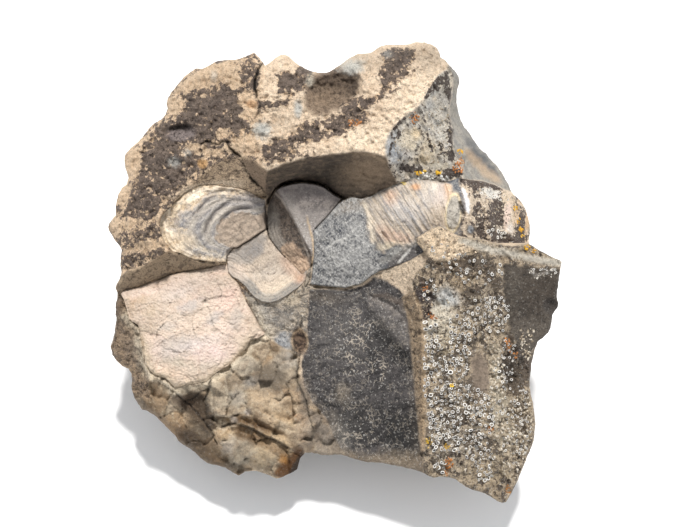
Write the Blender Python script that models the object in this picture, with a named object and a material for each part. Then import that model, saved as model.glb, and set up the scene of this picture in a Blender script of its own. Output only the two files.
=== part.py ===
"""Ammonite fossil in a loose block of mudstone, as a faceted solid model.

The block lies on its back on a flat fracture face, with the broken face that
shows the ammonite turned up and a little forward (towards -Y).  Millimetres
are used while designing; meshes are written in metres.  +Z is up and the
origin is on the seat, under the middle of the block.

Pieces: the mudstone block, and the five pieces that the ammonite has broken
into, each lying in its own pocket of the block.
"""
import math
import bpy
import bmesh
import numpy as np
from mathutils import Vector
from mathutils.geometry import delaunay_2d_cdt

# ---------------------------------------------------------------- dimensions
# The face of the block is laid out on a flat design grid: x to the right,
# y down, one unit = UNIT mm.  Depths (w) are in mm, out of the face.
UNIT = 0.28          # mm per design-grid unit
GX, GY = 350.0, 263.5  # grid point on the block's long axis
TAPER = 600.0        # mm; the block narrows towards its face by w / TAPER
LEAN = math.radians(68.0)   # angle between the face and the vertical
SEAT = -50.0         # depth of the seat (flat underside) at the axis, mm
OFF_X, OFF_Y = -4.694, 3.621   # puts the origin under the middle, mm


def to_world(x, y, w):
    """Design grid + depth -> block coordinates in mm (+Z up, seat at z=0)."""
    k = (TAPER - w) / TAPER
    u = (x - GX) * UNIT * k
    v = (GY - y) * UNIT * k
    s, c = math.sin(LEAN), math.cos(LEAN)
    return (u - OFF_X, v * s - w * c - OFF_Y, v * c + (w - SEAT) * s)


def seat_depth(x, y):
    """Depth of the seat plane straight behind a point of the face."""
    # v*c + (w-SEAT)*s = 0 with v = v0*(TAPER-w)/TAPER
    v0 = (GY - y) * UNIT
    s, c = math.sin(LEAN), math.cos(LEAN)
    return (SEAT * s - v0 * c) / (s - v0 * c / TAPER)


# ---------------------------------------------------------------- outlines
OUTLINE = [
    (254,52),(260,58),(265,65),(270,62),(276,57),(281,54),(285,54),(289,56),(293,60),(298,64),(305,68),
    (312,71),(318,72),(325,72.5),(330,71),(336,67),(341,64),(346,60),(352,56),(358,53),(365,53),(371,52),
    (377,48),(382,45),(390,44),(400,44),(408,44),(415,42),(425,42),(432,44),(437,47),(440,53),(441,57),
    (446,60),(450,65),(455,70),(459,76),(460,82),(458,88),(457,95),(457,102),(459,112),(461,120),(465,127),
    (470,133),(475,141),(480,148),(486,153),(491,159),(496,164),(500,169),(505,177),(509,184),(511,190),
    (515,195),(519,199),(523,204),(526,210),(528,217),(530,225),(530,233),(529,240),(530,244),(535,247),
    (540,250),(547,254),(555,258),(560,260),(562,262),(561,267),(560,275),(559,283),(558,290),(557,297),
    (559,303),(559,306),(556,310),(553,315),(552,322),(551,328),(549,333),(543,338),(538,342),(536,348),
    (534,356),(532,364),(531,372),(530,380),(530,386),(531,394),(533,402),(534,408),(535,415),(536,425),
    (535,432),(534,441),(531,450),(527,458),(525,464),(522,471),(519,477),(517,483),(513,491),(509,498),
    (506,502),(502,503),(497,501),(491,497),(485,494),(478,491.5),(472,490),(466,487),(460,483),(455,479),
    (447,477.5),(440,477),(434,478),(430,477),(425,474),(420,472),(414,470),(408,469),(402,467),(395,466),
    (388,464.5),(382,463),(375,463),(368,462.5),(360,461),(353,459),(347,457),(341,455),(335,455),(328,456),
    (320,455),(312,453),(305,453),(300,459),(297,470),(290,474),(283,477),(276,479),(270,476),(262,473),
    (255,471),(245,472),(238,476),(230,471),(225,468),(219,466),(212,465),(206,463),(200,458),(195,453),
    (190,449),(183,445),(178,441),(175,436),(171,432),(166,427),(160,421),(155,416),(147,411),(142,410),
    (138,404),(134,398),(132,392),(131,386),(132,380),(131,374),(128,369),(122,366),(116,361),(112,355),
    (110,347),(112,341),(114,335),(115,325),(116,320),(115,312),(115,305),(117,298),(117,293),(115,288),
    (116,284),(119,279),(121,272),(120,266),(120,258),(121,250),(119,246),(115,241),(112,236),(109,231),
    (108,227),(109,223),(112,219),(115,215),(115,209),(116,201),(118,194),(121,188),(126,184),(128,178),
    (127,174),(125,168),(124,162),(124,156),(127,151),(132,146),(137,142),(142,137),(146,131),(150,126),
    (155,122),(161,119),(165,114),(167,108),(166,103),(167,99),(170,93),(175,87),(180,81),(184,76),
    (190,72),(195,68),(202,68),(207,66),(212,63),(217,60.5),(225,59.5),(235,59),(243,57),(247,55)]

# what is left of the ammonite, piece by piece
RIBBED = [(265,200),(258,197),(252,193),(245,190),(235,187.5),(225,187),(215,185),(205,185),(198,186),
          (190,190),(183,195),(177,201),(170,208),(162,215),(160,223),(161,232),(164,241),(168,247),
          (172,251),(180,253),(188,257),(196,260),(205,261),(212,262),(226,262),(227,256),(227,251),
          (231,248),(237,248),(243,244),(250,240),(257,235),(263,231),(267,229),(267,218),(266,210)]
SPOON = [(227,263),(227,256),(227,251),(231,248),(237,248),(243,244),(250,240),(257,235),(263,231),
         (267,229),(269,238),(275,246),(280,252),(285,257),(291,263),(296,268),(302,274),(307,270),
         (305,280),(303,283),(298,288),(292,292),(285,297),(278,301),(270,303),(262,302),(255,298),
         (250,293),(245,286),(238,280),(232,277),(228,272)]
LOBE = [(267,229),(267,217),(268,207),(272,197),(276,190),(280,187),(287,185),(295,183),(305,182.5),
        (315,184),(323,186),(328,189),(333,194),(342,199),(337,205),(332,211),(326,218),(320,224),
        (313,231),(314,240),(314,247),(314,256),(312,266),(307,270),(302,274),(296,268),(291,263),
        (285,257),(280,252),(275,246),(269,238)]
WHORL = [(313,231),(320,224),(326,218),(332,211),(337,205),(343,200),(352,197),(361,199),(372,196),
         (380,191),(390,187),(397,184),(405,181),(415,180),(430,180),(445,183),(458,178),(470,180),
         (482,181),(495,185),(505,190),(512,193),(519,199),(523,204),(526,210),(528,217),(530,225),(530,233),
         (529,240),(524,243),(510,243),(495,243),(480,239),(463,237),(455,234),(446,229),(440,226),
         (432,228),(424,233),(416,238),(417,243),(424,252),(420,254),(410,260),(400,264),(390,268),
         (380,271),(373,275),(367,280),(362,284),(355,286),(345,288),(333,287),(320,286),(310,284),
         (312,275),(313,263),(314,256),(314,247),(314,240)]
# the ground of the outer whorl, carried past the outline at its far end
WHORL_GROUND = WHORL[:20] + [(505,190),(511.5,192.4),(517,190),(526,194),(534,205),(538,215),(539,224),(539,232),
                             (534,238),(529,240.5)] + WHORL[29:]
PLATE = [(124,290),(141,286),(150,282),(158,280),(165,277),(172,274),(182,272),(200,269),(210,267),
         (220,265),(227,264),(228,272),(232,277),(238,283),(242,293),(246,301),(250,308),(255,316),
         (260,326),(265,334),(258,338),(251,339),(246,348),(240,355),(234,361),(228,366),(220,370),
         (212,376),(207,381),(198,383),(190,384),(175,388),(165,378),(155,375),(150,371),(145,364),
         (143,352),(141,340),(140,330),(138,325),(133,322),(129,318),(127,310),(124,300),(121,294)]

# ---------------------------------------------------------------- form of the face
# Each patch: (name, soft edge in grid units, outline, depth points (x, y, w)).
# Later patches lie over earlier ones; a patch's depth is a smooth sheet
# through its own points, so patches meet in creases or steps.
PATCHES = [
 ("rind", 0, None, [
    (254,52,1),(300,60,1),(345,58,2),(400,46,2),(437,50,1),(200,70,1),(170,100,1),(150,130,0),(128,165,-1),
    (118,205,-1),(110,228,-3),(118,262,-2),(250,80,6),(300,90,8),(350,90,10),(400,70,9),(430,75,7),
    (200,110,7),(240,120,10),(290,130,13),(340,125,14),(380,110,13),(410,90,11),(160,160,5),(200,160,8),
    (240,150,12),(265,160,13.5),(300,150,16),(345,145,17),(385,150,16),(140,200,4),(160,200,6),
    (130,235,2.5),(145,250,3.5),(185,180,7.5),(215,160,10),(122,250,0)]),
 ("bed", 2.0, [(112,287),(150,275),(180,262),(166,246),(163,225),(175,204),(200,191),(235,191),(262,201),
    (270,199),(280,187),(310,185),(340,199),(372,198),(397,187),(440,187),(460,183),(500,195),(580,230),
    (580,520),(100,520)], [
    (124,290,-4),(200,225,3),(262,215,-2),(290,215,0),(350,215,4.5),(400,200,6),(440,200,8),(520,215,-5),
    (200,270,-3),(250,265,-3),(300,275,-2.6),(345,288,0.7),(380,275,3.5),(410,262,6.5),(424,300,8),
    (480,250,9),(560,265,4),(250,310,-2.5),(300,340,-1.8),(235,362,0),(190,386,1.5),(150,370,-1),
    (120,340,-6),(302,385,-2),(330,425,-2.6),(424,400,4.5),(500,400,6),(345,455,-3.5),(240,430,1),
    (170,430,-7),(424,470,3),(500,500,1),(540,330,5),(530,400,2.5),(230,470,-5.5)]),
 ("farbulge", 2.0, [(448,60),(470,60),(520,120),(540,200),(500,192),(478,184),(462,180),(455,160),(450,140),
    (449,120),(448,100),(446,80)], [
    (455,75,2),(459,95,-3),(450,100,2),(461,120,-7),(450,130,3),(475,141,-10),(458,158,3),(491,159,-13),
    (505,177,-13),(511,190,-12),(465,165,1),(480,180,-1),(470,150,-2),(495,188,-5),(463,140,-2)]),
 ("rightface", 1.5, [(386,157),(385,145),(388,135),(394,128),(400,120),(408,114),(418,107),(424,100),
    (428,90),(433,82),(440,74),(448,68),(453,75),(452,88),(450,100),(448,110),(450,120),(453,130),
    (452,140),(453,150),(458,158),(463,163),(463,178),(445,184),(430,182),(418,181),(405,182),(396,186),
    (391,175),(388,163)], [
    (386,157,15.3),(389,135,14.3),(400,120,12.8),(418,107,11),(428,90,9),(440,75,7),(450,72,4),
    (451,100,4.5),(450,130,5),(458,158,5),(462,176,4.5),(445,183,5),(420,180,5.5),(397,184,6.5),
    (410,150,10),(430,130,8),(430,165,7.5),(437,105,7.5),(400,168,9.5)]),
 ("slope", 1.5, [(172,204),(180,194),(188,187),(195,182),(205,173),(215,165),(225,160),(240,156),(252,160),
    (262,168),(268,172),(268,198),(262,200),(252,196),(235,190),(215,189),(198,190),(183,199)], [
    (172,204,4.6),(185,190,6.3),(195,182,7.2),(215,165,9.5),(240,156,11.5),(262,168,12),(268,173,11.5),
    (268,196,-0.5),(252,193,1.5),(235,188,3),(215,185,4.1),(198,187,4.7),(240,172,7.5),(258,182,5),
    (222,176,6.6)]),
 ("overhang", 1.2, [(267,171),(275,168),(285,163.5),(295,161),(305,158),(315,157),(325,155),(335,154),(345,153),
    (355,152),(365,152),(375,154),(386,157.5),(388,163),(391,171),(394,177),(398,184),(390,188),(380,192),
    (372,198),(360,201),(352,200),(343,201),(333,198),(324,191),(315,188),(305,186),(295,187),(285,189),
    (278,193),(270,198),(266,194),(266,180)], [
    (268,171,12.5),(285,163,15),(300,159,16),(325,155,16.8),(345,153,17),(365,152,16.8),(386,157,15.3),
    (270,196,1),(285,186,1.5),(300,183,1.5),(320,186,1),(335,195,1.5),(350,199,3),(372,196,5),(398,184,6.5),
    (300,170,7.5),(330,170,8),(350,175,8.5),(375,170,10.5),(270,182,6)]),
 ("gap", 1.0, [(266,200),(270,194),(275,188),(282,183),(290,180.5),(300,179.5),(310,180.8),(320,183),(328,187),
    (336,193),(345,198),(352,199),(352,203),(343,204),(333,200),(325,195),(315,191),(300,189),(285,191),
    (278,196),(273,203),(270,212)], [
    (268,200,-4),(290,183,-5),(310,184,-5),(330,192,-4.5),(350,200,-1),(275,190,-4.5)]),
 ("leftside", 2.0, [(105,283),(124,290),(125,300),(128,311),(133,322),(140,331),(142,345),(145,364),(150,373),
    (158,380),(160,395),(150,420),(120,420),(100,380),(100,300)], [
    (116,290,-3.8),(124,296,-3.2),(118,330,-5),(112,350,-7),(130,322,-2.8),(140,340,-2),(135,365,-4.5),
    (125,366,-7),(145,368,-2.2),(152,388,-4),(131,388,-7.5),(140,405,-8)]),
 ("lumps", 2.0, [(145,366),(155,376),(165,380),(175,389),(190,385),(207,382),(220,371),(234,362),(246,349),
    (252,340),(265,335),(285,348),(297,355),(301,385),(312,402),(330,421),(335,440),(352,458),(350,470),
    (300,490),(240,490),(180,460),(130,420),(130,390),(150,400),(148,380)], [
    (234,362,0.2),(252,343,-1.2),(290,360,-1.4),(301,385,-1.8),(212,378,1.2),(230,395,2.2),(255,385,2.2),
    (280,398,1.8),(320,420,-2.4),(335,440,-2.8),(345,455,-3.5),(300,448,-3.5),(240,415,2.2),(222,425,1.6),
    (270,425,0.8),(292,430,-0.5),(175,390,0.8),(190,402,-0.8),(160,398,-3.5),(143,405,-7),(165,425,-8),
    (200,430,-3.5),(215,455,-5),(190,447,-8),(240,445,0),(262,455,-1.5),(235,470,-5.5),(262,470,-5),
    (285,465,-4.5),(298,452,-5),(298,466,-7)]),
 ("midzone", 2.0, [(255,298),(262,302),(270,303),(278,301),(285,297),(292,292),(298,288),(303,283),(307,270),
    (314,256),(314,290),(309,300),(309,330),(306,352),(299,356),(285,349),(265,336),(258,326),(250,308),
    (244,292),(248,291)], [
    (312,258,-1),(308,275,-1),(304,286,-1.4),(290,299,-2),(270,307,-2.8),(256,306,-3),(248,294,-2.6),
    (262,330,-2.2),(275,345,-1.6),(300,320,-1.2),(305,342,-1.7),(285,325,-2)]),
 ("darkface", 1.5, [(309,289),(320,288),(345,290),(355,288),(365,284),(377,275),(390,281),(399,289),(407,300),
    (411,315),(412,345),(416,385),(420,425),(423,450),(424,480),(380,480),(352,470),(345,455),(335,440),
    (325,418),(312,402),(304,385),(301,362),(306,345),(307,320)], [
    (308,289,-0.4),(345,290,0.6),(365,284,1.4),(377,275,2.8),(390,281,4.2),(400,289,4.8),(408,302,5.0),
    (412,345,4),(416,385,3.5),(421,445,2.6),(360,340,-0.2),(330,340,-1),(307,345,-1.8),(302,385,-2.2),
    (326,420,-2.6),(345,455,-3.4),(385,440,0.2),(385,350,1.6),(345,400,-1.6),(424,470,2.2),(375,463,-1.5)]),
 ("rightblock", 1.5, [(415,238),(424,233),(432,228),(440,226),(446,229),(452,233),(460,237),(475,238),(485,240),
    (495,243),(505,245),(515,246),(528,243),(545,248),(575,258),(575,320),(560,400),(545,480),(510,515),(460,500),
    (424,482),(423,450),(424,430),(424,390),(423,345),(421,325),(418,310),(412,298),(410,288),(415,273),
    (424,265),(426,256),(418,247)], [
    (415,239,9),(426,233,10.6),(440,228,11.2),(452,234,11),(475,241,10.5),(505,249,9),(535,256,6.5),
    (560,262,4),(430,250,12),(460,258,12),(500,262,10),(530,272,7.5),(556,285,4),(418,268,9.6),
    (412,290,8),(424,340,7),(424,400,5.8),(424,455,4.2),(460,330,9.6),(500,330,8.6),(545,325,4),
    (460,400,7.4),(500,400,6.2),(530,380,2.5),(460,475,3.2),(502,500,1),(533,430,1.5),(500,460,4),
    (440,300,9.6)]),
 ("tanslope", 1.5, [(373,276),(381,272),(392,268),(402,264),(412,259),(421,254),(425,252),(427,258),(424,265),
    (415,273),(412,283),(411,291),(405,290),(398,288),(390,282),(380,278)], [
    (373,277,3),(390,269,4.6),(405,263,5.6),(421,254,6.6),(427,258,9.2),(424,265,9.6),(415,273,8.8),
    (411,291,7.4),(405,290,5.6),(398,288,5),(390,282,4.4)]),
 ("band", 1.5, [(402,298),(410,290),(414,298),(419,310),(422,325),(424,345),(425,390),(425,430),(424,452),
    (421,452),(418,425),(415,385),(411,345),(408,318)], [
    (402,298,4.8),(412,292,7.6),(420,312,8),(424,345,7),(425,390,6),(424,452,4.2),(418,425,3.2),
    (415,385,3.8),(411,345,4.4),(407,318,5)]),
 ("wedge", 1.0, [(117,278),(121,275),(127,271),(140,267),(150,262),(160,256),(168,252),(175,250),(182,253),
    (190,257),(200,261),(212,262),(226,262),(227,265),(220,266),(210,268),(200,270),(182,273),(172,275),
    (165,278),(158,281),(150,283),(141,287),(133,289),(124,292),(114,290)], [
    (119,277,1.2),(135,269,2.4),(150,262,3),(168,252,3),(182,253,2.2),(200,261,1.2),(226,262,0.2),
    (114,290,-3.8),(124,291,-3.8),(141,286,-4),(165,277,-4),(182,272,-3.6),(210,267,-2.6),(226,265,-1.8)]),
 ("ribbed", 0.8, RIBBED, [
    (161,223,2.8),(161,232,2.3),(170,208,4.4),(183,195,5.4),(198,186,5.4),(215,185,4.8),(235,187.5,3.6),
    (252,193,1.8),(265,200,-0.5),(267,218,-1.8),(267,229,-2.4),(250,240,-0.8),(237,248,-0.2),(227,256,0.3),
    (226,262,0.3),(212,262,1),(196,260,1.6),(180,253,2.4),(168,247,2.4),(190,220,5),(215,215,4),
    (240,215,1),(215,240,2.4),(178,225,4.6),(205,200,5),(235,200,2.8)]),
 ("spoon", 0.8, SPOON, [
    (227,262,-1.6),(232,277,-1.8),(245,286,-1.7),(255,298,-1.7),(270,303,-1.3),(285,297,-1.3),(298,288,-1.6),
    (305,280,-2),(307,270,-2.6),(296,268,-4.4),(285,257,-4.4),(270,240,-4),(250,240,-1.9),(262,272,-4.6),
    (250,260,-3.4),(275,285,-3.8),(240,256,-2.2),(292,280,-3.6)]),
 ("lobe", 0.8, LOBE, [
    (279,190,2.6),(295,183,4.6),(315,184,5.2),(333,194,4),(342,199,3.2),(305,205,4.6),(323,210,3.2),
    (320,224,1.4),(313,231,0.8),(283,200,2.2),(293,217,2),(304,238,0.4),(312,256,-1.2),(309,245,0.2)]),
 ("crescent", 0.9, [(277,190),(281,199),(285,206),(290,213),(294,221),(298,228),(302,237),(306,244),(310,251),
    (313,258),(312,266),(307,271),(302,275),(296,268.5),(291,263.5),(285,257.5),(280,252.5),(275,246.5),
    (269,238.5),(266.5,229),(266.5,217),(267.5,207),(271.5,197),(275,191)], [
    (277,191,2),(281,200,1.2),(290,214,0.8),(302,237,-0.6),(310,251,-1.2),(313,262,-1.8),(302,274,-3.2),
    (271,199,-3),(268,217,-4),(268,232,-4.2),(275,246,-4.2),(285,257,-4.4),(296,268,-4.2),(280,225,-2.8),
    (292,247,-2.6),(277,210,-2.2)]),
 ("whorl", 0.8, WHORL_GROUND, [
    (313,231,0.6),(320,224,2),(333,211,3.6),(343,200,4.4),(352,197,4.6),(363,202,5.2),(370,225,7),
    (345,235,5),(330,250,3.2),(313,247,0.4),(312,275,-0.2),(310,284,-0.2),(333,286,0.9),(355,285,2.2),
    (373,275,4),(390,267,5.2),(410,256,6),(350,262,4.6),(375,194,4.6),(397,185,5.6),(415,180.5,6),
    (445,183,6),(462,180,5),(480,182,2.6),(495,187,-1),(512,194,-5),(526,212,-8),(529,238,-6),
    (395,243,6.6),(416,240,7.2),(440,227,8.6),(465,238,7.4),(500,243,3),(400,212,9),(430,207,9.8),
    (460,208,9),(490,212,4.5),(385,222,8),(512,220,-1.2),(420,250,6.4)]),
 ("plate", 0.8, PLATE, [
    (124,289,-4),(150,282,-4),(182,272,-3.6),(210,267,-2.8),(226,264,-2.2),(232,278,-2.2),(250,308,-2.2),
    (265,334,-1.6),(251,339,-0.8),(234,361,0.8),(212,376,1.8),(190,384,2.2),(175,388,1.6),(155,375,0.6),
    (143,352,-1),(138,325,-2),(127,310,-3),(190,320,0.4),(175,350,1.6),(220,330,0.6),(150,310,-1)]),
]

# round hollows: (x, y, rx, ry, turn in degrees, depth mm, lip power)
HOLLOWS = [
    (336,92,31,19,-14,4.6,2.2),     # bowl in the top
    (181,131,14.5,7.5,-8,2.6,2.6),  # small pot-hole
    (299.5,341,7,13.5,-6,1.6,2.0),  # eye-shaped socket
    (424.5,455.5,5,3.2,0,1.6,2.0),  # pock at the foot of the lichened face
    (551,306,8,9,20,2.2,2.0),       # bite in the right edge
    (205,301,1.2,1.2,0,0.6,2.0),    # pin-hole in the shell
]
# cracks and grooves: (half width, depth mm, power, points)
CRACKS = [
    (1.5,2.6,1.2,[(265,62),(261,72),(258,79),(258,88),(260,95),(262,102)]),
    (0.8,1.0,1.5,[(262,102),(265,112),(262,120),(255,128)]),
    (0.9,1.4,1.3,[(200,144),(209,141),(218,145),(222,141),(227,142),(230,148)]),
    (2.0,3.0,1.2,[(230,148),(235,153),(240,156)]),
    (1.2,2.2,1.2,[(240,156),(243,163),(246,170),(250,177),(256,183),(262,188),(266,194)]),
    (1.0,1.0,1.3,[(302,318),(301,327)]),
    (1.1,1.5,1.3,[(300,353),(299,361),(297,372),(298,384),(303,393),(307,404),(310,418),(313,428)]),
    (1.3,1.8,1.2,[(175,392),(183,400),(190,405),(198,414),(206,424),(213,434),(218,447)]),
    (1.2,1.6,1.2,[(183,402),(191,399),(199,394),(206,389),(211,380)]),
    (1.0,1.2,1.3,[(222,427),(229,424),(236,423)]),
    (1.0,1.0,1.3,[(211,381),(208,391),(205,400)]),
]
# small steps down, on the right-hand side of each run of points:
# (drop mm, reach in grid units, points)
STEPS = [
    (2.4,16,[(236,423),(245,425),(255,429),(265,435),(275,439),(284,444),(292,449)]),
    (1.3,9,[(478,252),(468,262),(455,268),(440,268),(432,262)]),
]


# ---------------------------------------------------------------- maths
def seg_distance(x, y, pts, closed=False):
    """Distance from points to a run of segments, plus side (+ = left in y-up
    sense of travel) and the arc position of the nearest point."""
    p = np.asarray(pts, dtype=float)
    q = np.roll(p, -1, axis=0) if closed else p[1:]
    p = p if closed else p[:-1]
    best = np.full(x.shape, 1e18)
    side = np.zeros(x.shape)
    arc = np.zeros(x.shape)
    run = 0.0
    for (ax, ay), (bx, by) in zip(p, q):
        dx, dy = bx - ax, by - ay
        ll = dx * dx + dy * dy + 1e-12
        t = np.clip(((x - ax) * dx + (y - ay) * dy) / ll, 0.0, 1.0)
        ex, ey = x - (ax + t * dx), y - (ay + t * dy)
        d = ex * ex + ey * ey
        near = d < best
        best = np.where(near, d, best)
        side = np.where(near, dx * ey - dy * ex, side)
        arc = np.where(near, run + t * math.sqrt(ll), arc)
        run += math.sqrt(ll)
    return np.sqrt(best), side, arc


def inside(x, y, pts):
    """True where a point lies inside a closed outline."""
    p = np.asarray(pts, dtype=float)
    q = np.roll(p, -1, axis=0)
    hit = np.zeros(x.shape, dtype=bool)
    for (ax, ay), (bx, by) in zip(p, q):
        if ay == by:
            continue
        cross = ((ay > y) != (by > y)) & (x < (bx - ax) * (y - ay) / (by - ay) + ax)
        hit ^= cross
    return hit


def inset(x, y, pts):
    """Signed distance to an outline, positive inside."""
    d, _, _ = seg_distance(x, y, pts, True)
    return np.where(inside(x, y, pts), d, -d)


def near_box(x, y, pts, pad):
    """Index of the points within an outline's box, widened by pad."""
    p = np.asarray(pts, dtype=float)
    lo, hi = p.min(axis=0) - pad, p.max(axis=0) + pad
    return np.nonzero((x > lo[0]) & (x < hi[0]) & (y > lo[1]) & (y < hi[1]))[0]


def smooth(t):
    t = np.clip(t, 0.0, 1.0)
    return t * t * (3.0 - 2.0 * t)


class Sheet:
    """Smooth sheet through depth points (thin-plate spline)."""

    def __init__(self, pts):
        p = np.asarray(pts, dtype=float)
        self.c = p[:, :2] / 50.0
        n = len(p)
        a = np.zeros((n + 3, n + 3))
        d = np.hypot(self.c[:, None, 0] - self.c[None, :, 0], self.c[:, None, 1] - self.c[None, :, 1])
        a[:n, :n] = self.kernel(d) + np.eye(n) * 0.004
        a[:n, n] = 1.0
        a[:n, n + 1:] = self.c
        a[n, :n] = 1.0
        a[n + 1:, :n] = self.c.T
        b = np.zeros(n + 3)
        b[:n] = p[:, 2]
        self.k = np.linalg.solve(a, b)

    @staticmethod
    def kernel(d):
        return d * d * np.log(d + 1e-9)

    def __call__(self, x, y):
        x, y = x / 50.0, y / 50.0
        out = self.k[-3] + self.k[-2] * x + self.k[-1] * y
        for i in range(len(self.c)):
            out = out + self.k[i] * self.kernel(np.hypot(x - self.c[i, 0], y - self.c[i, 1]))
        return out


SHEETS = {name: Sheet(pts) for name, _, _, pts in PATCHES}
SHELL_PATCHES = ("ribbed", "spoon", "lobe", "crescent", "whorl", "plate")


def face_depth(x, y, names=None, cracks=True):
    """Depth of the block's face at grid points; names limits the patches."""
    x = np.asarray(x, dtype=float)
    y = np.asarray(y, dtype=float)
    w = SHEETS["rind"](x, y)
    for name, soft, outline, _ in PATCHES[1:]:
        if names is not None and name not in names:
            continue
        i = near_box(x, y, outline, 4.0)
        if not len(i):
            continue
        d = inset(x[i], y[i], outline)
        f = smooth(0.5 + d / (2.0 * soft))
        w[i] = w[i] * (1.0 - f) + SHEETS[name](x[i], y[i]) * f
    if cracks:
        w = w + relief(x, y)
    return w - limb(x, y)


def relief(x, y):
    """Hollows, cracks and steps cut into the face, mm (negative = down)."""
    w = np.zeros(x.shape)
    for hx, hy, rx, ry, turn, depth, power in HOLLOWS:
        c, s = math.cos(math.radians(turn)), math.sin(math.radians(turn))
        ex = ((x - hx) * c + (y - hy) * s) / rx
        ey = (-(x - hx) * s + (y - hy) * c) / ry
        r = np.sqrt(ex * ex + ey * ey)
        w -= depth * np.clip(1.0 - np.clip(r, 0, 1) ** power, 0, 1)
    for half, depth, power, pts in CRACKS:
        i = near_box(x, y, pts, half * 2)
        if len(i):
            d, _, _ = seg_distance(x[i], y[i], pts)
            w[i] -= depth * np.clip(1.0 - d / half, 0, 1) ** (1.0 / power)
    for drop, reach, pts in STEPS:
        i = near_box(x, y, pts, reach + 1)
        if len(i):
            d, side, arc = seg_distance(x[i], y[i], pts)
            total = arc.max()
            ends = smooth(arc / 8.0) * smooth((total - arc) / 8.0)
            w[i] -= np.where(side > 0, drop * smooth(d / 1.2) * (1 - smooth(d / reach)) * ends, 0)
    return w


# how the face rolls off at the outline: (x, y, reach in grid units, drop mm)
LIMB = [(254,52,11,3.4),(345,58,11,3.6),(420,42,11,3.6),(458,88,6,2),(470,133,7,3),(505,177,7,3),(528,217,9,4),
        (562,262,3,0.8),(552,322,4,1.2),(532,372,8,2.6),(535,425,7,2.2),(506,502,3,0.8),(455,479,3,0.7),
        (400,467,2.5,0.5),(341,455,2.5,0.5),(297,470,3,1),(240,474,5,2),(190,449,6,2.4),(140,405,7,2.6),
        (112,350,7,3),(116,300,6,2.2),(109,227,8,2.6),(126,165,9,3),(166,105,11,3.2),(202,68,11,3.4)]


def limb(x, y):
    d = inset(x, y, OUTLINE)
    p = np.asarray(LIMB, dtype=float)
    wt = 1.0 / ((x[:, None] - p[:, 0]) ** 2 + (y[:, None] - p[:, 1]) ** 2 + 30.0) ** 1.5
    wt /= wt.sum(axis=1, keepdims=True)
    reach = wt @ p[:, 2]
    drop = wt @ p[:, 3]
    t = np.clip(1.0 - d / reach, 0.0, 1.0)
    return drop * (1.0 - np.sqrt(np.clip(1.0 - t * t, 0, 1)))


# ---------------------------------------------------------------- flanks
SEAT_CENTRE = (336.0, 268.0)
# share of the outline's radius that the seat keeps, by direction (degrees,
# 0 = right, 90 = up the face, counter-clockwise)
SEAT_SHARE = [(-180, 0.88), (-150, 0.86), (-120, 0.80), (-90, 0.80), (-60, 0.84), (-30, 0.86), (0, 0.84),
              (30, 0.90), (60, 0.80), (90, 0.72), (120, 0.76), (150, 0.84), (180, 0.88)]
# 1 = the flank runs straight to the seat, more = it stays upright longer
FLANK_POWER = [(-180, 1.8), (-150, 1.7), (-120, 1.6), (-90, 1.7), (-60, 1.5), (-30, 1.5), (0, 1.6), (30, 1.8),
               (60, 2.2), (90, 2.4), (120, 2.2), (150, 2.0), (180, 1.8)]
# broken facets of the flanks: direction in plan and lean back from upright
# (degrees), and how deep each cuts into the flank (mm)
FACETS = [(4, 2, 3.5), (34, 6, 4.5), (64, -8, 3.5), (90, 4, 4.0), (114, 8, 4.5), (134, -2, 4.5), (162, 6, 3.5),
          (186, -10, 4.0), (212, -22, 4.5), (240, -30, 3.5), (262, -44, 4.0), (286, -34, 4.0), (312, -24, 5.0),
          (338, -12, 4.5)]


def by_direction(ang, table):
    t = np.asarray(table, dtype=float)
    a = np.degrees(ang)
    i = np.clip(np.searchsorted(t[:, 0], a, side="right") - 1, 0, len(t) - 2)
    f = smooth((a - t[i, 0]) / (t[i + 1, 0] - t[i, 0]))
    return t[i, 1] * (1 - f) + t[i + 1, 1] * f


def flank_waves(pos):
    """Broad waves of the broken flanks, mm inwards."""
    x, y, z = pos[:, 0], pos[:, 1], pos[:, 2]
    a = np.sin(x * 0.083 + z * 0.06 + 0.7) * np.sin(y * 0.071 - z * 0.05 + 1.9)
    b = np.sin(x * 0.19 - y * 0.13 + z * 0.17 + 2.2) * np.sin(z * 0.21 + x * 0.05 + 0.4)
    return 1.6 + 1.3 * a + 0.9 * b


def body_radius(ang):
    """Radius of the block below its rim, by direction, in grid units: inside
    the outline everywhere, without its small bays and knobs."""
    src = np.asarray(OUTLINE, dtype=float) - np.array(SEAT_CENTRE)
    a1 = np.arctan2(-src[:, 1], src[:, 0])
    r1 = np.hypot(src[:, 0], src[:, 1])
    turn = np.radians(np.arange(-180.0, 180.0, 2.0))
    least = np.empty(len(turn))
    for i, a in enumerate(turn):
        off = np.abs((a1 - a + math.pi) % (2 * math.pi) - math.pi)
        least[i] = r1[off < 0.07].min()
    out = np.empty(len(ang))
    for i, a in enumerate(ang):
        off = (turn - a + math.pi) % (2 * math.pi) - math.pi
        wgt = np.exp(-(off / 0.07) ** 2)
        wide = np.exp(-(off / 0.22) ** 2)
        out[i] = min(np.sum(wgt * least) / np.sum(wgt), 0.3 * np.sum(wgt * least) / np.sum(wgt)
                     + 0.7 * np.sum(wide * least) / np.sum(wide))
    return out


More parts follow.
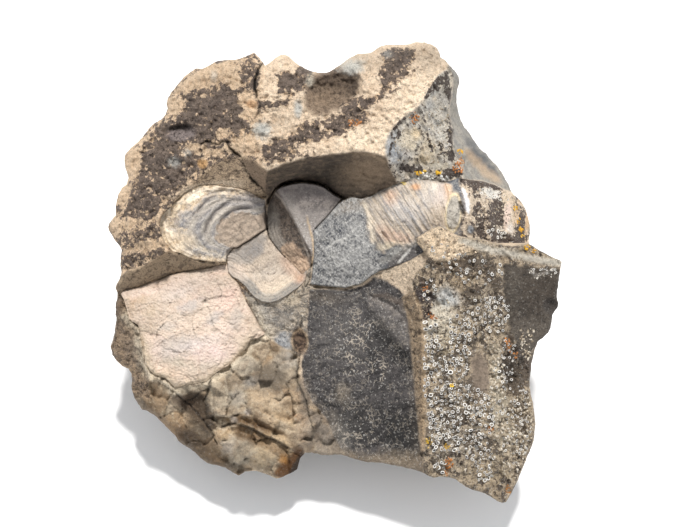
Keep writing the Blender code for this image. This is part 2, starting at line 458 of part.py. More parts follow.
def flank_rings(outline, rim_depth, ts):
    """Rings of points from the outline (t = 0) to the seat (t = 1), mm,
    before the facets are struck."""
    p = np.asarray(outline, dtype=float) - np.array(SEAT_CENTRE)
    ang = np.arctan2(-p[:, 1], p[:, 0])
    rad = np.hypot(p[:, 0], p[:, 1])
    body = np.minimum(body_radius(ang), rad)
    share = by_direction(ang, SEAT_SHARE)
    power = by_direction(ang, FLANK_POWER)
    sx, sy = SEAT_CENTRE[0] + np.cos(ang) * body * share, SEAT_CENTRE[1] - np.sin(ang) * body * share
    bd = seat_depth(sx, sy)
    inward = np.stack([-np.cos(ang), -np.sin(ang), np.zeros(len(p))], 1)
    rings = []
    for t in ts:
        r = (rad + (body - rad) * smooth(t / 0.5)) * (1.0 + (share - 1.0) * t ** power)
        x, y = SEAT_CENTRE[0] + np.cos(ang) * r, SEAT_CENTRE[1] - np.sin(ang) * r
        w = rim_depth + (bd - rim_depth) * t
        pos = np.stack(to_world(x, y, w), 1)
        if 0.0 < t < 1.0:
            pos = pos + inward * (flank_waves(pos) * math.sin(math.pi * t) ** 0.8)[:, None]
        rings.append(pos)
    return rings


def facet_planes():
    """The struck facets as (normal, distance); the same for any fineness."""
    o = np.asarray(OUTLINE, dtype=float)
    rings = flank_rings(OUTLINE, face_depth(o[:, 0], o[:, 1], cracks=False), [k / 8.0 for k in range(1, 9)])
    pts = np.concatenate(rings)
    planes = []
    for turn, lean, cut in FACETS:
        a, b = math.radians(turn), math.radians(lean)
        n = np.array([math.cos(a) * math.cos(b), math.sin(a) * math.cos(b), math.sin(b)])
        planes.append((n, float((pts @ n).max()) - cut))
    return planes


def strike(pos, planes, t):
    """Flatten what stands proud of each facet; the rim and the seat's height
    stay as they are."""
    keep = smooth(np.asarray(t) / 0.4)
    for n, d in planes:
        over = np.clip(pos @ n - d, 0.0, None) * keep
        flat = np.array([n[0], n[1], 0.0])
        flat = flat / (flat @ n)
        pos = pos - flat[None, :] * np.reshape(over, (-1, 1))
    return pos

# ---------------------------------------------------------------- solids
CELL = 11.0          # grid spacing of the block's face, in grid units
SHELL_CELL = 8.0     # the same on the pieces of ammonite
EDGE = 0.15 / UNIT   # each piece stops this far inside its outline (0.15 mm)
BED_GAP = 0.40       # gap under each piece, mm
SHELLS = [
    # node, outline, thickness mm, the sheet its underside follows
    ("outer_whorl", WHORL, 6.0, "whorl"),
    ("inner_whorl_cast", LOBE, 0.0, None),
    ("ribbed_flank_shell", RIBBED, 2.4, "ribbed"),
    ("inner_shell_spoon", SPOON, 1.8, "spoon"),
    ("nacre_plate", PLATE, 2.2, "plate"),
]
CAST_FLOOR = -8.5    # depth of the flat underside of the inner whorl, mm
RIM_STEP = 10.0      # spacing of points along the outline, grid units
LEVELS = (0.12, 0.26, 0.42, 0.6, 0.8, 1.0)   # rings from the outline to the seat


def thin_out(pts, step):
    """Drop points of a closed outline that lie closer than step, keeping the
    extreme ones."""
    p = np.asarray(pts, dtype=float)
    keep_always = {int(p[:, 0].argmin()), int(p[:, 0].argmax()), int(p[:, 1].argmin()), int(p[:, 1].argmax())}
    out, last = [], None
    for i, q in enumerate(p):
        if i in keep_always or last is None or np.hypot(*(q - last)) >= step:
            if out and np.hypot(*(q - np.asarray(out[-1]))) < step * 0.45 and i in keep_always:
                out[-1] = tuple(q)
            else:
                out.append(tuple(q))
            last = q
    if np.hypot(*(np.asarray(out[0]) - np.asarray(out[-1]))) < step * 0.6:
        out.pop()
    return out


def offset(pts, dist):
    """Move a closed outline outwards by dist (negative: inwards)."""
    p = np.asarray(pts, dtype=float)
    area = 0.5 * np.sum(p[:, 0] * np.roll(p[:, 1], -1) - np.roll(p[:, 0], -1) * p[:, 1])
    e0 = p - np.roll(p, 1, axis=0)
    e1 = np.roll(p, -1, axis=0) - p
    n0 = np.stack([e0[:, 1], -e0[:, 0]], 1) / np.linalg.norm(e0, axis=1, keepdims=True)
    n1 = np.stack([e1[:, 1], -e1[:, 0]], 1) / np.linalg.norm(e1, axis=1, keepdims=True)
    if area < 0:
        n0, n1 = -n0, -n1
    m = n0 + n1
    m /= np.linalg.norm(m, axis=1, keepdims=True)
    cosine = np.clip(np.sum(m * n0, axis=1), 0.5, 1.0)
    return [tuple(q) for q in p + m * (dist / cosine)[:, None]]


def triangulate(outline, inner, lines=()):
    """Triangles that fill an outline, through inner points and along lines."""
    verts = [Vector(q) for q in outline]
    n = len(verts)
    edges = [(i, (i + 1) % n) for i in range(n)]
    for q in inner:
        verts.append(Vector(q))
    for line in lines:
        first = len(verts)
        verts.extend(Vector(q) for q in line)
        edges.extend((first + i, first + i + 1) for i in range(len(line) - 1))
    co, _, faces, _, _, _ = delaunay_2d_cdt(verts, edges, [list(range(n))], 1, 0.02)
    return np.array([(q.x, q.y) for q in co]), [tuple(f) for f in faces]


def grid_points(outline, cell, clear):
    """Staggered grid points inside an outline, clear of its edge."""
    p = np.asarray(outline, dtype=float)
    lo, hi = p.min(axis=0), p.max(axis=0)
    rows = []
    for j, y in enumerate(np.arange(lo[1] + cell * 0.5, hi[1], cell * 0.87)):
        xs = np.arange(lo[0] + cell * (0.25 + 0.5 * (j % 2)), hi[0], cell)
        rows.append(np.stack([xs, np.full(xs.shape, y)], 1))
    g = np.concatenate(rows)
    return g[inset(g[:, 0], g[:, 1], outline) > clear]


def add_object(name, verts_mm, faces, colour, roughness):
    mesh = bpy.data.meshes.new(name)
    mesh.from_pydata([(a / 1000.0, b / 1000.0, c / 1000.0) for a, b, c in verts_mm], [], faces)
    bm = bmesh.new()
    bm.from_mesh(mesh)
    bmesh.ops.remove_doubles(bm, verts=bm.verts, dist=1e-6)
    bmesh.ops.recalc_face_normals(bm, faces=bm.faces)
    bm.to_mesh(mesh)
    bm.free()
    obj = bpy.data.objects.new(name, mesh)
    bpy.context.scene.collection.objects.link(obj)
    mat = bpy.data.materials.new(name)
    mat.use_nodes = True
    bsdf = mat.node_tree.nodes["Principled BSDF"]
    bsdf.inputs["Base Color"].default_value = (*colour, 1.0)
    bsdf.inputs["Roughness"].default_value = roughness
    bsdf.inputs["Metallic"].default_value = 0.0
    mesh.materials.append(mat)
    return obj


def slab(outline, cell, top, bottom):
    """Closed solid between two depth surfaces over an outline."""
    inner = grid_points(outline, cell, cell * 0.45)
    xy, tris = triangulate(outline, inner)
    n = len(xy)
    up = np.stack(to_world(xy[:, 0], xy[:, 1], top(xy[:, 0], xy[:, 1])), 1)
    dn = np.stack(to_world(xy[:, 0], xy[:, 1], bottom(xy[:, 0], xy[:, 1])), 1)
    faces = [t for t in tris] + [(c + n, b + n, a + n) for a, b, c in tris]
    seen = set()
    for a, b, c in tris:
        for e in ((a, b), (b, c), (c, a)):
            if (e[1], e[0]) in seen:
                seen.discard((e[1], e[0]))
            else:
                seen.add(e)
    for a, b in sorted(seen):
        faces.append((b, a, a + n, b + n))
    return np.concatenate([up, dn]), faces


def block():
    """The mudstone block: face, flanks and flat seat as one closed solid."""
    rim = thin_out(OUTLINE, RIM_STEP)
    feature, lines = [], []
    for name, _, outline, _ in PATCHES[2:]:
        if name in SHELL_PATCHES:
            continue
        p = np.asarray(outline, dtype=float)
        ok = inset(p[:, 0], p[:, 1], rim) > 4.0
        run = []
        for i in list(range(len(p))) + [0]:
            if not ok[i]:
                if len(run) > 1:
                    lines.append(run)
                run = []
                continue
            q = p[i]
            near = [f for f in feature if (f[0] - q[0]) ** 2 + (f[1] - q[1]) ** 2 < 20.0]
            if near:
                q = near[0]
            else:
                q = (float(q[0]), float(q[1]))
                feature.append(q)
            if not run or run[-1] != q:
                run.append(q)
        if len(run) > 1:
            lines.append(run)
    f = np.asarray(feature)
    g = grid_points(rim, CELL, CELL * 0.5)
    d = np.min(np.hypot(g[:, None, 0] - f[None, :, 0], g[:, None, 1] - f[None, :, 1]), axis=1)
    g = g[d > CELL * 0.55]
    xy, tris = triangulate(rim, g, lines)
    w = face_depth(xy[:, 0], xy[:, 1], cracks=False)
    # only the broad hollows show at this size of facet
    w = w + broad_relief(xy[:, 0], xy[:, 1])
    verts = list(map(tuple, np.stack(to_world(xy[:, 0], xy[:, 1], w), 1)))
    faces = list(tris)
    n = len(rim)
    # the triangulation keeps the outline's points first and in order
    assert np.allclose(xy[:n], np.asarray(rim), atol=1e-3)
    planes = facet_planes()
    prev = list(range(n))
    for t, ring in zip(LEVELS, flank_rings(rim, w[:n], LEVELS)):
        ring = strike(ring, planes, t)
        first = len(verts)
        verts.extend(map(tuple, ring))
        cur = list(range(first, first + n))
        for i in range(n):
            j = (i + 1) % n
            faces.append((prev[i], prev[j], cur[j]))
            faces.append((prev[i], cur[j], cur[i]))
        prev = cur
    # the seat: the last ring filled flat, in plan millimetres
    base = ring[:, :2]
    bxy, btris = triangulate([tuple(q) for q in base], grid_points(base, 12.0, 6.0))
    assert np.allclose(bxy[:n], base, atol=1e-3)
    extra = {}
    for i in range(n, len(bxy)):
        extra[i] = len(verts)
        verts.append((bxy[i, 0], bxy[i, 1], 0.0))
    for t in btris:
        faces.append(tuple(prev[i] if i < n else extra[i] for i in t))
    verts = [(a, b, 0.0 if abs(c) < 1e-6 else c) for a, b, c in verts]
    return verts, faces


def broad_relief(x, y):
    w = np.zeros(x.shape)
    for hx, hy, rx, ry, turn, depth, power in HOLLOWS[:2]:
        c, s = math.cos(math.radians(turn)), math.sin(math.radians(turn))
        ex = ((x - hx) * c + (y - hy) * s) / rx
        ey = (-(x - hx) * s + (y - hy) * c) / ry
        r = np.sqrt(ex * ex + ey * ey)
        w -= depth * np.clip(1.0 - np.clip(r, 0, 1) ** power, 0, 1)
    return w


def main():
    for obj in list(bpy.data.objects):
        bpy.data.objects.remove(obj, do_unlink=True)
    verts, faces = block()
    matrix = add_object("matrix_block", verts, faces, (0.33, 0.27, 0.21), 0.9)
    colours = {"outer_whorl": (0.45, 0.40, 0.35), "inner_whorl_cast": (0.16, 0.15, 0.15),
               "ribbed_flank_shell": (0.34, 0.32, 0.30), "inner_shell_spoon": (0.48, 0.40, 0.33),
               "nacre_plate": (0.62, 0.52, 0.45)}
    for name, outline, thick, sheet in SHELLS:
        def top(x, y):
            return face_depth(x, y, cracks=False)

        def under(x, y, gap=0.0):
            if sheet is None:
                return x * 0.0 + CAST_FLOOR - gap
            return SHEETS[sheet](x, y) - thick - gap
        # the piece, and the pocket that it lies in
        mine = offset(outline, -EDGE)
        v, f = slab(mine, SHELL_CELL, top, under)
        add_object(name, v, f, colours[name], 0.55)
        room = offset(outline, EDGE)
        v, f = slab(room, SHELL_CELL, lambda x, y: top(x, y) * 0.0 + 26.0,
                    lambda x, y: under(x, y, BED_GAP))
        cutter = add_object("pocket_" + name, v, f, (1, 0, 0), 0.5)
        cutter.hide_render = True
        cutter.display_type = "WIRE"
        mod = matrix.modifiers.new("pocket_" + name, "BOOLEAN")
        mod.operation = "DIFFERENCE"
        mod.solver = "EXACT"
        mod.object = cutter


main()
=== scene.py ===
"""Looks of the ammonite fossil: fine meshes and procedural materials that
stand for the faceted CAD solids, plus the camera, light and floor."""
import math

import bpy
import numpy as np
from mathutils import Matrix, Vector
from mathutils.geometry import delaunay_2d_cdt


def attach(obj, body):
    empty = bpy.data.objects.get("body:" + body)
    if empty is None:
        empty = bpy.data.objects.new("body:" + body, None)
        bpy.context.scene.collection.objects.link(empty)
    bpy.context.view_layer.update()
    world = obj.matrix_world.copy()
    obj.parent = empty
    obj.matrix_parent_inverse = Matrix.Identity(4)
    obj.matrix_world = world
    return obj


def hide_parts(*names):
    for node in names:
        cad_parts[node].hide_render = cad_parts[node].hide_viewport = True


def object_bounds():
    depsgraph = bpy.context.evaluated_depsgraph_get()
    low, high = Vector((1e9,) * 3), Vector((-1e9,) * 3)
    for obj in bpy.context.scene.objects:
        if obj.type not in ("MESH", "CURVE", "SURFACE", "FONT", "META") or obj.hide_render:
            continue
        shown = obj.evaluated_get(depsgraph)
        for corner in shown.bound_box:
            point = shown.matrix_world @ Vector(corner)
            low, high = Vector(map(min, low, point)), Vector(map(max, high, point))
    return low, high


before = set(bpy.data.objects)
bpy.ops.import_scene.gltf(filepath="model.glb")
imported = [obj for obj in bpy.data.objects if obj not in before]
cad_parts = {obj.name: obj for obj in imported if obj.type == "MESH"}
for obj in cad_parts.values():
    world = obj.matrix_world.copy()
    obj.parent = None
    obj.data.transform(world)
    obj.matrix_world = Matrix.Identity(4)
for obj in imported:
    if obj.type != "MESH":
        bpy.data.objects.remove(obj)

CAD_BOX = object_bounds()

# ---------------------------------------------------------------- dimensions
# The face of the block is laid out on a flat design grid: x to the right,
# y down, one unit = UNIT mm.  Depths (w) are in mm, out of the face.
UNIT = 0.28          # mm per design-grid unit
GX, GY = 350.0, 263.5  # grid point on the block's long axis
TAPER = 600.0        # mm; the block narrows towards its face by w / TAPER
LEAN = math.radians(68.0)   # angle between the face and the vertical
SEAT = -50.0         # depth of the seat (flat underside) at the axis, mm
OFF_X, OFF_Y = -4.694, 3.621   # puts the origin under the middle, mm


def to_world(x, y, w):
    """Design grid + depth -> block coordinates in mm (+Z up, seat at z=0)."""
    k = (TAPER - w) / TAPER
    u = (x - GX) * UNIT * k
    v = (GY - y) * UNIT * k
    s, c = math.sin(LEAN), math.cos(LEAN)
    return (u - OFF_X, v * s - w * c - OFF_Y, v * c + (w - SEAT) * s)


def seat_depth(x, y):
    """Depth of the seat plane straight behind a point of the face."""
    # v*c + (w-SEAT)*s = 0 with v = v0*(TAPER-w)/TAPER
    v0 = (GY - y) * UNIT
    s, c = math.sin(LEAN), math.cos(LEAN)
    return (SEAT * s - v0 * c) / (s - v0 * c / TAPER)


# ---------------------------------------------------------------- outlines
OUTLINE = [
    (254,52),(260,58),(265,65),(270,62),(276,57),(281,54),(285,54),(289,56),(293,60),(298,64),(305,68),
    (312,71),(318,72),(325,72.5),(330,71),(336,67),(341,64),(346,60),(352,56),(358,53),(365,53),(371,52),
    (377,48),(382,45),(390,44),(400,44),(408,44),(415,42),(425,42),(432,44),(437,47),(440,53),(441,57),
    (446,60),(450,65),(455,70),(459,76),(460,82),(458,88),(457,95),(457,102),(459,112),(461,120),(465,127),
    (470,133),(475,141),(480,148),(486,153),(491,159),(496,164),(500,169),(505,177),(509,184),(511,190),
    (515,195),(519,199),(523,204),(526,210),(528,217),(530,225),(530,233),(529,240),(530,244),(535,247),
    (540,250),(547,254),(555,258),(560,260),(562,262),(561,267),(560,275),(559,283),(558,290),(557,297),
    (559,303),(559,306),(556,310),(553,315),(552,322),(551,328),(549,333),(543,338),(538,342),(536,348),
    (534,356),(532,364),(531,372),(530,380),(530,386),(531,394),(533,402),(534,408),(535,415),(536,425),
    (535,432),(534,441),(531,450),(527,458),(525,464),(522,471),(519,477),(517,483),(513,491),(509,498),
    (506,502),(502,503),(497,501),(491,497),(485,494),(478,491.5),(472,490),(466,487),(460,483),(455,479),
    (447,477.5),(440,477),(434,478),(430,477),(425,474),(420,472),(414,470),(408,469),(402,467),(395,466),
    (388,464.5),(382,463),(375,463),(368,462.5),(360,461),(353,459),(347,457),(341,455),(335,455),(328,456),
    (320,455),(312,453),(305,453),(300,459),(297,470),(290,474),(283,477),(276,479),(270,476),(262,473),
    (255,471),(245,472),(238,476),(230,471),(225,468),(219,466),(212,465),(206,463),(200,458),(195,453),
    (190,449),(183,445),(178,441),(175,436),(171,432),(166,427),(160,421),(155,416),(147,411),(142,410),
    (138,404),(134,398),(132,392),(131,386),(132,380),(131,374),(128,369),(122,366),(116,361),(112,355),
    (110,347),(112,341),(114,335),(115,325),(116,320),(115,312),(115,305),(117,298),(117,293),(115,288),
    (116,284),(119,279),(121,272),(120,266),(120,258),(121,250),(119,246),(115,241),(112,236),(109,231),
    (108,227),(109,223),(112,219),(115,215),(115,209),(116,201),(118,194),(121,188),(126,184),(128,178),
    (127,174),(125,168),(124,162),(124,156),(127,151),(132,146),(137,142),(142,137),(146,131),(150,126),
    (155,122),(161,119),(165,114),(167,108),(166,103),(167,99),(170,93),(175,87),(180,81),(184,76),
    (190,72),(195,68),(202,68),(207,66),(212,63),(217,60.5),(225,59.5),(235,59),(243,57),(247,55)]

# what is left of the ammonite, piece by piece
RIBBED = [(265,200),(258,197),(252,193),(245,190),(235,187.5),(225,187),(215,185),(205,185),(198,186),
          (190,190),(183,195),(177,201),(170,208),(162,215),(160,223),(161,232),(164,241),(168,247),
          (172,251),(180,253),(188,257),(196,260),(205,261),(212,262),(226,262),(227,256),(227,251),
          (231,248),(237,248),(243,244),(250,240),(257,235),(263,231),(267,229),(267,218),(266,210)]
SPOON = [(227,263),(227,256),(227,251),(231,248),(237,248),(243,244),(250,240),(257,235),(263,231),
         (267,229),(269,238),(275,246),(280,252),(285,257),(291,263),(296,268),(302,274),(307,270),
         (305,280),(303,283),(298,288),(292,292),(285,297),(278,301),(270,303),(262,302),(255,298),
         (250,293),(245,286),(238,280),(232,277),(228,272)]
LOBE = [(267,229),(267,217),(268,207),(272,197),(276,190),(280,187),(287,185),(295,183),(305,182.5),
        (315,184),(323,186),(328,189),(333,194),(342,199),(337,205),(332,211),(326,218),(320,224),
        (313,231),(314,240),(314,247),(314,256),(312,266),(307,270),(302,274),(296,268),(291,263),
        (285,257),(280,252),(275,246),(269,238)]
WHORL = [(313,231),(320,224),(326,218),(332,211),(337,205),(343,200),(352,197),(361,199),(372,196),
         (380,191),(390,187),(397,184),(405,181),(415,180),(430,180),(445,183),(458,178),(470,180),
         (482,181),(495,185),(505,190),(512,193),(519,199),(523,204),(526,210),(528,217),(530,225),(530,233),
         (529,240),(524,243),(510,243),(495,243),(480,239),(463,237),(455,234),(446,229),(440,226),
         (432,228),(424,233),(416,238),(417,243),(424,252),(420,254),(410,260),(400,264),(390,268),
         (380,271),(373,275),(367,280),(362,284),(355,286),(345,288),(333,287),(320,286),(310,284),
         (312,275),(313,263),(314,256),(314,247),(314,240)]
# the ground of the outer whorl, carried past the outline at its far end
WHORL_GROUND = WHORL[:20] + [(505,190),(511.5,192.4),(517,190),(526,194),(534,205),(538,215),(539,224),(539,232),
                             (534,238),(529,240.5)] + WHORL[29:]
PLATE = [(124,290),(141,286),(150,282),(158,280),(165,277),(172,274),(182,272),(200,269),(210,267),
         (220,265),(227,264),(228,272),(232,277),(238,283),(242,293),(246,301),(250,308),(255,316),
         (260,326),(265,334),(258,338),(251,339),(246,348),(240,355),(234,361),(228,366),(220,370),
         (212,376),(207,381),(198,383),(190,384),(175,388),(165,378),(155,375),(150,371),(145,364),
         (143,352),(141,340),(140,330),(138,325),(133,322),(129,318),(127,310),(124,300),(121,294)]

# ---------------------------------------------------------------- form of the face
# Each patch: (name, soft edge in grid units, outline, depth points (x, y, w)).
# Later patches lie over earlier ones; a patch's depth is a smooth sheet
# through its own points, so patches meet in creases or steps.
PATCHES = [
 ("rind", 0, None, [
    (254,52,1),(300,60,1),(345,58,2),(400,46,2),(437,50,1),(200,70,1),(170,100,1),(150,130,0),(128,165,-1),
    (118,205,-1),(110,228,-3),(118,262,-2),(250,80,6),(300,90,8),(350,90,10),(400,70,9),(430,75,7),
    (200,110,7),(240,120,10),(290,130,13),(340,125,14),(380,110,13),(410,90,11),(160,160,5),(200,160,8),
    (240,150,12),(265,160,13.5),(300,150,16),(345,145,17),(385,150,16),(140,200,4),(160,200,6),
    (130,235,2.5),(145,250,3.5),(185,180,7.5),(215,160,10),(122,250,0)]),
 ("bed", 2.0, [(112,287),(150,275),(180,262),(166,246),(163,225),(175,204),(200,191),(235,191),(262,201),
    (270,199),(280,187),(310,185),(340,199),(372,198),(397,187),(440,187),(460,183),(500,195),(580,230),
    (580,520),(100,520)], [
    (124,290,-4),(200,225,3),(262,215,-2),(290,215,0),(350,215,4.5),(400,200,6),(440,200,8),(520,215,-5),
    (200,270,-3),(250,265,-3),(300,275,-2.6),(345,288,0.7),(380,275,3.5),(410,262,6.5),(424,300,8),
    (480,250,9),(560,265,4),(250,310,-2.5),(300,340,-1.8),(235,362,0),(190,386,1.5),(150,370,-1),
    (120,340,-6),(302,385,-2),(330,425,-2.6),(424,400,4.5),(500,400,6),(345,455,-3.5),(240,430,1),
    (170,430,-7),(424,470,3),(500,500,1),(540,330,5),(530,400,2.5),(230,470,-5.5)]),
 ("farbulge", 2.0, [(448,60),(470,60),(520,120),(540,200),(500,192),(478,184),(462,180),(455,160),(450,140),
    (449,120),(448,100),(446,80)], [
    (455,75,2),(459,95,-3),(450,100,2),(461,120,-7),(450,130,3),(475,141,-10),(458,158,3),(491,159,-13),
    (505,177,-13),(511,190,-12),(465,165,1),(480,180,-1),(470,150,-2),(495,188,-5),(463,140,-2)]),
 ("rightface", 1.5, [(386,157),(385,145),(388,135),(394,128),(400,120),(408,114),(418,107),(424,100),
    (428,90),(433,82),(440,74),(448,68),(453,75),(452,88),(450,100),(448,110),(450,120),(453,130),
    (452,140),(453,150),(458,158),(463,163),(463,178),(445,184),(430,182),(418,181),(405,182),(396,186),
    (391,175),(388,163)], [
    (386,157,15.3),(389,135,14.3),(400,120,12.8),(418,107,11),(428,90,9),(440,75,7),(450,72,4),
    (451,100,4.5),(450,130,5),(458,158,5),(462,176,4.5),(445,183,5),(420,180,5.5),(397,184,6.5),
    (410,150,10),(430,130,8),(430,165,7.5),(437,105,7.5),(400,168,9.5)]),
 ("slope", 1.5, [(172,204),(180,194),(188,187),(195,182),(205,173),(215,165),(225,160),(240,156),(252,160),
    (262,168),(268,172),(268,198),(262,200),(252,196),(235,190),(215,189),(198,190),(183,199)], [
    (172,204,4.6),(185,190,6.3),(195,182,7.2),(215,165,9.5),(240,156,11.5),(262,168,12),(268,173,11.5),
    (268,196,-0.5),(252,193,1.5),(235,188,3),(215,185,4.1),(198,187,4.7),(240,172,7.5),(258,182,5),
    (222,176,6.6)]),
 ("overhang", 1.2, [(267,171),(275,168),(285,163.5),(295,161),(305,158),(315,157),(325,155),(335,154),(345,153),
    (355,152),(365,152),(375,154),(386,157.5),(388,163),(391,171),(394,177),(398,184),(390,188),(380,192),
    (372,198),(360,201),(352,200),(343,201),(333,198),(324,191),(315,188),(305,186),(295,187),(285,189),
    (278,193),(270,198),(266,194),(266,180)], [
    (268,171,12.5),(285,163,15),(300,159,16),(325,155,16.8),(345,153,17),(365,152,16.8),(386,157,15.3),
    (270,196,1),(285,186,1.5),(300,183,1.5),(320,186,1),(335,195,1.5),(350,199,3),(372,196,5),(398,184,6.5),
    (300,170,7.5),(330,170,8),(350,175,8.5),(375,170,10.5),(270,182,6)]),
 ("gap", 1.0, [(266,200),(270,194),(275,188),(282,183),(290,180.5),(300,179.5),(310,180.8),(320,183),(328,187),
    (336,193),(345,198),(352,199),(352,203),(343,204),(333,200),(325,195),(315,191),(300,189),(285,191),
    (278,196),(273,203),(270,212)], [
    (268,200,-4),(290,183,-5),(310,184,-5),(330,192,-4.5),(350,200,-1),(275,190,-4.5)]),
 ("leftside", 2.0, [(105,283),(124,290),(125,300),(128,311),(133,322),(140,331),(142,345),(145,364),(150,373),
    (158,380),(160,395),(150,420),(120,420),(100,380),(100,300)], [
    (116,290,-3.8),(124,296,-3.2),(118,330,-5),(112,350,-7),(130,322,-2.8),(140,340,-2),(135,365,-4.5),
    (125,366,-7),(145,368,-2.2),(152,388,-4),(131,388,-7.5),(140,405,-8)]),
 ("lumps", 2.0, [(145,366),(155,376),(165,380),(175,389),(190,385),(207,382),(220,371),(234,362),(246,349),
    (252,340),(265,335),(285,348),(297,355),(301,385),(312,402),(330,421),(335,440),(352,458),(350,470),
    (300,490),(240,490),(180,460),(130,420),(130,390),(150,400),(148,380)], [
    (234,362,0.2),(252,343,-1.2),(290,360,-1.4),(301,385,-1.8),(212,378,1.2),(230,395,2.2),(255,385,2.2),
    (280,398,1.8),(320,420,-2.4),(335,440,-2.8),(345,455,-3.5),(300,448,-3.5),(240,415,2.2),(222,425,1.6),
    (270,425,0.8),(292,430,-0.5),(175,390,0.8),(190,402,-0.8),(160,398,-3.5),(143,405,-7),(165,425,-8),
    (200,430,-3.5),(215,455,-5),(190,447,-8),(240,445,0),(262,455,-1.5),(235,470,-5.5),(262,470,-5),
    (285,465,-4.5),(298,452,-5),(298,466,-7)]),
 ("midzone", 2.0, [(255,298),(262,302),(270,303),(278,301),(285,297),(292,292),(298,288),(303,283),(307,270),
    (314,256),(314,290),(309,300),(309,330),(306,352),(299,356),(285,349),(265,336),(258,326),(250,308),
    (244,292),(248,291)], [
    (312,258,-1),(308,275,-1),(304,286,-1.4),(290,299,-2),(270,307,-2.8),(256,306,-3),(248,294,-2.6),
    (262,330,-2.2),(275,345,-1.6),(300,320,-1.2),(305,342,-1.7),(285,325,-2)]),
 ("darkface", 1.5, [(309,289),(320,288),(345,290),(355,288),(365,284),(377,275),(390,281),(399,289),(407,300),
    (411,315),(412,345),(416,385),(420,425),(423,450),(424,480),(380,480),(352,470),(345,455),(335,440),
    (325,418),(312,402),(304,385),(301,362),(306,345),(307,320)], [
    (308,289,-0.4),(345,290,0.6),(365,284,1.4),(377,275,2.8),(390,281,4.2),(400,289,4.8),(408,302,5.0),
    (412,345,4),(416,385,3.5),(421,445,2.6),(360,340,-0.2),(330,340,-1),(307,345,-1.8),(302,385,-2.2),
    (326,420,-2.6),(345,455,-3.4),(385,440,0.2),(385,350,1.6),(345,400,-1.6),(424,470,2.2),(375,463,-1.5)]),
 ("rightblock", 1.5, [(415,238),(424,233),(432,228),(440,226),(446,229),(452,233),(460,237),(475,238),(485,240),
    (495,243),(505,245),(515,246),(528,243),(545,248),(575,258),(575,320),(560,400),(545,480),(510,515),(460,500),
    (424,482),(423,450),(424,430),(424,390),(423,345),(421,325),(418,310),(412,298),(410,288),(415,273),
    (424,265),(426,256),(418,247)], [
    (415,239,9),(426,233,10.6),(440,228,11.2),(452,234,11),(475,241,10.5),(505,249,9),(535,256,6.5),
    (560,262,4),(430,250,12),(460,258,12),(500,262,10),(530,272,7.5),(556,285,4),(418,268,9.6),
    (412,290,8),(424,340,7),(424,400,5.8),(424,455,4.2),(460,330,9.6),(500,330,8.6),(545,325,4),
    (460,400,7.4),(500,400,6.2),(530,380,2.5),(460,475,3.2),(502,500,1),(533,430,1.5),(500,460,4),
    (440,300,9.6)]),
 ("tanslope", 1.5, [(373,276),(381,272),(392,268),(402,264),(412,259),(421,254),(425,252),(427,258),(424,265),
    (415,273),(412,283),(411,291),(405,290),(398,288),(390,282),(380,278)], [
    (373,277,3),(390,269,4.6),(405,263,5.6),(421,254,6.6),(427,258,9.2),(424,265,9.6),(415,273,8.8),
    (411,291,7.4),(405,290,5.6),(398,288,5),(390,282,4.4)]),
 ("band", 1.5, [(402,298),(410,290),(414,298),(419,310),(422,325),(424,345),(425,390),(425,430),(424,452),
    (421,452),(418,425),(415,385),(411,345),(408,318)], [
    (402,298,4.8),(412,292,7.6),(420,312,8),(424,345,7),(425,390,6),(424,452,4.2),(418,425,3.2),
    (415,385,3.8),(411,345,4.4),(407,318,5)]),
 ("wedge", 1.0, [(117,278),(121,275),(127,271),(140,267),(150,262),(160,256),(168,252),(175,250),(182,253),
    (190,257),(200,261),(212,262),(226,262),(227,265),(220,266),(210,268),(200,270),(182,273),(172,275),
    (165,278),(158,281),(150,283),(141,287),(133,289),(124,292),(114,290)], [
    (119,277,1.2),(135,269,2.4),(150,262,3),(168,252,3),(182,253,2.2),(200,261,1.2),(226,262,0.2),
    (114,290,-3.8),(124,291,-3.8),(141,286,-4),(165,277,-4),(182,272,-3.6),(210,267,-2.6),(226,265,-1.8)]),
 ("ribbed", 0.8, RIBBED, [
    (161,223,2.8),(161,232,2.3),(170,208,4.4),(183,195,5.4),(198,186,5.4),(215,185,4.8),(235,187.5,3.6),
    (252,193,1.8),(265,200,-0.5),(267,218,-1.8),(267,229,-2.4),(250,240,-0.8),(237,248,-0.2),(227,256,0.3),
    (226,262,0.3),(212,262,1),(196,260,1.6),(180,253,2.4),(168,247,2.4),(190,220,5),(215,215,4),
    (240,215,1),(215,240,2.4),(178,225,4.6),(205,200,5),(235,200,2.8)]),
 ("spoon", 0.8, SPOON, [
    (227,262,-1.6),(232,277,-1.8),(245,286,-1.7),(255,298,-1.7),(270,303,-1.3),(285,297,-1.3),(298,288,-1.6),
    (305,280,-2),(307,270,-2.6),(296,268,-4.4),(285,257,-4.4),(270,240,-4),(250,240,-1.9),(262,272,-4.6),
    (250,260,-3.4),(275,285,-3.8),(240,256,-2.2),(292,280,-3.6)]),
 ("lobe", 0.8, LOBE, [
    (279,190,2.6),(295,183,4.6),(315,184,5.2),(333,194,4),(342,199,3.2),(305,205,4.6),(323,210,3.2),
    (320,224,1.4),(313,231,0.8),(283,200,2.2),(293,217,2),(304,238,0.4),(312,256,-1.2),(309,245,0.2)]),
 ("crescent", 0.9, [(277,190),(281,199),(285,206),(290,213),(294,221),(298,228),(302,237),(306,244),(310,251),
    (313,258),(312,266),(307,271),(302,275),(296,268.5),(291,263.5),(285,257.5),(280,252.5),(275,246.5),
    (269,238.5),(266.5,229),(266.5,217),(267.5,207),(271.5,197),(275,191)], [
    (277,191,2),(281,200,1.2),(290,214,0.8),(302,237,-0.6),(310,251,-1.2),(313,262,-1.8),(302,274,-3.2),
    (271,199,-3),(268,217,-4),(268,232,-4.2),(275,246,-4.2),(285,257,-4.4),(296,268,-4.2),(280,225,-2.8),
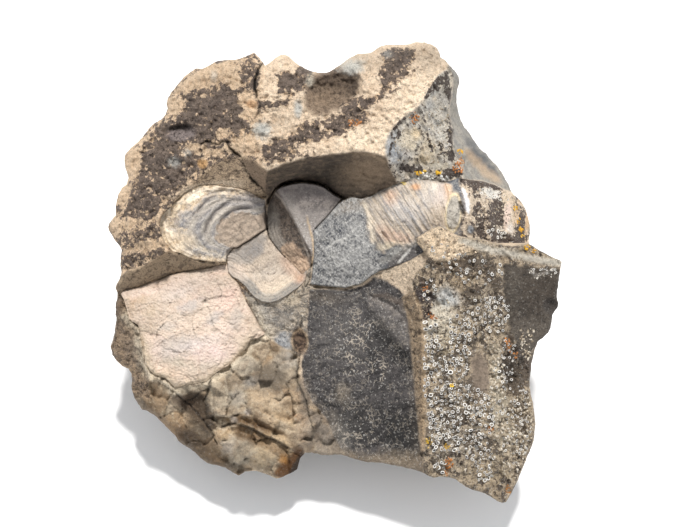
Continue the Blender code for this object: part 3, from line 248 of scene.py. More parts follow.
    (292,247,-2.6),(277,210,-2.2)]),
 ("whorl", 0.8, WHORL_GROUND, [
    (313,231,0.6),(320,224,2),(333,211,3.6),(343,200,4.4),(352,197,4.6),(363,202,5.2),(370,225,7),
    (345,235,5),(330,250,3.2),(313,247,0.4),(312,275,-0.2),(310,284,-0.2),(333,286,0.9),(355,285,2.2),
    (373,275,4),(390,267,5.2),(410,256,6),(350,262,4.6),(375,194,4.6),(397,185,5.6),(415,180.5,6),
    (445,183,6),(462,180,5),(480,182,2.6),(495,187,-1),(512,194,-5),(526,212,-8),(529,238,-6),
    (395,243,6.6),(416,240,7.2),(440,227,8.6),(465,238,7.4),(500,243,3),(400,212,9),(430,207,9.8),
    (460,208,9),(490,212,4.5),(385,222,8),(512,220,-1.2),(420,250,6.4)]),
 ("plate", 0.8, PLATE, [
    (124,289,-4),(150,282,-4),(182,272,-3.6),(210,267,-2.8),(226,264,-2.2),(232,278,-2.2),(250,308,-2.2),
    (265,334,-1.6),(251,339,-0.8),(234,361,0.8),(212,376,1.8),(190,384,2.2),(175,388,1.6),(155,375,0.6),
    (143,352,-1),(138,325,-2),(127,310,-3),(190,320,0.4),(175,350,1.6),(220,330,0.6),(150,310,-1)]),
]

# round hollows: (x, y, rx, ry, turn in degrees, depth mm, lip power)
HOLLOWS = [
    (336,92,31,19,-14,4.6,2.2),     # bowl in the top
    (181,131,14.5,7.5,-8,2.6,2.6),  # small pot-hole
    (299.5,341,7,13.5,-6,1.6,2.0),  # eye-shaped socket
    (424.5,455.5,5,3.2,0,1.6,2.0),  # pock at the foot of the lichened face
    (551,306,8,9,20,2.2,2.0),       # bite in the right edge
    (205,301,1.2,1.2,0,0.6,2.0),    # pin-hole in the shell
]
# cracks and grooves: (half width, depth mm, power, points)
CRACKS = [
    (1.5,2.6,1.2,[(265,62),(261,72),(258,79),(258,88),(260,95),(262,102)]),
    (0.8,1.0,1.5,[(262,102),(265,112),(262,120),(255,128)]),
    (0.9,1.4,1.3,[(200,144),(209,141),(218,145),(222,141),(227,142),(230,148)]),
    (2.0,3.0,1.2,[(230,148),(235,153),(240,156)]),
    (1.2,2.2,1.2,[(240,156),(243,163),(246,170),(250,177),(256,183),(262,188),(266,194)]),
    (1.0,1.0,1.3,[(302,318),(301,327)]),
    (1.1,1.5,1.3,[(300,353),(299,361),(297,372),(298,384),(303,393),(307,404),(310,418),(313,428)]),
    (1.3,1.8,1.2,[(175,392),(183,400),(190,405),(198,414),(206,424),(213,434),(218,447)]),
    (1.2,1.6,1.2,[(183,402),(191,399),(199,394),(206,389),(211,380)]),
    (1.0,1.2,1.3,[(222,427),(229,424),(236,423)]),
    (1.0,1.0,1.3,[(211,381),(208,391),(205,400)]),
]
# small steps down, on the right-hand side of each run of points:
# (drop mm, reach in grid units, points)
STEPS = [
    (2.4,16,[(236,423),(245,425),(255,429),(265,435),(275,439),(284,444),(292,449)]),
    (1.3,9,[(478,252),(468,262),(455,268),(440,268),(432,262)]),
]


# ---------------------------------------------------------------- maths
def seg_distance(x, y, pts, closed=False):
    """Distance from points to a run of segments, plus side (+ = left in y-up
    sense of travel) and the arc position of the nearest point."""
    p = np.asarray(pts, dtype=float)
    q = np.roll(p, -1, axis=0) if closed else p[1:]
    p = p if closed else p[:-1]
    best = np.full(x.shape, 1e18)
    side = np.zeros(x.shape)
    arc = np.zeros(x.shape)
    run = 0.0
    for (ax, ay), (bx, by) in zip(p, q):
        dx, dy = bx - ax, by - ay
        ll = dx * dx + dy * dy + 1e-12
        t = np.clip(((x - ax) * dx + (y - ay) * dy) / ll, 0.0, 1.0)
        ex, ey = x - (ax + t * dx), y - (ay + t * dy)
        d = ex * ex + ey * ey
        near = d < best
        best = np.where(near, d, best)
        side = np.where(near, dx * ey - dy * ex, side)
        arc = np.where(near, run + t * math.sqrt(ll), arc)
        run += math.sqrt(ll)
    return np.sqrt(best), side, arc


def inside(x, y, pts):
    """True where a point lies inside a closed outline."""
    p = np.asarray(pts, dtype=float)
    q = np.roll(p, -1, axis=0)
    hit = np.zeros(x.shape, dtype=bool)
    for (ax, ay), (bx, by) in zip(p, q):
        if ay == by:
            continue
        cross = ((ay > y) != (by > y)) & (x < (bx - ax) * (y - ay) / (by - ay) + ax)
        hit ^= cross
    return hit


def inset(x, y, pts):
    """Signed distance to an outline, positive inside."""
    d, _, _ = seg_distance(x, y, pts, True)
    return np.where(inside(x, y, pts), d, -d)


def near_box(x, y, pts, pad):
    """Index of the points within an outline's box, widened by pad."""
    p = np.asarray(pts, dtype=float)
    lo, hi = p.min(axis=0) - pad, p.max(axis=0) + pad
    return np.nonzero((x > lo[0]) & (x < hi[0]) & (y > lo[1]) & (y < hi[1]))[0]


def smooth(t):
    t = np.clip(t, 0.0, 1.0)
    return t * t * (3.0 - 2.0 * t)


class Sheet:
    """Smooth sheet through depth points (thin-plate spline)."""

    def __init__(self, pts):
        p = np.asarray(pts, dtype=float)
        self.c = p[:, :2] / 50.0
        n = len(p)
        a = np.zeros((n + 3, n + 3))
        d = np.hypot(self.c[:, None, 0] - self.c[None, :, 0], self.c[:, None, 1] - self.c[None, :, 1])
        a[:n, :n] = self.kernel(d) + np.eye(n) * 0.004
        a[:n, n] = 1.0
        a[:n, n + 1:] = self.c
        a[n, :n] = 1.0
        a[n + 1:, :n] = self.c.T
        b = np.zeros(n + 3)
        b[:n] = p[:, 2]
        self.k = np.linalg.solve(a, b)

    @staticmethod
    def kernel(d):
        return d * d * np.log(d + 1e-9)

    def __call__(self, x, y):
        x, y = x / 50.0, y / 50.0
        out = self.k[-3] + self.k[-2] * x + self.k[-1] * y
        for i in range(len(self.c)):
            out = out + self.k[i] * self.kernel(np.hypot(x - self.c[i, 0], y - self.c[i, 1]))
        return out


SHEETS = {name: Sheet(pts) for name, _, _, pts in PATCHES}
SHELL_PATCHES = ("ribbed", "spoon", "lobe", "crescent", "whorl", "plate")


def face_depth(x, y, names=None, cracks=True):
    """Depth of the block's face at grid points; names limits the patches."""
    x = np.asarray(x, dtype=float)
    y = np.asarray(y, dtype=float)
    w = SHEETS["rind"](x, y)
    for name, soft, outline, _ in PATCHES[1:]:
        if names is not None and name not in names:
            continue
        i = near_box(x, y, outline, 4.0)
        if not len(i):
            continue
        d = inset(x[i], y[i], outline)
        f = smooth(0.5 + d / (2.0 * soft))
        w[i] = w[i] * (1.0 - f) + SHEETS[name](x[i], y[i]) * f
    if cracks:
        w = w + relief(x, y)
    return w - limb(x, y)


def relief(x, y):
    """Hollows, cracks and steps cut into the face, mm (negative = down)."""
    w = np.zeros(x.shape)
    for hx, hy, rx, ry, turn, depth, power in HOLLOWS:
        c, s = math.cos(math.radians(turn)), math.sin(math.radians(turn))
        ex = ((x - hx) * c + (y - hy) * s) / rx
        ey = (-(x - hx) * s + (y - hy) * c) / ry
        r = np.sqrt(ex * ex + ey * ey)
        w -= depth * np.clip(1.0 - np.clip(r, 0, 1) ** power, 0, 1)
    for half, depth, power, pts in CRACKS:
        i = near_box(x, y, pts, half * 2)
        if len(i):
            d, _, _ = seg_distance(x[i], y[i], pts)
            w[i] -= depth * np.clip(1.0 - d / half, 0, 1) ** (1.0 / power)
    for drop, reach, pts in STEPS:
        i = near_box(x, y, pts, reach + 1)
        if len(i):
            d, side, arc = seg_distance(x[i], y[i], pts)
            total = arc.max()
            ends = smooth(arc / 8.0) * smooth((total - arc) / 8.0)
            w[i] -= np.where(side > 0, drop * smooth(d / 1.2) * (1 - smooth(d / reach)) * ends, 0)
    return w


# how the face rolls off at the outline: (x, y, reach in grid units, drop mm)
LIMB = [(254,52,11,3.4),(345,58,11,3.6),(420,42,11,3.6),(458,88,6,2),(470,133,7,3),(505,177,7,3),(528,217,9,4),
        (562,262,3,0.8),(552,322,4,1.2),(532,372,8,2.6),(535,425,7,2.2),(506,502,3,0.8),(455,479,3,0.7),
        (400,467,2.5,0.5),(341,455,2.5,0.5),(297,470,3,1),(240,474,5,2),(190,449,6,2.4),(140,405,7,2.6),
        (112,350,7,3),(116,300,6,2.2),(109,227,8,2.6),(126,165,9,3),(166,105,11,3.2),(202,68,11,3.4)]


def limb(x, y):
    d = inset(x, y, OUTLINE)
    p = np.asarray(LIMB, dtype=float)
    wt = 1.0 / ((x[:, None] - p[:, 0]) ** 2 + (y[:, None] - p[:, 1]) ** 2 + 30.0) ** 1.5
    wt /= wt.sum(axis=1, keepdims=True)
    reach = wt @ p[:, 2]
    drop = wt @ p[:, 3]
    t = np.clip(1.0 - d / reach, 0.0, 1.0)
    return drop * (1.0 - np.sqrt(np.clip(1.0 - t * t, 0, 1)))


# ---------------------------------------------------------------- flanks
SEAT_CENTRE = (336.0, 268.0)
# share of the outline's radius that the seat keeps, by direction (degrees,
# 0 = right, 90 = up the face, counter-clockwise)
SEAT_SHARE = [(-180, 0.88), (-150, 0.86), (-120, 0.80), (-90, 0.80), (-60, 0.84), (-30, 0.86), (0, 0.84),
              (30, 0.90), (60, 0.80), (90, 0.72), (120, 0.76), (150, 0.84), (180, 0.88)]
# 1 = the flank runs straight to the seat, more = it stays upright longer
FLANK_POWER = [(-180, 1.8), (-150, 1.7), (-120, 1.6), (-90, 1.7), (-60, 1.5), (-30, 1.5), (0, 1.6), (30, 1.8),
               (60, 2.2), (90, 2.4), (120, 2.2), (150, 2.0), (180, 1.8)]
# broken facets of the flanks: direction in plan and lean back from upright
# (degrees), and how deep each cuts into the flank (mm)
FACETS = [(4, 2, 3.5), (34, 6, 4.5), (64, -8, 3.5), (90, 4, 4.0), (114, 8, 4.5), (134, -2, 4.5), (162, 6, 3.5),
          (186, -10, 4.0), (212, -22, 4.5), (240, -30, 3.5), (262, -44, 4.0), (286, -34, 4.0), (312, -24, 5.0),
          (338, -12, 4.5)]


def by_direction(ang, table):
    t = np.asarray(table, dtype=float)
    a = np.degrees(ang)
    i = np.clip(np.searchsorted(t[:, 0], a, side="right") - 1, 0, len(t) - 2)
    f = smooth((a - t[i, 0]) / (t[i + 1, 0] - t[i, 0]))
    return t[i, 1] * (1 - f) + t[i + 1, 1] * f


def flank_waves(pos):
    """Broad waves of the broken flanks, mm inwards."""
    x, y, z = pos[:, 0], pos[:, 1], pos[:, 2]
    a = np.sin(x * 0.083 + z * 0.06 + 0.7) * np.sin(y * 0.071 - z * 0.05 + 1.9)
    b = np.sin(x * 0.19 - y * 0.13 + z * 0.17 + 2.2) * np.sin(z * 0.21 + x * 0.05 + 0.4)
    return 1.6 + 1.3 * a + 0.9 * b


def body_radius(ang):
    """Radius of the block below its rim, by direction, in grid units: inside
    the outline everywhere, without its small bays and knobs."""
    src = np.asarray(OUTLINE, dtype=float) - np.array(SEAT_CENTRE)
    a1 = np.arctan2(-src[:, 1], src[:, 0])
    r1 = np.hypot(src[:, 0], src[:, 1])
    turn = np.radians(np.arange(-180.0, 180.0, 2.0))
    least = np.empty(len(turn))
    for i, a in enumerate(turn):
        off = np.abs((a1 - a + math.pi) % (2 * math.pi) - math.pi)
        least[i] = r1[off < 0.07].min()
    out = np.empty(len(ang))
    for i, a in enumerate(ang):
        off = (turn - a + math.pi) % (2 * math.pi) - math.pi
        wgt = np.exp(-(off / 0.07) ** 2)
        wide = np.exp(-(off / 0.22) ** 2)
        out[i] = min(np.sum(wgt * least) / np.sum(wgt), 0.3 * np.sum(wgt * least) / np.sum(wgt)
                     + 0.7 * np.sum(wide * least) / np.sum(wide))
    return out


def flank_rings(outline, rim_depth, ts):
    """Rings of points from the outline (t = 0) to the seat (t = 1), mm,
    before the facets are struck."""
    p = np.asarray(outline, dtype=float) - np.array(SEAT_CENTRE)
    ang = np.arctan2(-p[:, 1], p[:, 0])
    rad = np.hypot(p[:, 0], p[:, 1])
    body = np.minimum(body_radius(ang), rad)
    share = by_direction(ang, SEAT_SHARE)
    power = by_direction(ang, FLANK_POWER)
    sx, sy = SEAT_CENTRE[0] + np.cos(ang) * body * share, SEAT_CENTRE[1] - np.sin(ang) * body * share
    bd = seat_depth(sx, sy)
    inward = np.stack([-np.cos(ang), -np.sin(ang), np.zeros(len(p))], 1)
    rings = []
    for t in ts:
        r = (rad + (body - rad) * smooth(t / 0.5)) * (1.0 + (share - 1.0) * t ** power)
        x, y = SEAT_CENTRE[0] + np.cos(ang) * r, SEAT_CENTRE[1] - np.sin(ang) * r
        w = rim_depth + (bd - rim_depth) * t
        pos = np.stack(to_world(x, y, w), 1)
        if 0.0 < t < 1.0:
            pos = pos + inward * (flank_waves(pos) * math.sin(math.pi * t) ** 0.8)[:, None]
        rings.append(pos)
    return rings


def facet_planes():
    """The struck facets as (normal, distance); the same for any fineness."""
    o = np.asarray(OUTLINE, dtype=float)
    rings = flank_rings(OUTLINE, face_depth(o[:, 0], o[:, 1], cracks=False), [k / 8.0 for k in range(1, 9)])
    pts = np.concatenate(rings)
    planes = []
    for turn, lean, cut in FACETS:
        a, b = math.radians(turn), math.radians(lean)
        n = np.array([math.cos(a) * math.cos(b), math.sin(a) * math.cos(b), math.sin(b)])
        planes.append((n, float((pts @ n).max()) - cut))
    return planes


def strike(pos, planes, t):
    """Flatten what stands proud of each facet; the rim and the seat's height
    stay as they are."""
    keep = smooth(np.asarray(t) / 0.4)
    for n, d in planes:
        over = np.clip(pos @ n - d, 0.0, None) * keep
        flat = np.array([n[0], n[1], 0.0])
        flat = flat / (flat @ n)
        pos = pos - flat[None, :] * np.reshape(over, (-1, 1))
    return pos


# ---------------------------------------------------------------- noise
class Perlin:
    """Gradient noise on arrays, about -1..1."""

    def __init__(self, seed):
        rng = np.random.RandomState(seed)
        self.p = np.tile(rng.permutation(256), 3)
        g = rng.normal(size=(256, 3))
        self.g = g / np.linalg.norm(g, axis=1, keepdims=True)

    def __call__(self, x, y, z=0.0):
        x, y, z = np.broadcast_arrays(np.asarray(x, float), np.asarray(y, float), np.asarray(z, float))
        xi, yi, zi = np.floor(x).astype(int), np.floor(y).astype(int), np.floor(z).astype(int)
        xf, yf, zf = x - xi, y - yi, z - zi
        xi &= 255
        yi &= 255
        zi &= 255
        u, v, w = (t * t * t * (t * (t * 6 - 15) + 10) for t in (xf, yf, zf))
        out = 0.0
        for dx in (0, 1):
            wx = u if dx else 1 - u
            for dy in (0, 1):
                wy = v if dy else 1 - v
                for dz in (0, 1):
                    wz = w if dz else 1 - w
                    h = self.p[self.p[self.p[xi + dx] + yi + dy] + zi + dz]
                    g = self.g[h]
                    d = g[..., 0] * (xf - dx) + g[..., 1] * (yf - dy) + g[..., 2] * (zf - dz)
                    out = out + wx * wy * wz * d
        return out * 1.6


NOISE = [Perlin(s) for s in (11, 23, 37, 41, 59, 67, 73, 89)]


def fbm(k, x, y, z=0.0, octaves=4, gain=0.5):
    out, amp, tot, f = 0.0, 1.0, 0.0, 1.0
    for i in range(octaves):
        out = out + amp * NOISE[(k + i) % 8](x * f + 17.3 * i, y * f - 9.1 * i, z * f + 4.7 * i)
        tot += amp
        amp *= gain
        f *= 2.03
    return out / tot


def ridged(k, x, y, z=0.0, octaves=3):
    out, amp, tot, f = 0.0, 1.0, 0.0, 1.0
    for i in range(octaves):
        out = out + amp * (1.0 - 2.0 * np.abs(NOISE[(k + i) % 8](x * f + 5.3 * i, y * f + 8.1 * i, z * f)))
        tot += amp
        amp *= 0.5
        f *= 2.1
    return out / tot


def cells(seed, x, y, size, jitter=0.8):
    """Worley cells on a plane: distances to the nearest and second points, the
    nearest point's own random number and position."""
    rng = np.random.RandomState(seed)
    n = 256
    jx, jy, val = rng.rand(n, n), rng.rand(n, n), rng.rand(n, n)
    gx, gy = x / size, y / size
    ix, iy = np.floor(gx).astype(int), np.floor(gy).astype(int)
    d1 = np.full(x.shape, 9.0)
    d2 = np.full(x.shape, 9.0)
    v1 = np.zeros(x.shape)
    for ox in (-1, 0, 1):
        for oy in (-1, 0, 1):
            cx, cy = ix + ox, iy + oy
            px = cx + 0.5 + jitter * (jx[cx % n, cy % n] - 0.5)
            py = cy + 0.5 + jitter * (jy[cx % n, cy % n] - 0.5)
            d = np.hypot(gx - px, gy - py)
            nearer = d < d1
            d2 = np.where(nearer, d1, np.minimum(d2, d))
            v1 = np.where(nearer, val[cx % n, cy % n], v1)
            d1 = np.where(nearer, d, d1)
    return d1 * size, d2 * size, v1


def plates(seed, x, y, size, jitter=0.8):
    """Cells as in cells(), with the offset from each cell's own point."""
    rng = np.random.RandomState(seed)
    n = 256
    jx, jy, val = rng.rand(n, n), rng.rand(n, n), rng.rand(n, n)
    gx, gy = x / size, y / size
    ix, iy = np.floor(gx).astype(int), np.floor(gy).astype(int)
    d1, d2 = np.full(x.shape, 9.0), np.full(x.shape, 9.0)
    v1, ax, ay = np.zeros(x.shape), np.zeros(x.shape), np.zeros(x.shape)
    for ox in (-1, 0, 1):
        for oy in (-1, 0, 1):
            cx, cy = ix + ox, iy + oy
            px = cx + 0.5 + jitter * (jx[cx % n, cy % n] - 0.5)
            py = cy + 0.5 + jitter * (jy[cx % n, cy % n] - 0.5)
            d = np.hypot(gx - px, gy - py)
            nearer = d < d1
            d2 = np.where(nearer, d1, np.minimum(d2, d))
            v1 = np.where(nearer, val[cx % n, cy % n], v1)
            ax, ay = np.where(nearer, gx - px, ax), np.where(nearer, gy - py, ay)
            d1 = np.where(nearer, d, d1)
    return d2 * size - d1 * size, v1, ax * size, ay * size


# ---------------------------------------------------------------- colours
def lin(r, g, b):
    """sRGB 0-255 to linear."""
    out = []
    for c in (r, g, b):
        c = c / 255.0
        out.append(c / 12.92 if c <= 0.04045 else ((c + 0.055) / 1.055) ** 2.4)
    return np.array(out)


TAN = lin(234, 211, 184)
TAN_DEEP = lin(212, 184, 154)
CREAM = lin(240, 224, 202)
CRUST = lin(106, 93, 84)
CRUST_WARM = lin(130, 114, 100)
CLAY = lin(150, 128, 104)
CLAY_DARK = lin(112, 96, 80)
OVER = lin(114, 100, 86)
OVER_DARK = lin(72, 62, 54)
SLATE = lin(100, 96, 96)
SLATE_DARK = lin(72, 69, 70)
SLATE_BLUE = lin(112, 120, 128)
ASH = lin(158, 152, 142)
ASH_DARK = lin(112, 106, 98)
UMBER = lin(150, 126, 98)
UMBER_DARK = lin(100, 82, 62)
OCHRE = lin(182, 146, 96)
AMBER = lin(132, 94, 46)
LICHEN_TAN = lin(160, 138, 108)
LICHEN_DARK = lin(104, 90, 74)
PEARL = lin(232, 208, 186)
PEARL_PINK = lin(238, 202, 184)
PEARL_GREY = lin(176, 168, 160)
WHITE = lin(226, 222, 214)
ORANGE = lin(196, 112, 44)
YELLOW = lin(214, 164, 40)


class Paint:
    """Per-vertex finish: two colours and how much of the second shows, plus
    grain, specks, gloss and bump strengths that the materials read."""

    FIELDS = ("cov", "grain", "speck", "rough", "bump", "net")

    def __init__(self, x, y):
        n = len(x)
        self.x, self.y = x, y
        self.a = np.tile(TAN, (n, 1))
        self.b = np.tile(CRUST, (n, 1))
        self.cov = np.full(n, 0.3)
        self.grain = np.full(n, 0.6)
        self.speck = np.zeros(n)
        self.rough = np.full(n, 0.9)
        self.bump = np.full(n, 0.6)
        self.net = np.zeros(n)

    def lay(self, m, a=None, b=None, **kw):
        """Blend a finish in where mask m is 1."""
        if a is not None:
            self.a += (np.asarray(a) - self.a) * m[:, None]
        if b is not None:
            self.b += (np.asarray(b) - self.b) * m[:, None]
        for k, v in kw.items():
            f = getattr(self, k)
            f += (v - f) * m

    def tint(self, m, colour):
        """Blend one colour into both."""
        self.a += (colour - self.a) * m[:, None]
        self.b += (colour - self.b) * m[:, None]

    def cover(self, m, amount):
        """How much of the second colour shows where m is 1."""
        self.cov += (amount - self.cov) * m

    def shade(self, m):
        """Multiply both colours by 1 - m."""
        self.a *= (1.0 - m)[:, None]
        self.b *= (1.0 - m)[:, None]


def zone(x, y, outline, soft=2.0, wobble=0.0, size=9.0, k=3):
    """Soft mask of an outline with a noisy edge."""
    out = np.zeros(x.shape)
    i = near_box(x, y, outline, soft + wobble * 2 + 1)
    if len(i):
        d = inset(x[i], y[i], outline)
        if wobble:
            d = d + wobble * fbm(k, x[i] / size, y[i] / size, octaves=3)
        out[i] = smooth(0.5 + d / (2.0 * soft))
    return out


def blob(x, y, cx, cy, rx, ry, turn=0.0, soft=0.6, wobble=0.25, size=7.0, k=5):
    """Soft mask of an ellipse with a noisy edge."""
    out = np.zeros(x.shape)
    r = max(rx, ry) * 1.9
    i = np.nonzero((np.abs(x - cx) < r) & (np.abs(y - cy) < r))[0]
    if len(i):
        c, s = math.cos(math.radians(turn)), math.sin(math.radians(turn))
        dx, dy = x[i] - cx, y[i] - cy
        e = np.hypot((dx * c + dy * s) / rx, (-dx * s + dy * c) / ry)
        if wobble:
            e = e + wobble * fbm(k, x[i] / size, y[i] / size, octaves=3)
        out[i] = smooth(0.5 + (1.0 - e) / (2.0 * soft))
    return out


def stroke(x, y, pts, half, soft=0.8, wobble=0.0, size=6.0, taper=True):
    """Mask of a line."""
    out = np.zeros(x.shape)
    i = near_box(x, y, pts, half * 2 + 2)
    if len(i):
        d, _, arc = seg_distance(x[i], y[i], pts)
        h = np.full(d.shape, float(half))
        if wobble:
            h = h * (1.0 + wobble * fbm(2, x[i] / size, y[i] / size, octaves=2))
        if taper:
            t = arc / max(arc.max(), 1e-6)
            h = h * (0.35 + 0.65 * np.sqrt(np.clip(4 * t * (1 - t), 0, 1)))
        out[i] = smooth(0.5 + (h - d) / (2.0 * soft * half + 1e-6))
    return out


# dark crust on the rind: (x, y, rx, ry, turn, amount)
CRUST_BLOBS = [
    (224,112,40,22,-8,1.0),(205,126,22,12,0,0.7),(186,143,26,11,-6,0.65),(160,168,27,20,-20,0.95),
    (184,166,20,12,0,0.65),(141,200,22,13,-30,0.9),(138,256,18,7,-10,0.75),(153,228,13,13,0,0.85),
    (224,80,3.5,11,5,0.9),(248,73,9,14,10,0.8),(240,66,12,4,-12,0.7),(232,70,8,5,0,0.5),
    (288,81,16,11,0,1.0),(304,72,8,15,12,0.9),(272,103,19,12,-4,0.95),(262,84,3,10,0,0.5),
    (308,137,16,15,-20,0.9),(280,150,22,12,-14,0.85),(268,158,8,6,0,0.6),(296,152,14,6,-8,0.5),
    (396,59,22,10,-8,0.98),(388,76,14,10,10,0.95),(404,78,12,8,10,0.95),(414,66,12,6,-20,0.6),(392,90,14,7,-14,0.8),
    (366,101,17,8,-34,0.95),(352,108,12,8,-8,0.9),(340,124,18,11,-15,0.97),(368,120,13,7,10,0.8),(358,135,7,3.4,0,0.75),
    (330,133,14,4,0,0.6),(424,72,6,5,0,0.4),(326,116,8,4,0,0.4),(252,58,8,4,30,0.6),(180,84,8,4,-40,0.4),
    (126,210,8,8,0,0.5),(150,246,12,4,-14,0.5),(118,238,6,8,0,0.5),(180,80,11,7,-30,0.6),(206,74,9,5,-10,0.55),(202,92,14,7,-10,0.8),(120,168,6,15,10,0.7),
    (126,148,7,10,20,0.6),(113,196,5,11,0,0.5),
]
CRUST_FIELD = [(168,98),(184,84),(200,90),(214,94),(222,82),(228,94),(240,90),(250,74),(261,72),(258,98),(262,112),
               (244,126),(232,136),(214,140),(204,152),(198,168),(184,180),(170,196),(160,212),(152,226),(140,230),
               (130,222),(128,200),(136,182),(130,165),(136,150),(150,140),(164,118)]
# clean tan patches of the rind
TAN_BLOBS = [
    (176,106,7,9,10,0.8),(234,78,7,9,0,0.9),(249,98,8,7,0,0.7),(249,114,11,4,-10,0.7),(222,132,8,4,-10,0.7),
    (246,146,14,9,10,0.75),(195,146,10,4,0,0.6),(132,166,7,15,10,0.8),(123,198,5,12,0,0.7),(136,224,14,6,0,0.45),
    (160,218,5,10,30,0.5),(186,92,5,4,0,0.5),(205,96,4,2.5,0,0.5),(150,190,4,3,0,0.3),(217,153,6,4,0,0.6),
    (210,78,24,9,-14,0.8),(222,66,20,4,-6,0.6),(190,84,12,6,-30,0.6),(247,101,8,8,0,0.6),(282,117,24,9,-12,0.9),
    (245,136,9,5,0,0.5),(250,106,7,6,0,0.6),(240,100,4,4,0,0.5),(264,86,5,14,8,0.9),(272,98,14,4,0,0.7),(290,60,9,6,0,0.8),
    (134,160,8,14,10,0.6),(126,190,5,12,0,0.5),(116,226,5,14,0,0.4),(166,232,6,14,20,0.35),(176,108,8,10,0,0.5),
    (272,122,22,13,-10,0.9),(270,84,7,12,10,0.8),(279,64,9,9,0,0.9),(340,144,44,5,-4,0.9),(372,140,18,16,0,0.9),(395,108,18,14,-40,0.9),
    (414,92,12,18,-30,0.95),(384,122,16,13,-30,0.95),(372,70,9,12,20,0.9),(372,90,10,6,-30,0.8),(430,62,16,14,0,0.85),(352,62,16,6,-10,0.7),(372,62,12,8,0,0.7),(330,110,12,7,0,0.5),
    (368,82,8,10,0,0.7),(376,112,6,8,0,0.5),(150,246,20,5,-14,0.7),(200,150,10,6,0,0.35),(187,152,7,6,0,0.4),
    (238,52,10,4,0,0.7),
]


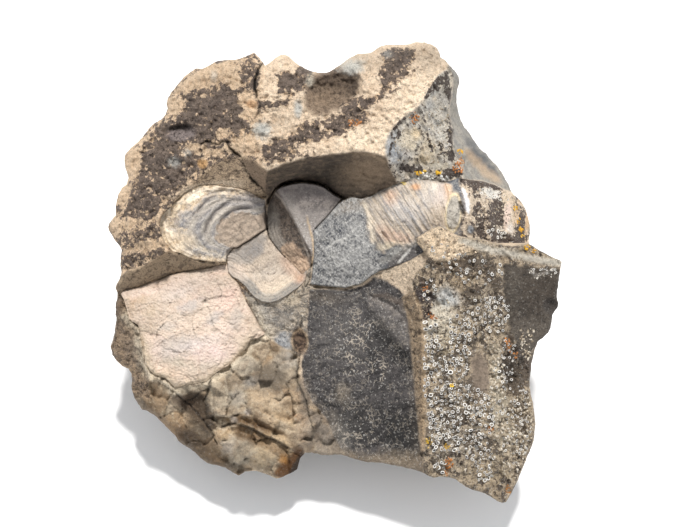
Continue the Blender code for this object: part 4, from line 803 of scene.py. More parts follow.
def paint_face(p, z):
    """Finish of the block's face; z tells how much each patch shows."""
    x, y = p.x, p.y
    n_big = fbm(1, x / 40, y / 40, octaves=3)
    n_mid = fbm(4, x / 14, y / 14, octaves=3)
    n_fine = fbm(6, x / 5, y / 5, octaves=3)

    # rind
    p.a[:] = TAN
    p.a += (TAN_DEEP - p.a) * np.clip(0.25 + 0.9 * n_mid, 0, 1)[:, None] * 0.7
    p.a += (CREAM - p.a) * np.clip(0.1 + 0.9 * n_fine, 0, 1)[:, None] * 0.6
    p.b[:] = CRUST
    p.b += (CRUST_WARM - p.b) * np.clip(0.3 + 1.2 * n_mid, 0, 1)[:, None]
    cov = np.full(x.shape, 0.14)
    m = zone(x, y, CRUST_FIELD, 9.0, 9.0, 14)
    cov += (0.75 - cov) * m
    m = smooth((262 - x) / 10) * (1 - m)
    cov += (0.52 - cov) * m
    cov += (0.34 * n_mid + 0.32 * n_fine) * (0.55 + 0.45 * smooth((cov - 0.2) / 0.2))
    for cx, cy, rx, ry, turn, amt in CRUST_BLOBS:
        m = blob(x, y, cx, cy, rx, ry, turn, soft=0.5, wobble=0.75, size=8)
        cov = cov + (np.maximum(cov, amt * 0.84) - cov) * m
    for cx, cy, rx, ry, turn, amt in TAN_BLOBS:
        m = blob(x, y, cx, cy, rx, ry, turn, soft=0.5, wobble=0.4, size=8, k=2)
        cov = cov + (np.minimum(cov, 0.04) - cov) * m * amt
    # the crust breaks into flecks along its margins
    cov = cov + 0.25 * n_fine * smooth((cov - 0.3) / 0.2)
    fleck = fbm(8, x / 6.0, y / 4.0, octaves=4)
    cov = cov - 0.40 * smooth((fleck - 0.20) / 0.08) * smooth((cov - 0.5) / 0.2) * smooth(0.7 + 2.0 * fbm(2, x / 18, y / 18, octaves=2))
    p.cov[:] = cov
    dark = smooth((cov - 0.35) / 0.25)
    p.grain[:] = 0.62 + 0.5 * dark
    upper = (1 - dark) * smooth((262 - y) / 10)
    p.bump[:] = 0.9 - 0.13 * upper
    left = smooth((268 - x) / 14)
    p.a += (lin(206, 172, 134) - p.a) * (np.maximum(dark * 0.6, left * 0.45))[:, None]
    p.shade(upper * (0.10 + 0.05 * left))
    p.b += (lin(122, 107, 96) - p.b) * (dark * smooth((fbm(9, x / 4.0, y / 4.0, octaves=2) + 0.05) / 0.2) * 0.7)[:, None]
    p.b += (lin(84, 73, 66) - p.b) * (dark * smooth((fbm(3, x / 6.0, y / 6.0, octaves=2) - 0.05) / 0.2) * 0.5)[:, None]

    p.shade(blob(x, y, 356, 62, 40, 12, -8, soft=1.0) * 0.26)
    p.shade(blob(x, y, 208, 84, 40, 14, -20, soft=1.0) * 0.12)
    p.shade(blob(x, y, 430, 58, 18, 14, 0, soft=1.0) * 0.24)
    p.shade(blob(x, y, 285, 117, 18, 12, 0, soft=1.0) * 0.14)
    p.lay(blob(x, y, 418, 106, 20, 34, 30, soft=1.0) * 0.6, a=lin(250, 230, 204))
    p.lay(blob(x, y, 370, 140, 26, 9, -4, soft=1.0) * 0.6, a=lin(250, 232, 206))
    p.shade(blob(x, y, 430, 56, 18, 13, 0, soft=1.0) * 0.22)
    p.shade(blob(x, y, 140, 254, 16, 9, -10, soft=1.0) * 0.10)
    # tan-brown slope above the ribbed shell
    m = z["slope"]
    p.lay(m, lin(178, 156, 130), lin(118, 102, 86), cov=0.42, grain=0.9, bump=0.6)
    m = zone(x, y, [(243,160),(252,160),(262,168),(268,173),(268,196),(258,184),(248,173)], 1.2)
    p.lay(m, lin(130, 112, 94), lin(90, 78, 66), cov=0.3, grain=0.6, bump=0.5)
    m = blob(x, y, 204, 190, 30, 6, -10, soft=0.8)
    p.lay(m * 0.6, CREAM, cov=0.15)

    # far, smooth shoulder at the upper right
    m = z["farbulge"]
    slope = fbm(4, (x - 0.8 * y) / 5.0, (x + y) / 26.0, octaves=3)
    p.lay(m, lin(140, 135, 126), lin(122, 117, 109), cov=0.45, grain=0.35, speck=0.0, bump=0.4)
    p.tint(m * smooth(0.3 + 2.0 * slope) * 0.5, lin(112, 112, 112))
    for cx, cy, rx, ry, a, amt in [(480,158,13,6,38,0.9),(472,144,8,5,45,0.7),(492,170,8,3,40,0.8),(468,126,4,9,-10,0.5),(486,150,6,3,50,0.6)]:
        p.tint(m * blob(x, y, cx, cy, rx, ry, a, soft=0.7, wobble=0.8, size=5) * amt, lin(74, 75, 78))
    p.tint(m * stroke(x, y, [(466,150),(474,160),(486,172),(500,182)], 4.5, wobble=0.6) * 0.7, lin(164, 142, 116))
    p.tint(m * stroke(x, y, [(478,130),(490,148),(502,166),(508,178)], 2.6, wobble=0.5) * 0.6, lin(176, 158, 134))

    # grey fracture face at the upper right: pale, with crisp dark crust
    m = z["rightface"]
    col = fbm(3, (x - 0.37 * y) / 4.2, y / 24.0, octaves=3)
    p.lay(m, lin(200, 188, 170), lin(80, 71, 65), grain=0.7, speck=0.45, bump=0.8)
    p.cover(m, 0.33)
    p.cov += m * (0.55 * col + 0.35 * n_fine)
    p.lay(m * smooth(0.5 + 2.2 * fbm(1, x / 9, y / 13, octaves=3)) * 0.6, a=lin(172, 170, 166))
    for cx, cy, rx, ry, a, amt, c in [
            (434,90,2.2,12,22,0.8,(178,176,170)),(442,94,2,12,10,0.7,(164,158,148)),(444,112,3,9,4,0.6,(176,170,160)),
            (394,147,7,15,4,0.8,(164,170,178)),(409,140,12,9,-30,0.8,(214,200,176)),(416,134,4,6,-20,0.7,(232,208,170)),
            (441,130,7,15,-14,0.55,(200,196,188)),(428,152,9,12,0,0.5,(204,186,156)),(434,112,6,9,-20,0.5,(196,188,174)),
            (430,104,5,7,-30,0.7,(150,150,148)),(446,100,4,14,0,0.5,(160,156,150)),(424,160,8,5,0,0.6,(208,186,150)),
            (404,154,6,6,0,0.5,(150,152,156)),(440,166,8,4,0,0.5,(196,184,160))]:
        q = m * blob(x, y, cx, cy, rx, ry, a, soft=0.6, wobble=0.7, size=5)
        p.lay(q * amt, a=lin(*c))
        p.cov += (np.minimum(p.cov, 0.2) - p.cov) * q * 0.7
    for cx, cy, rx, ry, a, amt in [
            (407,168,9,3.6,14,0.7),(395,124,3.5,10,32,0.95),(402,112,5,4,-40,0.9),(412,105,7,4,-38,0.9),(400,118,6,4,-40,0.8),
            (428,92,3,12,26,0.7),(438,80,4,11,14,0.7),(446,84,3.6,12,6,0.65),(451,96,3,12,4,0.7),(452,116,3,8,0,0.8),
            (451,134,3.5,8,0,0.75),(453,150,4,12,0,0.85),(452,173,12,4,0,0.9),(398,136,3,5,0,0.5),(430,144,2,8,-20,0.6),
            (441,150,3,8,-20,0.6),(456,74,6,5,0,0.7),(418,168,4,4,0,0.6),(391,146,1.6,14,4,0.5),(420,122,2.5,7,-25,0.4)]:
        q = m * blob(x, y, cx, cy, rx, ry, a, soft=0.6, wobble=0.9, size=4, k=1)
        p.cov += (np.maximum(p.cov, 0.95) - p.cov) * q * amt
        p.lay(q * amt, grain=0.9, speck=0.15)

    # under the overhang
    m = np.maximum(z["overhang"], z["gap"])
    arc = y - 0.11 * np.abs(x - 345) ** 1.15 + 2.0 * n_mid
    p.lay(m, lin(100, 87, 74), lin(88, 76, 65), cov=0.45, grain=0.5, speck=0.0, bump=0.45)
    p.shade(m * smooth(0.45 + 1.6 * fbm(2, x / 13.0, arc / 1.9, octaves=3)) * 0.42)
    p.tint(m * smooth((fbm(6, x / 9.0, arc / 3.0, octaves=3) - 0.12) / 0.1) * 0.35, lin(146, 126, 104))
    # painted shade: darker towards the back of the overhang, with a deep pool of painted shade at its middle; the right
    # part is painted lighter, as lit
    p.shade(m * smooth((y - 150 - 0.25 * (x - 300)) / 30) * 0.25)
    p.shade(m * blob(x, y, 334, 170, 26, 13, -6, soft=1.0) * 0.55)
    p.tint(m * blob(x, y, 368, 172, 24, 14, -8, soft=0.8) * 0.6, lin(140, 120, 98))
    p.tint(m * stroke(x, y, [(296,158),(318,153),(345,151),(372,155),(386,162)], 1.6, wobble=0.8) * 0.5, lin(152, 132, 108))

    # central dark face
    m = z["darkface"]
    p.lay(m, lin(80, 76, 75), lin(58, 55, 55), cov=0.45, grain=0.7, speck=0.20, bump=0.35)
    p.lay(m, net=0.18)
    # painted light on the facet above the valley, painted shade in the valley
    p.tint(m * zone(x, y, [(366,294),(380,298),(396,309),(410,322),(413,346),(396,346),(382,334),(372,318)], 2.5, 2.0) * 0.6,
           lin(120, 114, 110))
    p.tint(m * blob(x, y, 373, 348, 9, 27, -12, soft=0.9, wobble=0.4) * 0.85, lin(42, 40, 41))
    p.tint(m * blob(x, y, 392, 372, 16, 20, -10, soft=1.0, wobble=0.5) * 0.35, lin(66, 62, 61))
    p.tint(m * zone(x, y, [(388,420),(398,414),(410,412),(421,416),(421,462),(400,464),(392,456),(386,436)], 1.5, 1.5) * 0.7,
           lin(50, 48, 47))
    p.tint(m * blob(x, y, 350, 430, 12, 26, 20, soft=0.9, wobble=0.5) * 0.3, lin(92, 88, 84))
    p.tint(m * blob(x, y, 338, 436, 13, 15, 20, soft=0.8, wobble=0.7, size=6) * 0.55, lin(138, 134, 128))
    p.tint(m * blob(x, y, 343, 394, 7, 10, 0, soft=0.8, wobble=0.7) * 0.5, lin(140, 128, 112))
    p.tint(m * smooth((y - 446) / 14 + 0.6 * n_mid) * 0.7, lin(150, 133, 112))
    p.tint(m * smooth((x - 404) / 12) * smooth((y - 330) / 20) * 0.35, lin(92, 82, 72))
    p.tint(m * blob(x, y, 328, 298, 20, 5, 10, soft=1.0, wobble=0.6) * 0.4, lin(122, 108, 90))
    p.tint(m * blob(x, y, 352, 304, 24, 14, 0, soft=1.0, wobble=0.6) * 0.4, lin(66, 63, 64))
    p.shade(m * blob(x, y, 346, 348, 18, 18, 0, soft=1.0, wobble=0.4) * 0.14)
    p.shade(m * blob(x, y, 404, 440, 14, 14, 0, soft=1.0, wobble=0.4) * 0.2)
    p.shade(m * smooth((y - 392) / 24) * smooth((450 - y) / 12) * 0.42)
    p.shade(m * 0.33)
    q = m * np.maximum(np.maximum(blob(x, y, 354, 342, 16, 28, 14, soft=0.9, wobble=0.7), blob(x, y, 378, 372, 9, 13, 0, soft=0.9, wobble=0.7)),
                       blob(x, y, 358, 432, 18, 20, 0, soft=0.9, wobble=0.7) * 0.6)
    p.tint(m * blob(x, y, 344, 330, 26, 30, 20, soft=1.0, wobble=0.5) * 0.35, lin(104, 100, 97))
    # painted shade along the valley
    p.shade(m * stroke(x, y, [(376,326),(388,340),(402,356),(410,368)], 8.0, soft=1.0, wobble=0.5) * 0.6)
    p.tint(m * stroke(x, y, [(368,298),(384,303),(398,312),(408,322),(412,334)], 3.0, soft=0.8, wobble=0.6) * 0.4, lin(124, 116, 110))
    p.tint(m * stroke(x, y, [(372,296),(386,296),(402,304),(412,316),(418,330)], 3.0, soft=0.8, wobble=0.6) * 0.5, lin(96, 84, 74))
    p.lay(q, net=0.62, speck=0.4)

    # ground between spoon, plate and dark face
    m = z["midzone"]
    p.lay(m, lin(178, 164, 146), lin(122, 114, 104), cov=0.48, grain=0.8, speck=0.3, bump=0.7)
    p.tint(m * blob(x, y, 262, 316, 8, 16, -20, soft=0.8, wobble=0.4) * 0.6, lin(188, 180, 168))
    p.tint(m * blob(x, y, 282, 318, 13, 8, -30, soft=0.8, wobble=0.5) * 0.6, lin(116, 113, 110))
    p.tint(blob(x, y, 283, 342, 9, 9, 15, soft=0.5, wobble=0.5) * 0.8, lin(140, 143, 147))
    p.tint(m * blob(x, y, 292, 300, 8, 6, 0, soft=0.8) * 0.5, lin(172, 158, 136))
    p.tint(m * blob(x, y, 304, 276, 3, 14, 8, soft=0.8) * 0.6, lin(96, 84, 70))
    # painted shadow along the foot of the plate's right edge
    p.tint(m * stroke(x, y, [(238,282),(246,296),(254,312),(262,328),(268,336)], 4.5, wobble=0.7, soft=0.9) * 0.75, lin(92, 88, 86))
    p.tint(m * blob(x, y, 268, 306, 13, 10, 40, soft=0.8, wobble=0.7, size=5) * 0.35, lin(108, 104, 100))
    p.tint(m * blob(x, y, 290, 316, 8, 12, 20, soft=0.8, wobble=0.7, size=5) * 0.12, lin(146, 140, 130))
    p.tint(m * blob(x, y, 276, 300, 6, 3, 0, soft=0.7, wobble=0.9, size=3) * 0.5, lin(206, 200, 190))
    p.tint(m * blob(x, y, 256, 296, 3, 5, -30, soft=0.7, wobble=0.9, size=3) * 0.5, lin(210, 198, 180))

    # shelly lumps at the lower left
    m = z["lumps"]
    p.lay(m, lin(156, 140, 118), lin(106, 92, 77), cov=0.34, grain=0.55, speck=0.07, bump=0.4)
    wx = x + 7 * fbm(4, x / 15, y / 15, octaves=3)
    wy = y + 7 * fbm(6, x / 13, y / 13, octaves=3)
    ms = np.maximum(m, 0.5 * z["leftside"])
    shades = [lin(186, 164, 136), lin(128, 116, 100), lin(166, 140, 110), lin(100, 86, 72), lin(176, 162, 142), lin(136, 112, 84)]
    for seed, size, amt in ((5, 21.0, 0.75), (8, 9.0, 0.40)):
        e, v, _, _ = plates(seed, wx, wy, size)
        k = np.floor(v * 5.999).astype(int)
        c = np.array(shades)[k]
        f = (ms * amt * smooth(e / 1.2 + 0.3))[:, None]
        p.a += (c - p.a) * f
        p.b += (c * 0.66 - p.b) * f
        line = 1.0 - smooth(e / 1.0)
        pale = smooth((fbm(seed % 8, x / 16, y / 16, octaves=2) + 0.02) / 0.1)
        p.tint(m * line * pale * 0.55, lin(214, 198, 170))
        p.tint(m * line * (1 - pale) * (0.85 if size > 12 else 0.4), lin(76, 60, 45))
    p.lay(m, grain=0.45, bump=0.4)
    for pts in ([(210,384),(214,396),(213,410),(218,424)],[(226,378),(229,390),(227,404)],[(238,396),(252,394),(266,398),(282,408),(292,418)],
                [(240,404),(256,410),(270,418),(284,424)],[(270,384),(282,392),(292,402),(300,414)],[(222,436),(230,430),(238,428)],
                [(238,440),(250,448),(262,458),(266,470)],[(228,452),(236,462),(240,472)]):
        p.tint(m * stroke(x + 2 * n_fine, y + 2 * n_mid, pts, 0.8, soft=0.7, wobble=1.0) * 0.6, lin(86, 70, 54))
        p.tint(m * stroke(x + 2 * n_fine + 1.6, y + 2 * n_mid + 1.4, pts, 0.8, soft=0.7, wobble=1.0) * 0.45, lin(214, 200, 176))
    # painted shade: broad dark crevice between the plate and the lumps
    p.tint(m * zone(x, y, [(164,376),(176,380),(190,388),(204,394),(212,404),(214,424),(208,434),(198,426),(184,410),(170,394)],
                    3.0, 4.0, 7) * 0.9, lin(60, 49, 39))
    p.tint(m * smooth((fbm(2, x / 7, y / 4, octaves=3) - 0.12) / 0.1) * 0.35, lin(96, 78, 58))
    p.tint(np.maximum(m, z["leftside"]) * stroke(x, y, [(128,385),(140,402),(156,418),(172,432),(188,446),(206,460),(226,470),(244,474)], 6.0, wobble=0.7, taper=False)
           * 0.6, lin(92, 77, 62))
    for cx, cy, rx, ry, a, amt, c in [
            (220,372,16,6,-30,0.5,(178,166,146)),(236,392,14,14,0,0.4,(150,138,120)),(268,406,20,11,20,0.65,(192,168,138)),(186,434,12,7,40,0.5,(104,84,64)),(270,376,12,10,0,0.5,(112,100,86)),
            # the three blobs on the next line darken the same crevice: painted shade
            (190,404,8,7,0,0.6,(88,72,58)),(200,418,7,12,-40,0.75,(78,64,50)),(184,400,10,5,0,0.5,(96,78,62)),
            # (262,427) on the next line and (245,420) on the one after: painted shade in the trench at the foot of the
            # step
            (294,400,10,9,0,0.5,(178,152,122)),(297,417,4,4,0,0.6,(172,124,82)),(302,426,8,12,0,0.4,(166,144,120)),(262,427,24,3.6,24,0.85,(84,60,36)),
            (245,420,9,4,10,0.7,(96,70,40)),(290,466,11,9,0,0.95,(66,46,27)),(298,456,5,8,0,0.7,(92,62,34)),
            (232,446,9,8,0,0.6,(152,140,124)),(252,456,14,11,20,0.6,(186,164,134)),(238,462,10,6,0,0.5,(128,124,114)),
            (226,436,7,7,30,0.6,(166,142,110)),(274,446,14,12,-20,0.6,(182,158,124)),(212,452,12,6,35,0.6,(120,96,66)),
            (150,410,8,5,40,0.4,(104,88,70)),(158,396,10,7,30,0.5,(160,138,112)),(175,428,12,6,40,0.5,(160,130,94)),
            (190,438,18,7,38,0.8,(78,62,48)),(214,458,14,5,30,0.6,(92,72,52)),(252,382,8,5,-20,0.4,(140,146,150)),(273,372,14,10,-10,0.5,(148,136,118)),
            (268,374,10,9,0,0.75,(90,79,65)),(306,440,10,8,0,0.5,(126,110,94)),(296,370,5,12,0,0.5,(160,146,126)),
            (212,384,8,10,-20,0.5,(176,160,134)),(248,412,3,3,0,0.6,(170,164,160)),(234,420,3,3,0,0.5,(180,170,160))]:
        p.tint(m * blob(x, y, cx, cy, rx, ry, a, soft=0.7, wobble=0.5, size=6) * amt, lin(*c))
    for cx, cy, rx, ry, a, c in [(232,352,10,7,-30,(132,126,116)),(246,366,12,9,0,(168,158,142)),(216,396,9,12,10,(150,138,120)),
                                 (238,398,8,9,0,(166,158,146)),(286,360,14,10,-20,(158,150,138)),(262,396,16,9,20,(190,166,136)),
                                 (246,450,8,12,10,(140,134,122)),(264,456,12,10,0,(192,172,142)),(284,418,14,7,30,(176,152,120)),
                                 (304,416,8,14,0,(150,130,108)),(228,446,6,9,20,(164,156,146))]:
        q = blob(x, y, cx, cy, rx, ry, a, soft=0.35, wobble=0.8, size=8)
        ring = q * (1 - blob(x, y, cx, cy, rx - 1.8, ry - 1.8, a, soft=0.35, wobble=0.8, size=8))
        p.tint(m * q * 0.45, lin(*c))
        p.tint(m * ring * smooth(0.5 + 2 * n_fine) * 0.5, lin(206, 194, 172))
    p.shade(m * 0.10)
    p.shade(m * (blob(x, y, 230, 390, 26, 22, 0, soft=1.0) + blob(x, y, 255, 455, 20, 14, 0, soft=1.0)).clip(0, 1) * 0.18)
    p.shade(m * blob(x, y, 155, 395, 16, 14, 40, soft=1.0) * 0.16)
    p.lay(m * blob(x, y, 275, 445, 10, 8, 0, soft=1.0) * 0.5, a=lin(190, 166, 134))
    # brown painted shade below the step
    p.tint(m * zone(x, y, [(236,426),(250,427),(268,437),(284,448),(294,456),(286,460),(268,451),(250,442),(238,437)], 2.5, 2.5, 5) * 0.6,
           lin(92, 68, 42))
    p.tint(zone(x, y, [(303,446),(293,454),(282,463),(273,474),(282,480),(300,476),(304,458)], 1.6, 1.6, 5) * 0.9, lin(84, 54, 24))
    p.tint(zone(x, y, [(188,412),(206,424),(216,444),(234,462),(244,474),(215,474),(190,458),(182,434)], 3.0, 4.0, 8) * 0.45, lin(82, 70, 56))
    p.tint(m * blob(x, y, 273, 380, 17, 15, -20, soft=0.8, wobble=0.8, size=7) * 0.8, lin(96, 86, 74))
    p.tint(m * blob(x, y, 294, 352, 9, 12, 0, soft=0.8, wobble=0.8, size=7) * 0.4, lin(150, 146, 140))
    edge = stroke(x, y, [(300,368),(302,388),(310,408),(320,428),(332,448),(342,462)], 7.0, soft=1.0, wobble=1.0)
    edge = edge * smooth((y - 372) / 12)
    p.tint(edge * smooth(0.8 + 1.6 * n_mid) * 0.85, lin(104, 94, 84))
    p.lay(edge * 0.6, grain=0.8)
    p.tint(blob(x, y, 322, 436, 14, 20, 24, soft=0.9, wobble=0.9, size=6) * 0.65, lin(116, 107, 97))
    p.tint(blob(x, y, 330, 452, 14, 8, 0, soft=0.9, wobble=0.9, size=6) * 0.5, lin(134, 122, 108))
    # near-black painted shadow along the right side of the amber corner
    p.tint(zone(x, y, [(303,450),(296,460),(290,470),(288,480),(304,476)], 1.6, 1.6, 5) * 0.85, lin(34, 24, 15))
    p.tint(blob(x, y, 283, 459, 4, 4, 30, soft=0.7, wobble=0.6, size=4) * 0.6, lin(150, 104, 46))
    p.tint(blob(x, y, 296, 450, 4, 8, -20, soft=0.7, wobble=0.6, size=4) * 0.6, lin(70, 48, 28))
    # dark brown side left of the plate
    m = z["leftside"]
    p.lay(m, lin(142, 122, 100), lin(90, 76, 64), cov=0.45, grain=0.9, speck=0.04, bump=0.7)
    p.tint(m * blob(x, y, 133, 345, 9, 18, 0, soft=0.7, wobble=0.3) * 0.7, lin(128, 112, 96))
    p.tint(m * blob(x, y, 118, 312, 6, 16, 0, soft=0.7, wobble=0.5) * 0.7, lin(82, 68, 56))
    p.tint(m * blob(x, y, 122, 368, 12, 4, 20, soft=0.7, wobble=0.5) * 0.6, lin(176, 150, 118))
    p.tint(blob(x, y, 137, 308, 10, 16, -20, soft=0.7, wobble=0.5) * 0.3, lin(190, 164, 130))

    # wedge-shaped step above the plate
    m = z["wedge"]
    p.lay(m, lin(146, 128, 106), lin(106, 92, 77), cov=0.4, grain=0.6, bump=0.5)
    p.tint(m * smooth((y - (300 - 0.17 * x)) / 10) * 0.35, lin(96, 82, 68))

    # right-hand block: pale lichen crust over dark rock, upright streaks
    m = z["rightblock"]
    up = fbm(5, (x + 0.12 * y) / 6.5, y / 30.0, octaves=3)
    p.lay(m, lin(178, 160, 136), lin(82, 71, 61), grain=0.9, speck=0.4, bump=0.85)
    p.cover(m, 0.46)
    p.cov += m * (0.30 * n_fine + 0.35 * up + 0.25 * n_mid)
    p.tint(m * smooth(0.4 + 2.0 * n_mid) * 0.25, lin(146, 134, 118))
    # pale patches; the last entry, (476,262), only raises the dark cover below the knob: painted shade
    for cx, cy, rx, ry, a, amt, c, cov in [
            (440,320,13,26,14,0.85,(214,204,186),0.16),(440,331,10,13,0,0.9,(226,216,198),0.08),(449,297,13,9,0,0.7,(196,200,202),0.25),(462,284,10,14,-20,0.6,(176,152,120),0.45),
            (486,300,14,22,0,0.5,(176,164,146),0.5),(500,318,6,30,-4,0.4,(150,136,118),0.5),(442,340,14,16,0,0.5,(186,168,136),0.5),
            (496,380,6,34,-2,0.8,(206,194,172),0.22),(503,420,9,34,2,0.6,(200,188,166),0.32),(520,440,12,30,6,0.5,(176,164,144),0.42),
            (525,345,8,8,0,0.7,(186,174,156),0.3),(531,402,6,18,0,0.6,(176,160,136),0.35),(476,472,26,12,24,0.6,(176,158,132),0.38),
            (452,440,22,22,0,0.35,(190,182,170),0.5),(450,410,18,14,0,0.4,(180,170,152),0.56),(500,470,14,12,0,0.5,(170,154,128),0.45),(476,262,16,5,8,0.0,(0,0,0),0.9)]:
        q = m * blob(x, y, cx, cy, rx, ry, a, soft=0.7, wobble=0.7, size=6)
        if amt:
            p.lay(q * amt, a=lin(*c))
        p.cover(q * 0.8, cov)
    # dark crust patches; those at (440,266), (456,268), (474,268) and (462,260) are painted shade below the knob's step
    for cx, cy, rx, ry, a, amt, c in [
            (424,297,9,7,10,0.95,(74,64,62)),(427,285,5,4,0,0.8,(96,82,70)),(426,314,5,5,0,0.8,(84,72,66)),(440,266,13,4.5,10,0.5,(92,80,68)),
            (456,268,14,4.5,2,0.5,(88,76,64)),(474,268,12,5,4,0.5,(90,79,67)),(522,412,7,13,0,0.55,(100,88,76)),(446,404,8,6,0,0.4,(104,92,78)),(460,420,8,8,0,0.4,(104,92,78)),(462,260,8,2,-10,0.5,(96,82,68)),(487,270,10,8,0,0.5,(104,92,78)),
            (470,300,4,10,0,0.5,(104,92,78)),(478,290,3,8,0,0.5,(96,84,72)),(496,284,5,12,0,0.45,(104,92,78)),
            (512,372,10,16,-12,0.97,(68,59,51)),(520,356,6,12,-20,0.8,(86,78,72)),(519,388,8,8,0,0.7,(92,82,74)),(528,366,5,16,6,0.6,(98,86,76)),
            (510,342,4,10,0,0.5,(108,94,80)),(515,412,6,7,0,0.5,(98,86,74)),(524,430,4,10,0,0.4,(110,98,84)),(436,354,4,10,0,0.35,(104,92,78)),
            (458,350,3,12,8,0.35,(104,92,78)),(466,444,6,4,0,0.35,(106,94,80)),(440,470,6,4,0,0.5,(108,94,78)),(492,448,4,8,0,0.35,(104,92,78))]:
        q = m * blob(x, y, cx, cy, rx, ry, a, soft=0.6, wobble=0.9, size=5, k=1) * amt
        p.lay(q, b=lin(*c), speck=0.25)
        p.cov += (np.maximum(p.cov, 0.93) - p.cov) * q
    # lightens part of the painted shade below the knob
    p.lay(m * blob(x, y, 449, 264, 13, 5, 8, soft=0.9, wobble=0.5) * 0.5, a=lin(196, 176, 150), b=lin(140, 122, 102))
    # smooth brown scar and the fresh dark facet
    q = m * blob(x, y, 480, 374, 9, 23, -6, soft=0.35, wobble=0.25)
    p.lay(q * 0.95, lin(110, 97, 85), lin(96, 85, 74), cov=0.45, grain=0.4, speck=0.0, bump=0.35)
    p.tint(q * smooth((x - 478) / 6) * 0.3, lin(128, 114, 101))
    p.tint(m * blob(x, y, 473, 392, 7, 13, -20, soft=0.7, wobble=0.3) * 0.5, lin(92, 80, 70))
    q = m * zone(x, y, SMOOTH_FACET, 1.6, 2.6, 6)
    p.lay(q, lin(60, 53, 46), lin(47, 41, 36), cov=0.45, grain=0.75, speck=0.10, bump=0.5)
    p.tint(q * smooth((fbm(5, (x - y) / 16, (x + y) / 4, octaves=3) - 0.1) / 0.12) * 0.3, lin(104, 96, 86))
    p.tint(q * blob(x, y, 545, 284, 20, 14, 20, soft=0.9) * 0.45, lin(54, 48, 42))
    p.tint(q * blob(x, y, 522, 306, 12, 12, 0, soft=0.9, wobble=0.5) * 0.5, lin(54, 49, 45))
    p.tint(q * smooth((y - 312) / 14) * 0.5, lin(98, 90, 81))
    p.tint(q * blob(x, y, 512, 284, 8, 22, 0, soft=0.9, wobble=0.4) * 0.45, lin(92, 86, 78))
    p.tint(q * smooth((fbm(3, x / 5, y / 5, octaves=3) - 0.15) / 0.1) * 0.3, lin(98, 90, 80))
    # painted shade in the bite in the right edge
    p.tint(m * blob(x, y, 551, 306, 9, 8, 20, soft=0.5) * 0.85, lin(60, 56, 53))
    p.tint(m * stroke(x, y, [(530,270),(536,276),(545,273),(556,269)], 1.4, soft=0.9, wobble=1.6) * 0.4, lin(190, 184, 174))
    p.tint(m * blob(x, y, 536, 290, 26, 22, 0, soft=0.9) * 0.35, lin(62, 53, 44))
    p.tint(m * blob(x, y, 512, 375, 9, 16, 0, soft=0.9, wobble=0.5) * 0.4, lin(74, 64, 54))
    p.tint(m * blob(x, y, 520, 410, 16, 32, 0, soft=1.0, wobble=0.5) * 0.3, lin(132, 114, 90))
    # knob and ridge
    q = m * zone(x, y, [(415,238),(424,233),(432,228),(440,226),(446,229),(452,233),(460,237),(468,241),(478,247),
                        (470,252),(458,257),(446,262),(436,262),(428,255),(418,247)], 2.0, 1.5)
    p.lay(q, lin(222, 200, 172), lin(140, 120, 98), cov=0.25, grain=0.9, speck=0.15)
    q = m * stroke(x, y, [(462,241),(478,246),(492,250),(506,252),(524,257),(545,261),(562,263)], 3.4, taper=False)
    p.lay(q, lin(196, 188, 174), lin(150, 140, 124), cov=0.3, grain=0.4)
    # tan slope and the ridge band beside the dark face
    m = z["tanslope"]
    p.lay(m, lin(210, 190, 166), lin(152, 134, 112), cov=0.3, grain=0.7, speck=0.08)
    p.tint(m * blob(x, y, 398, 264, 18, 3.5, -24, soft=0.9) * 0.5, lin(128, 118, 104))
    m = z["band"]
    p.lay(m, lin(148, 129, 106), lin(104, 89, 74), cov=0.40, grain=0.9, speck=0.15)
    p.tint(stroke(x, y, [(413,292),(419,305),(423,325),(424,345),(424,390),(424,430),(423,450)], 2.2, wobble=0.4) * 0.7,
           lin(196, 170, 138))

    # the rock is pale and pearly close to the plate's lower edges
    i = near_box(x, y, PLATE, 16)
    if len(i):
        e = -inset(x[i], y[i], PLATE) + 4 * n_fine[i]
        m = np.zeros(x.shape)
        m[i] = smooth((11 - e) / 8) * smooth((y[i] - (306 - 0.1 * (x[i] - 124))) / 12)
        p.lay(m * 0.7, lin(194, 181, 160), lin(142, 130, 113), cov=0.42, grain=0.5)
    # hollows
    # small pot-hole: pale grey floor with a dark painted shadow across its upper wall
    p.tint(blob(x, y, 181, 134, 14, 7.5, -8, soft=0.3, wobble=0.1) * 0.9, lin(140, 128, 124))
    p.tint(blob(x, y, 181, 127.5, 13, 2.6, -8, soft=0.6, wobble=0.2) * 0.85, lin(56, 49, 45))
    m = zone(x, y, [(306,82),(314,74),(330,68),(345,66),(355,70),(361,80),(358,92),(350,102),(340,109),(327,115),(314,115),
                    (305,107),(304,94)], 4.5, 3.0, 7)
    p.lay(m * 0.92, lin(118, 100, 83), lin(90, 76, 64), cov=0.45, grain=0.75, bump=0.7)
    # painted shadow on the bowl's upper and upper-right wall, painted light on its lower-left wall
    p.tint(m * blob(x, y, 336, 80, 24, 11, -4, soft=0.9, wobble=0.3) * 0.7, lin(72, 60, 50))
    p.tint(m * blob(x, y, 354, 88, 8, 12, 20, soft=0.8) * 0.6, lin(66, 55, 46))
    p.tint(m * blob(x, y, 318, 102, 16, 10, -20, soft=0.9) * 0.3, lin(140, 120, 98))
    p.tint(blob(x, y, 352, 66, 11, 7, -10, soft=0.7, wobble=0.9, size=4) * 0.75, lin(186, 184, 176))
    p.tint(blob(x, y, 310, 80, 4, 6, 0, soft=0.7, wobble=0.9, size=4) * 0.5, lin(184, 180, 166))
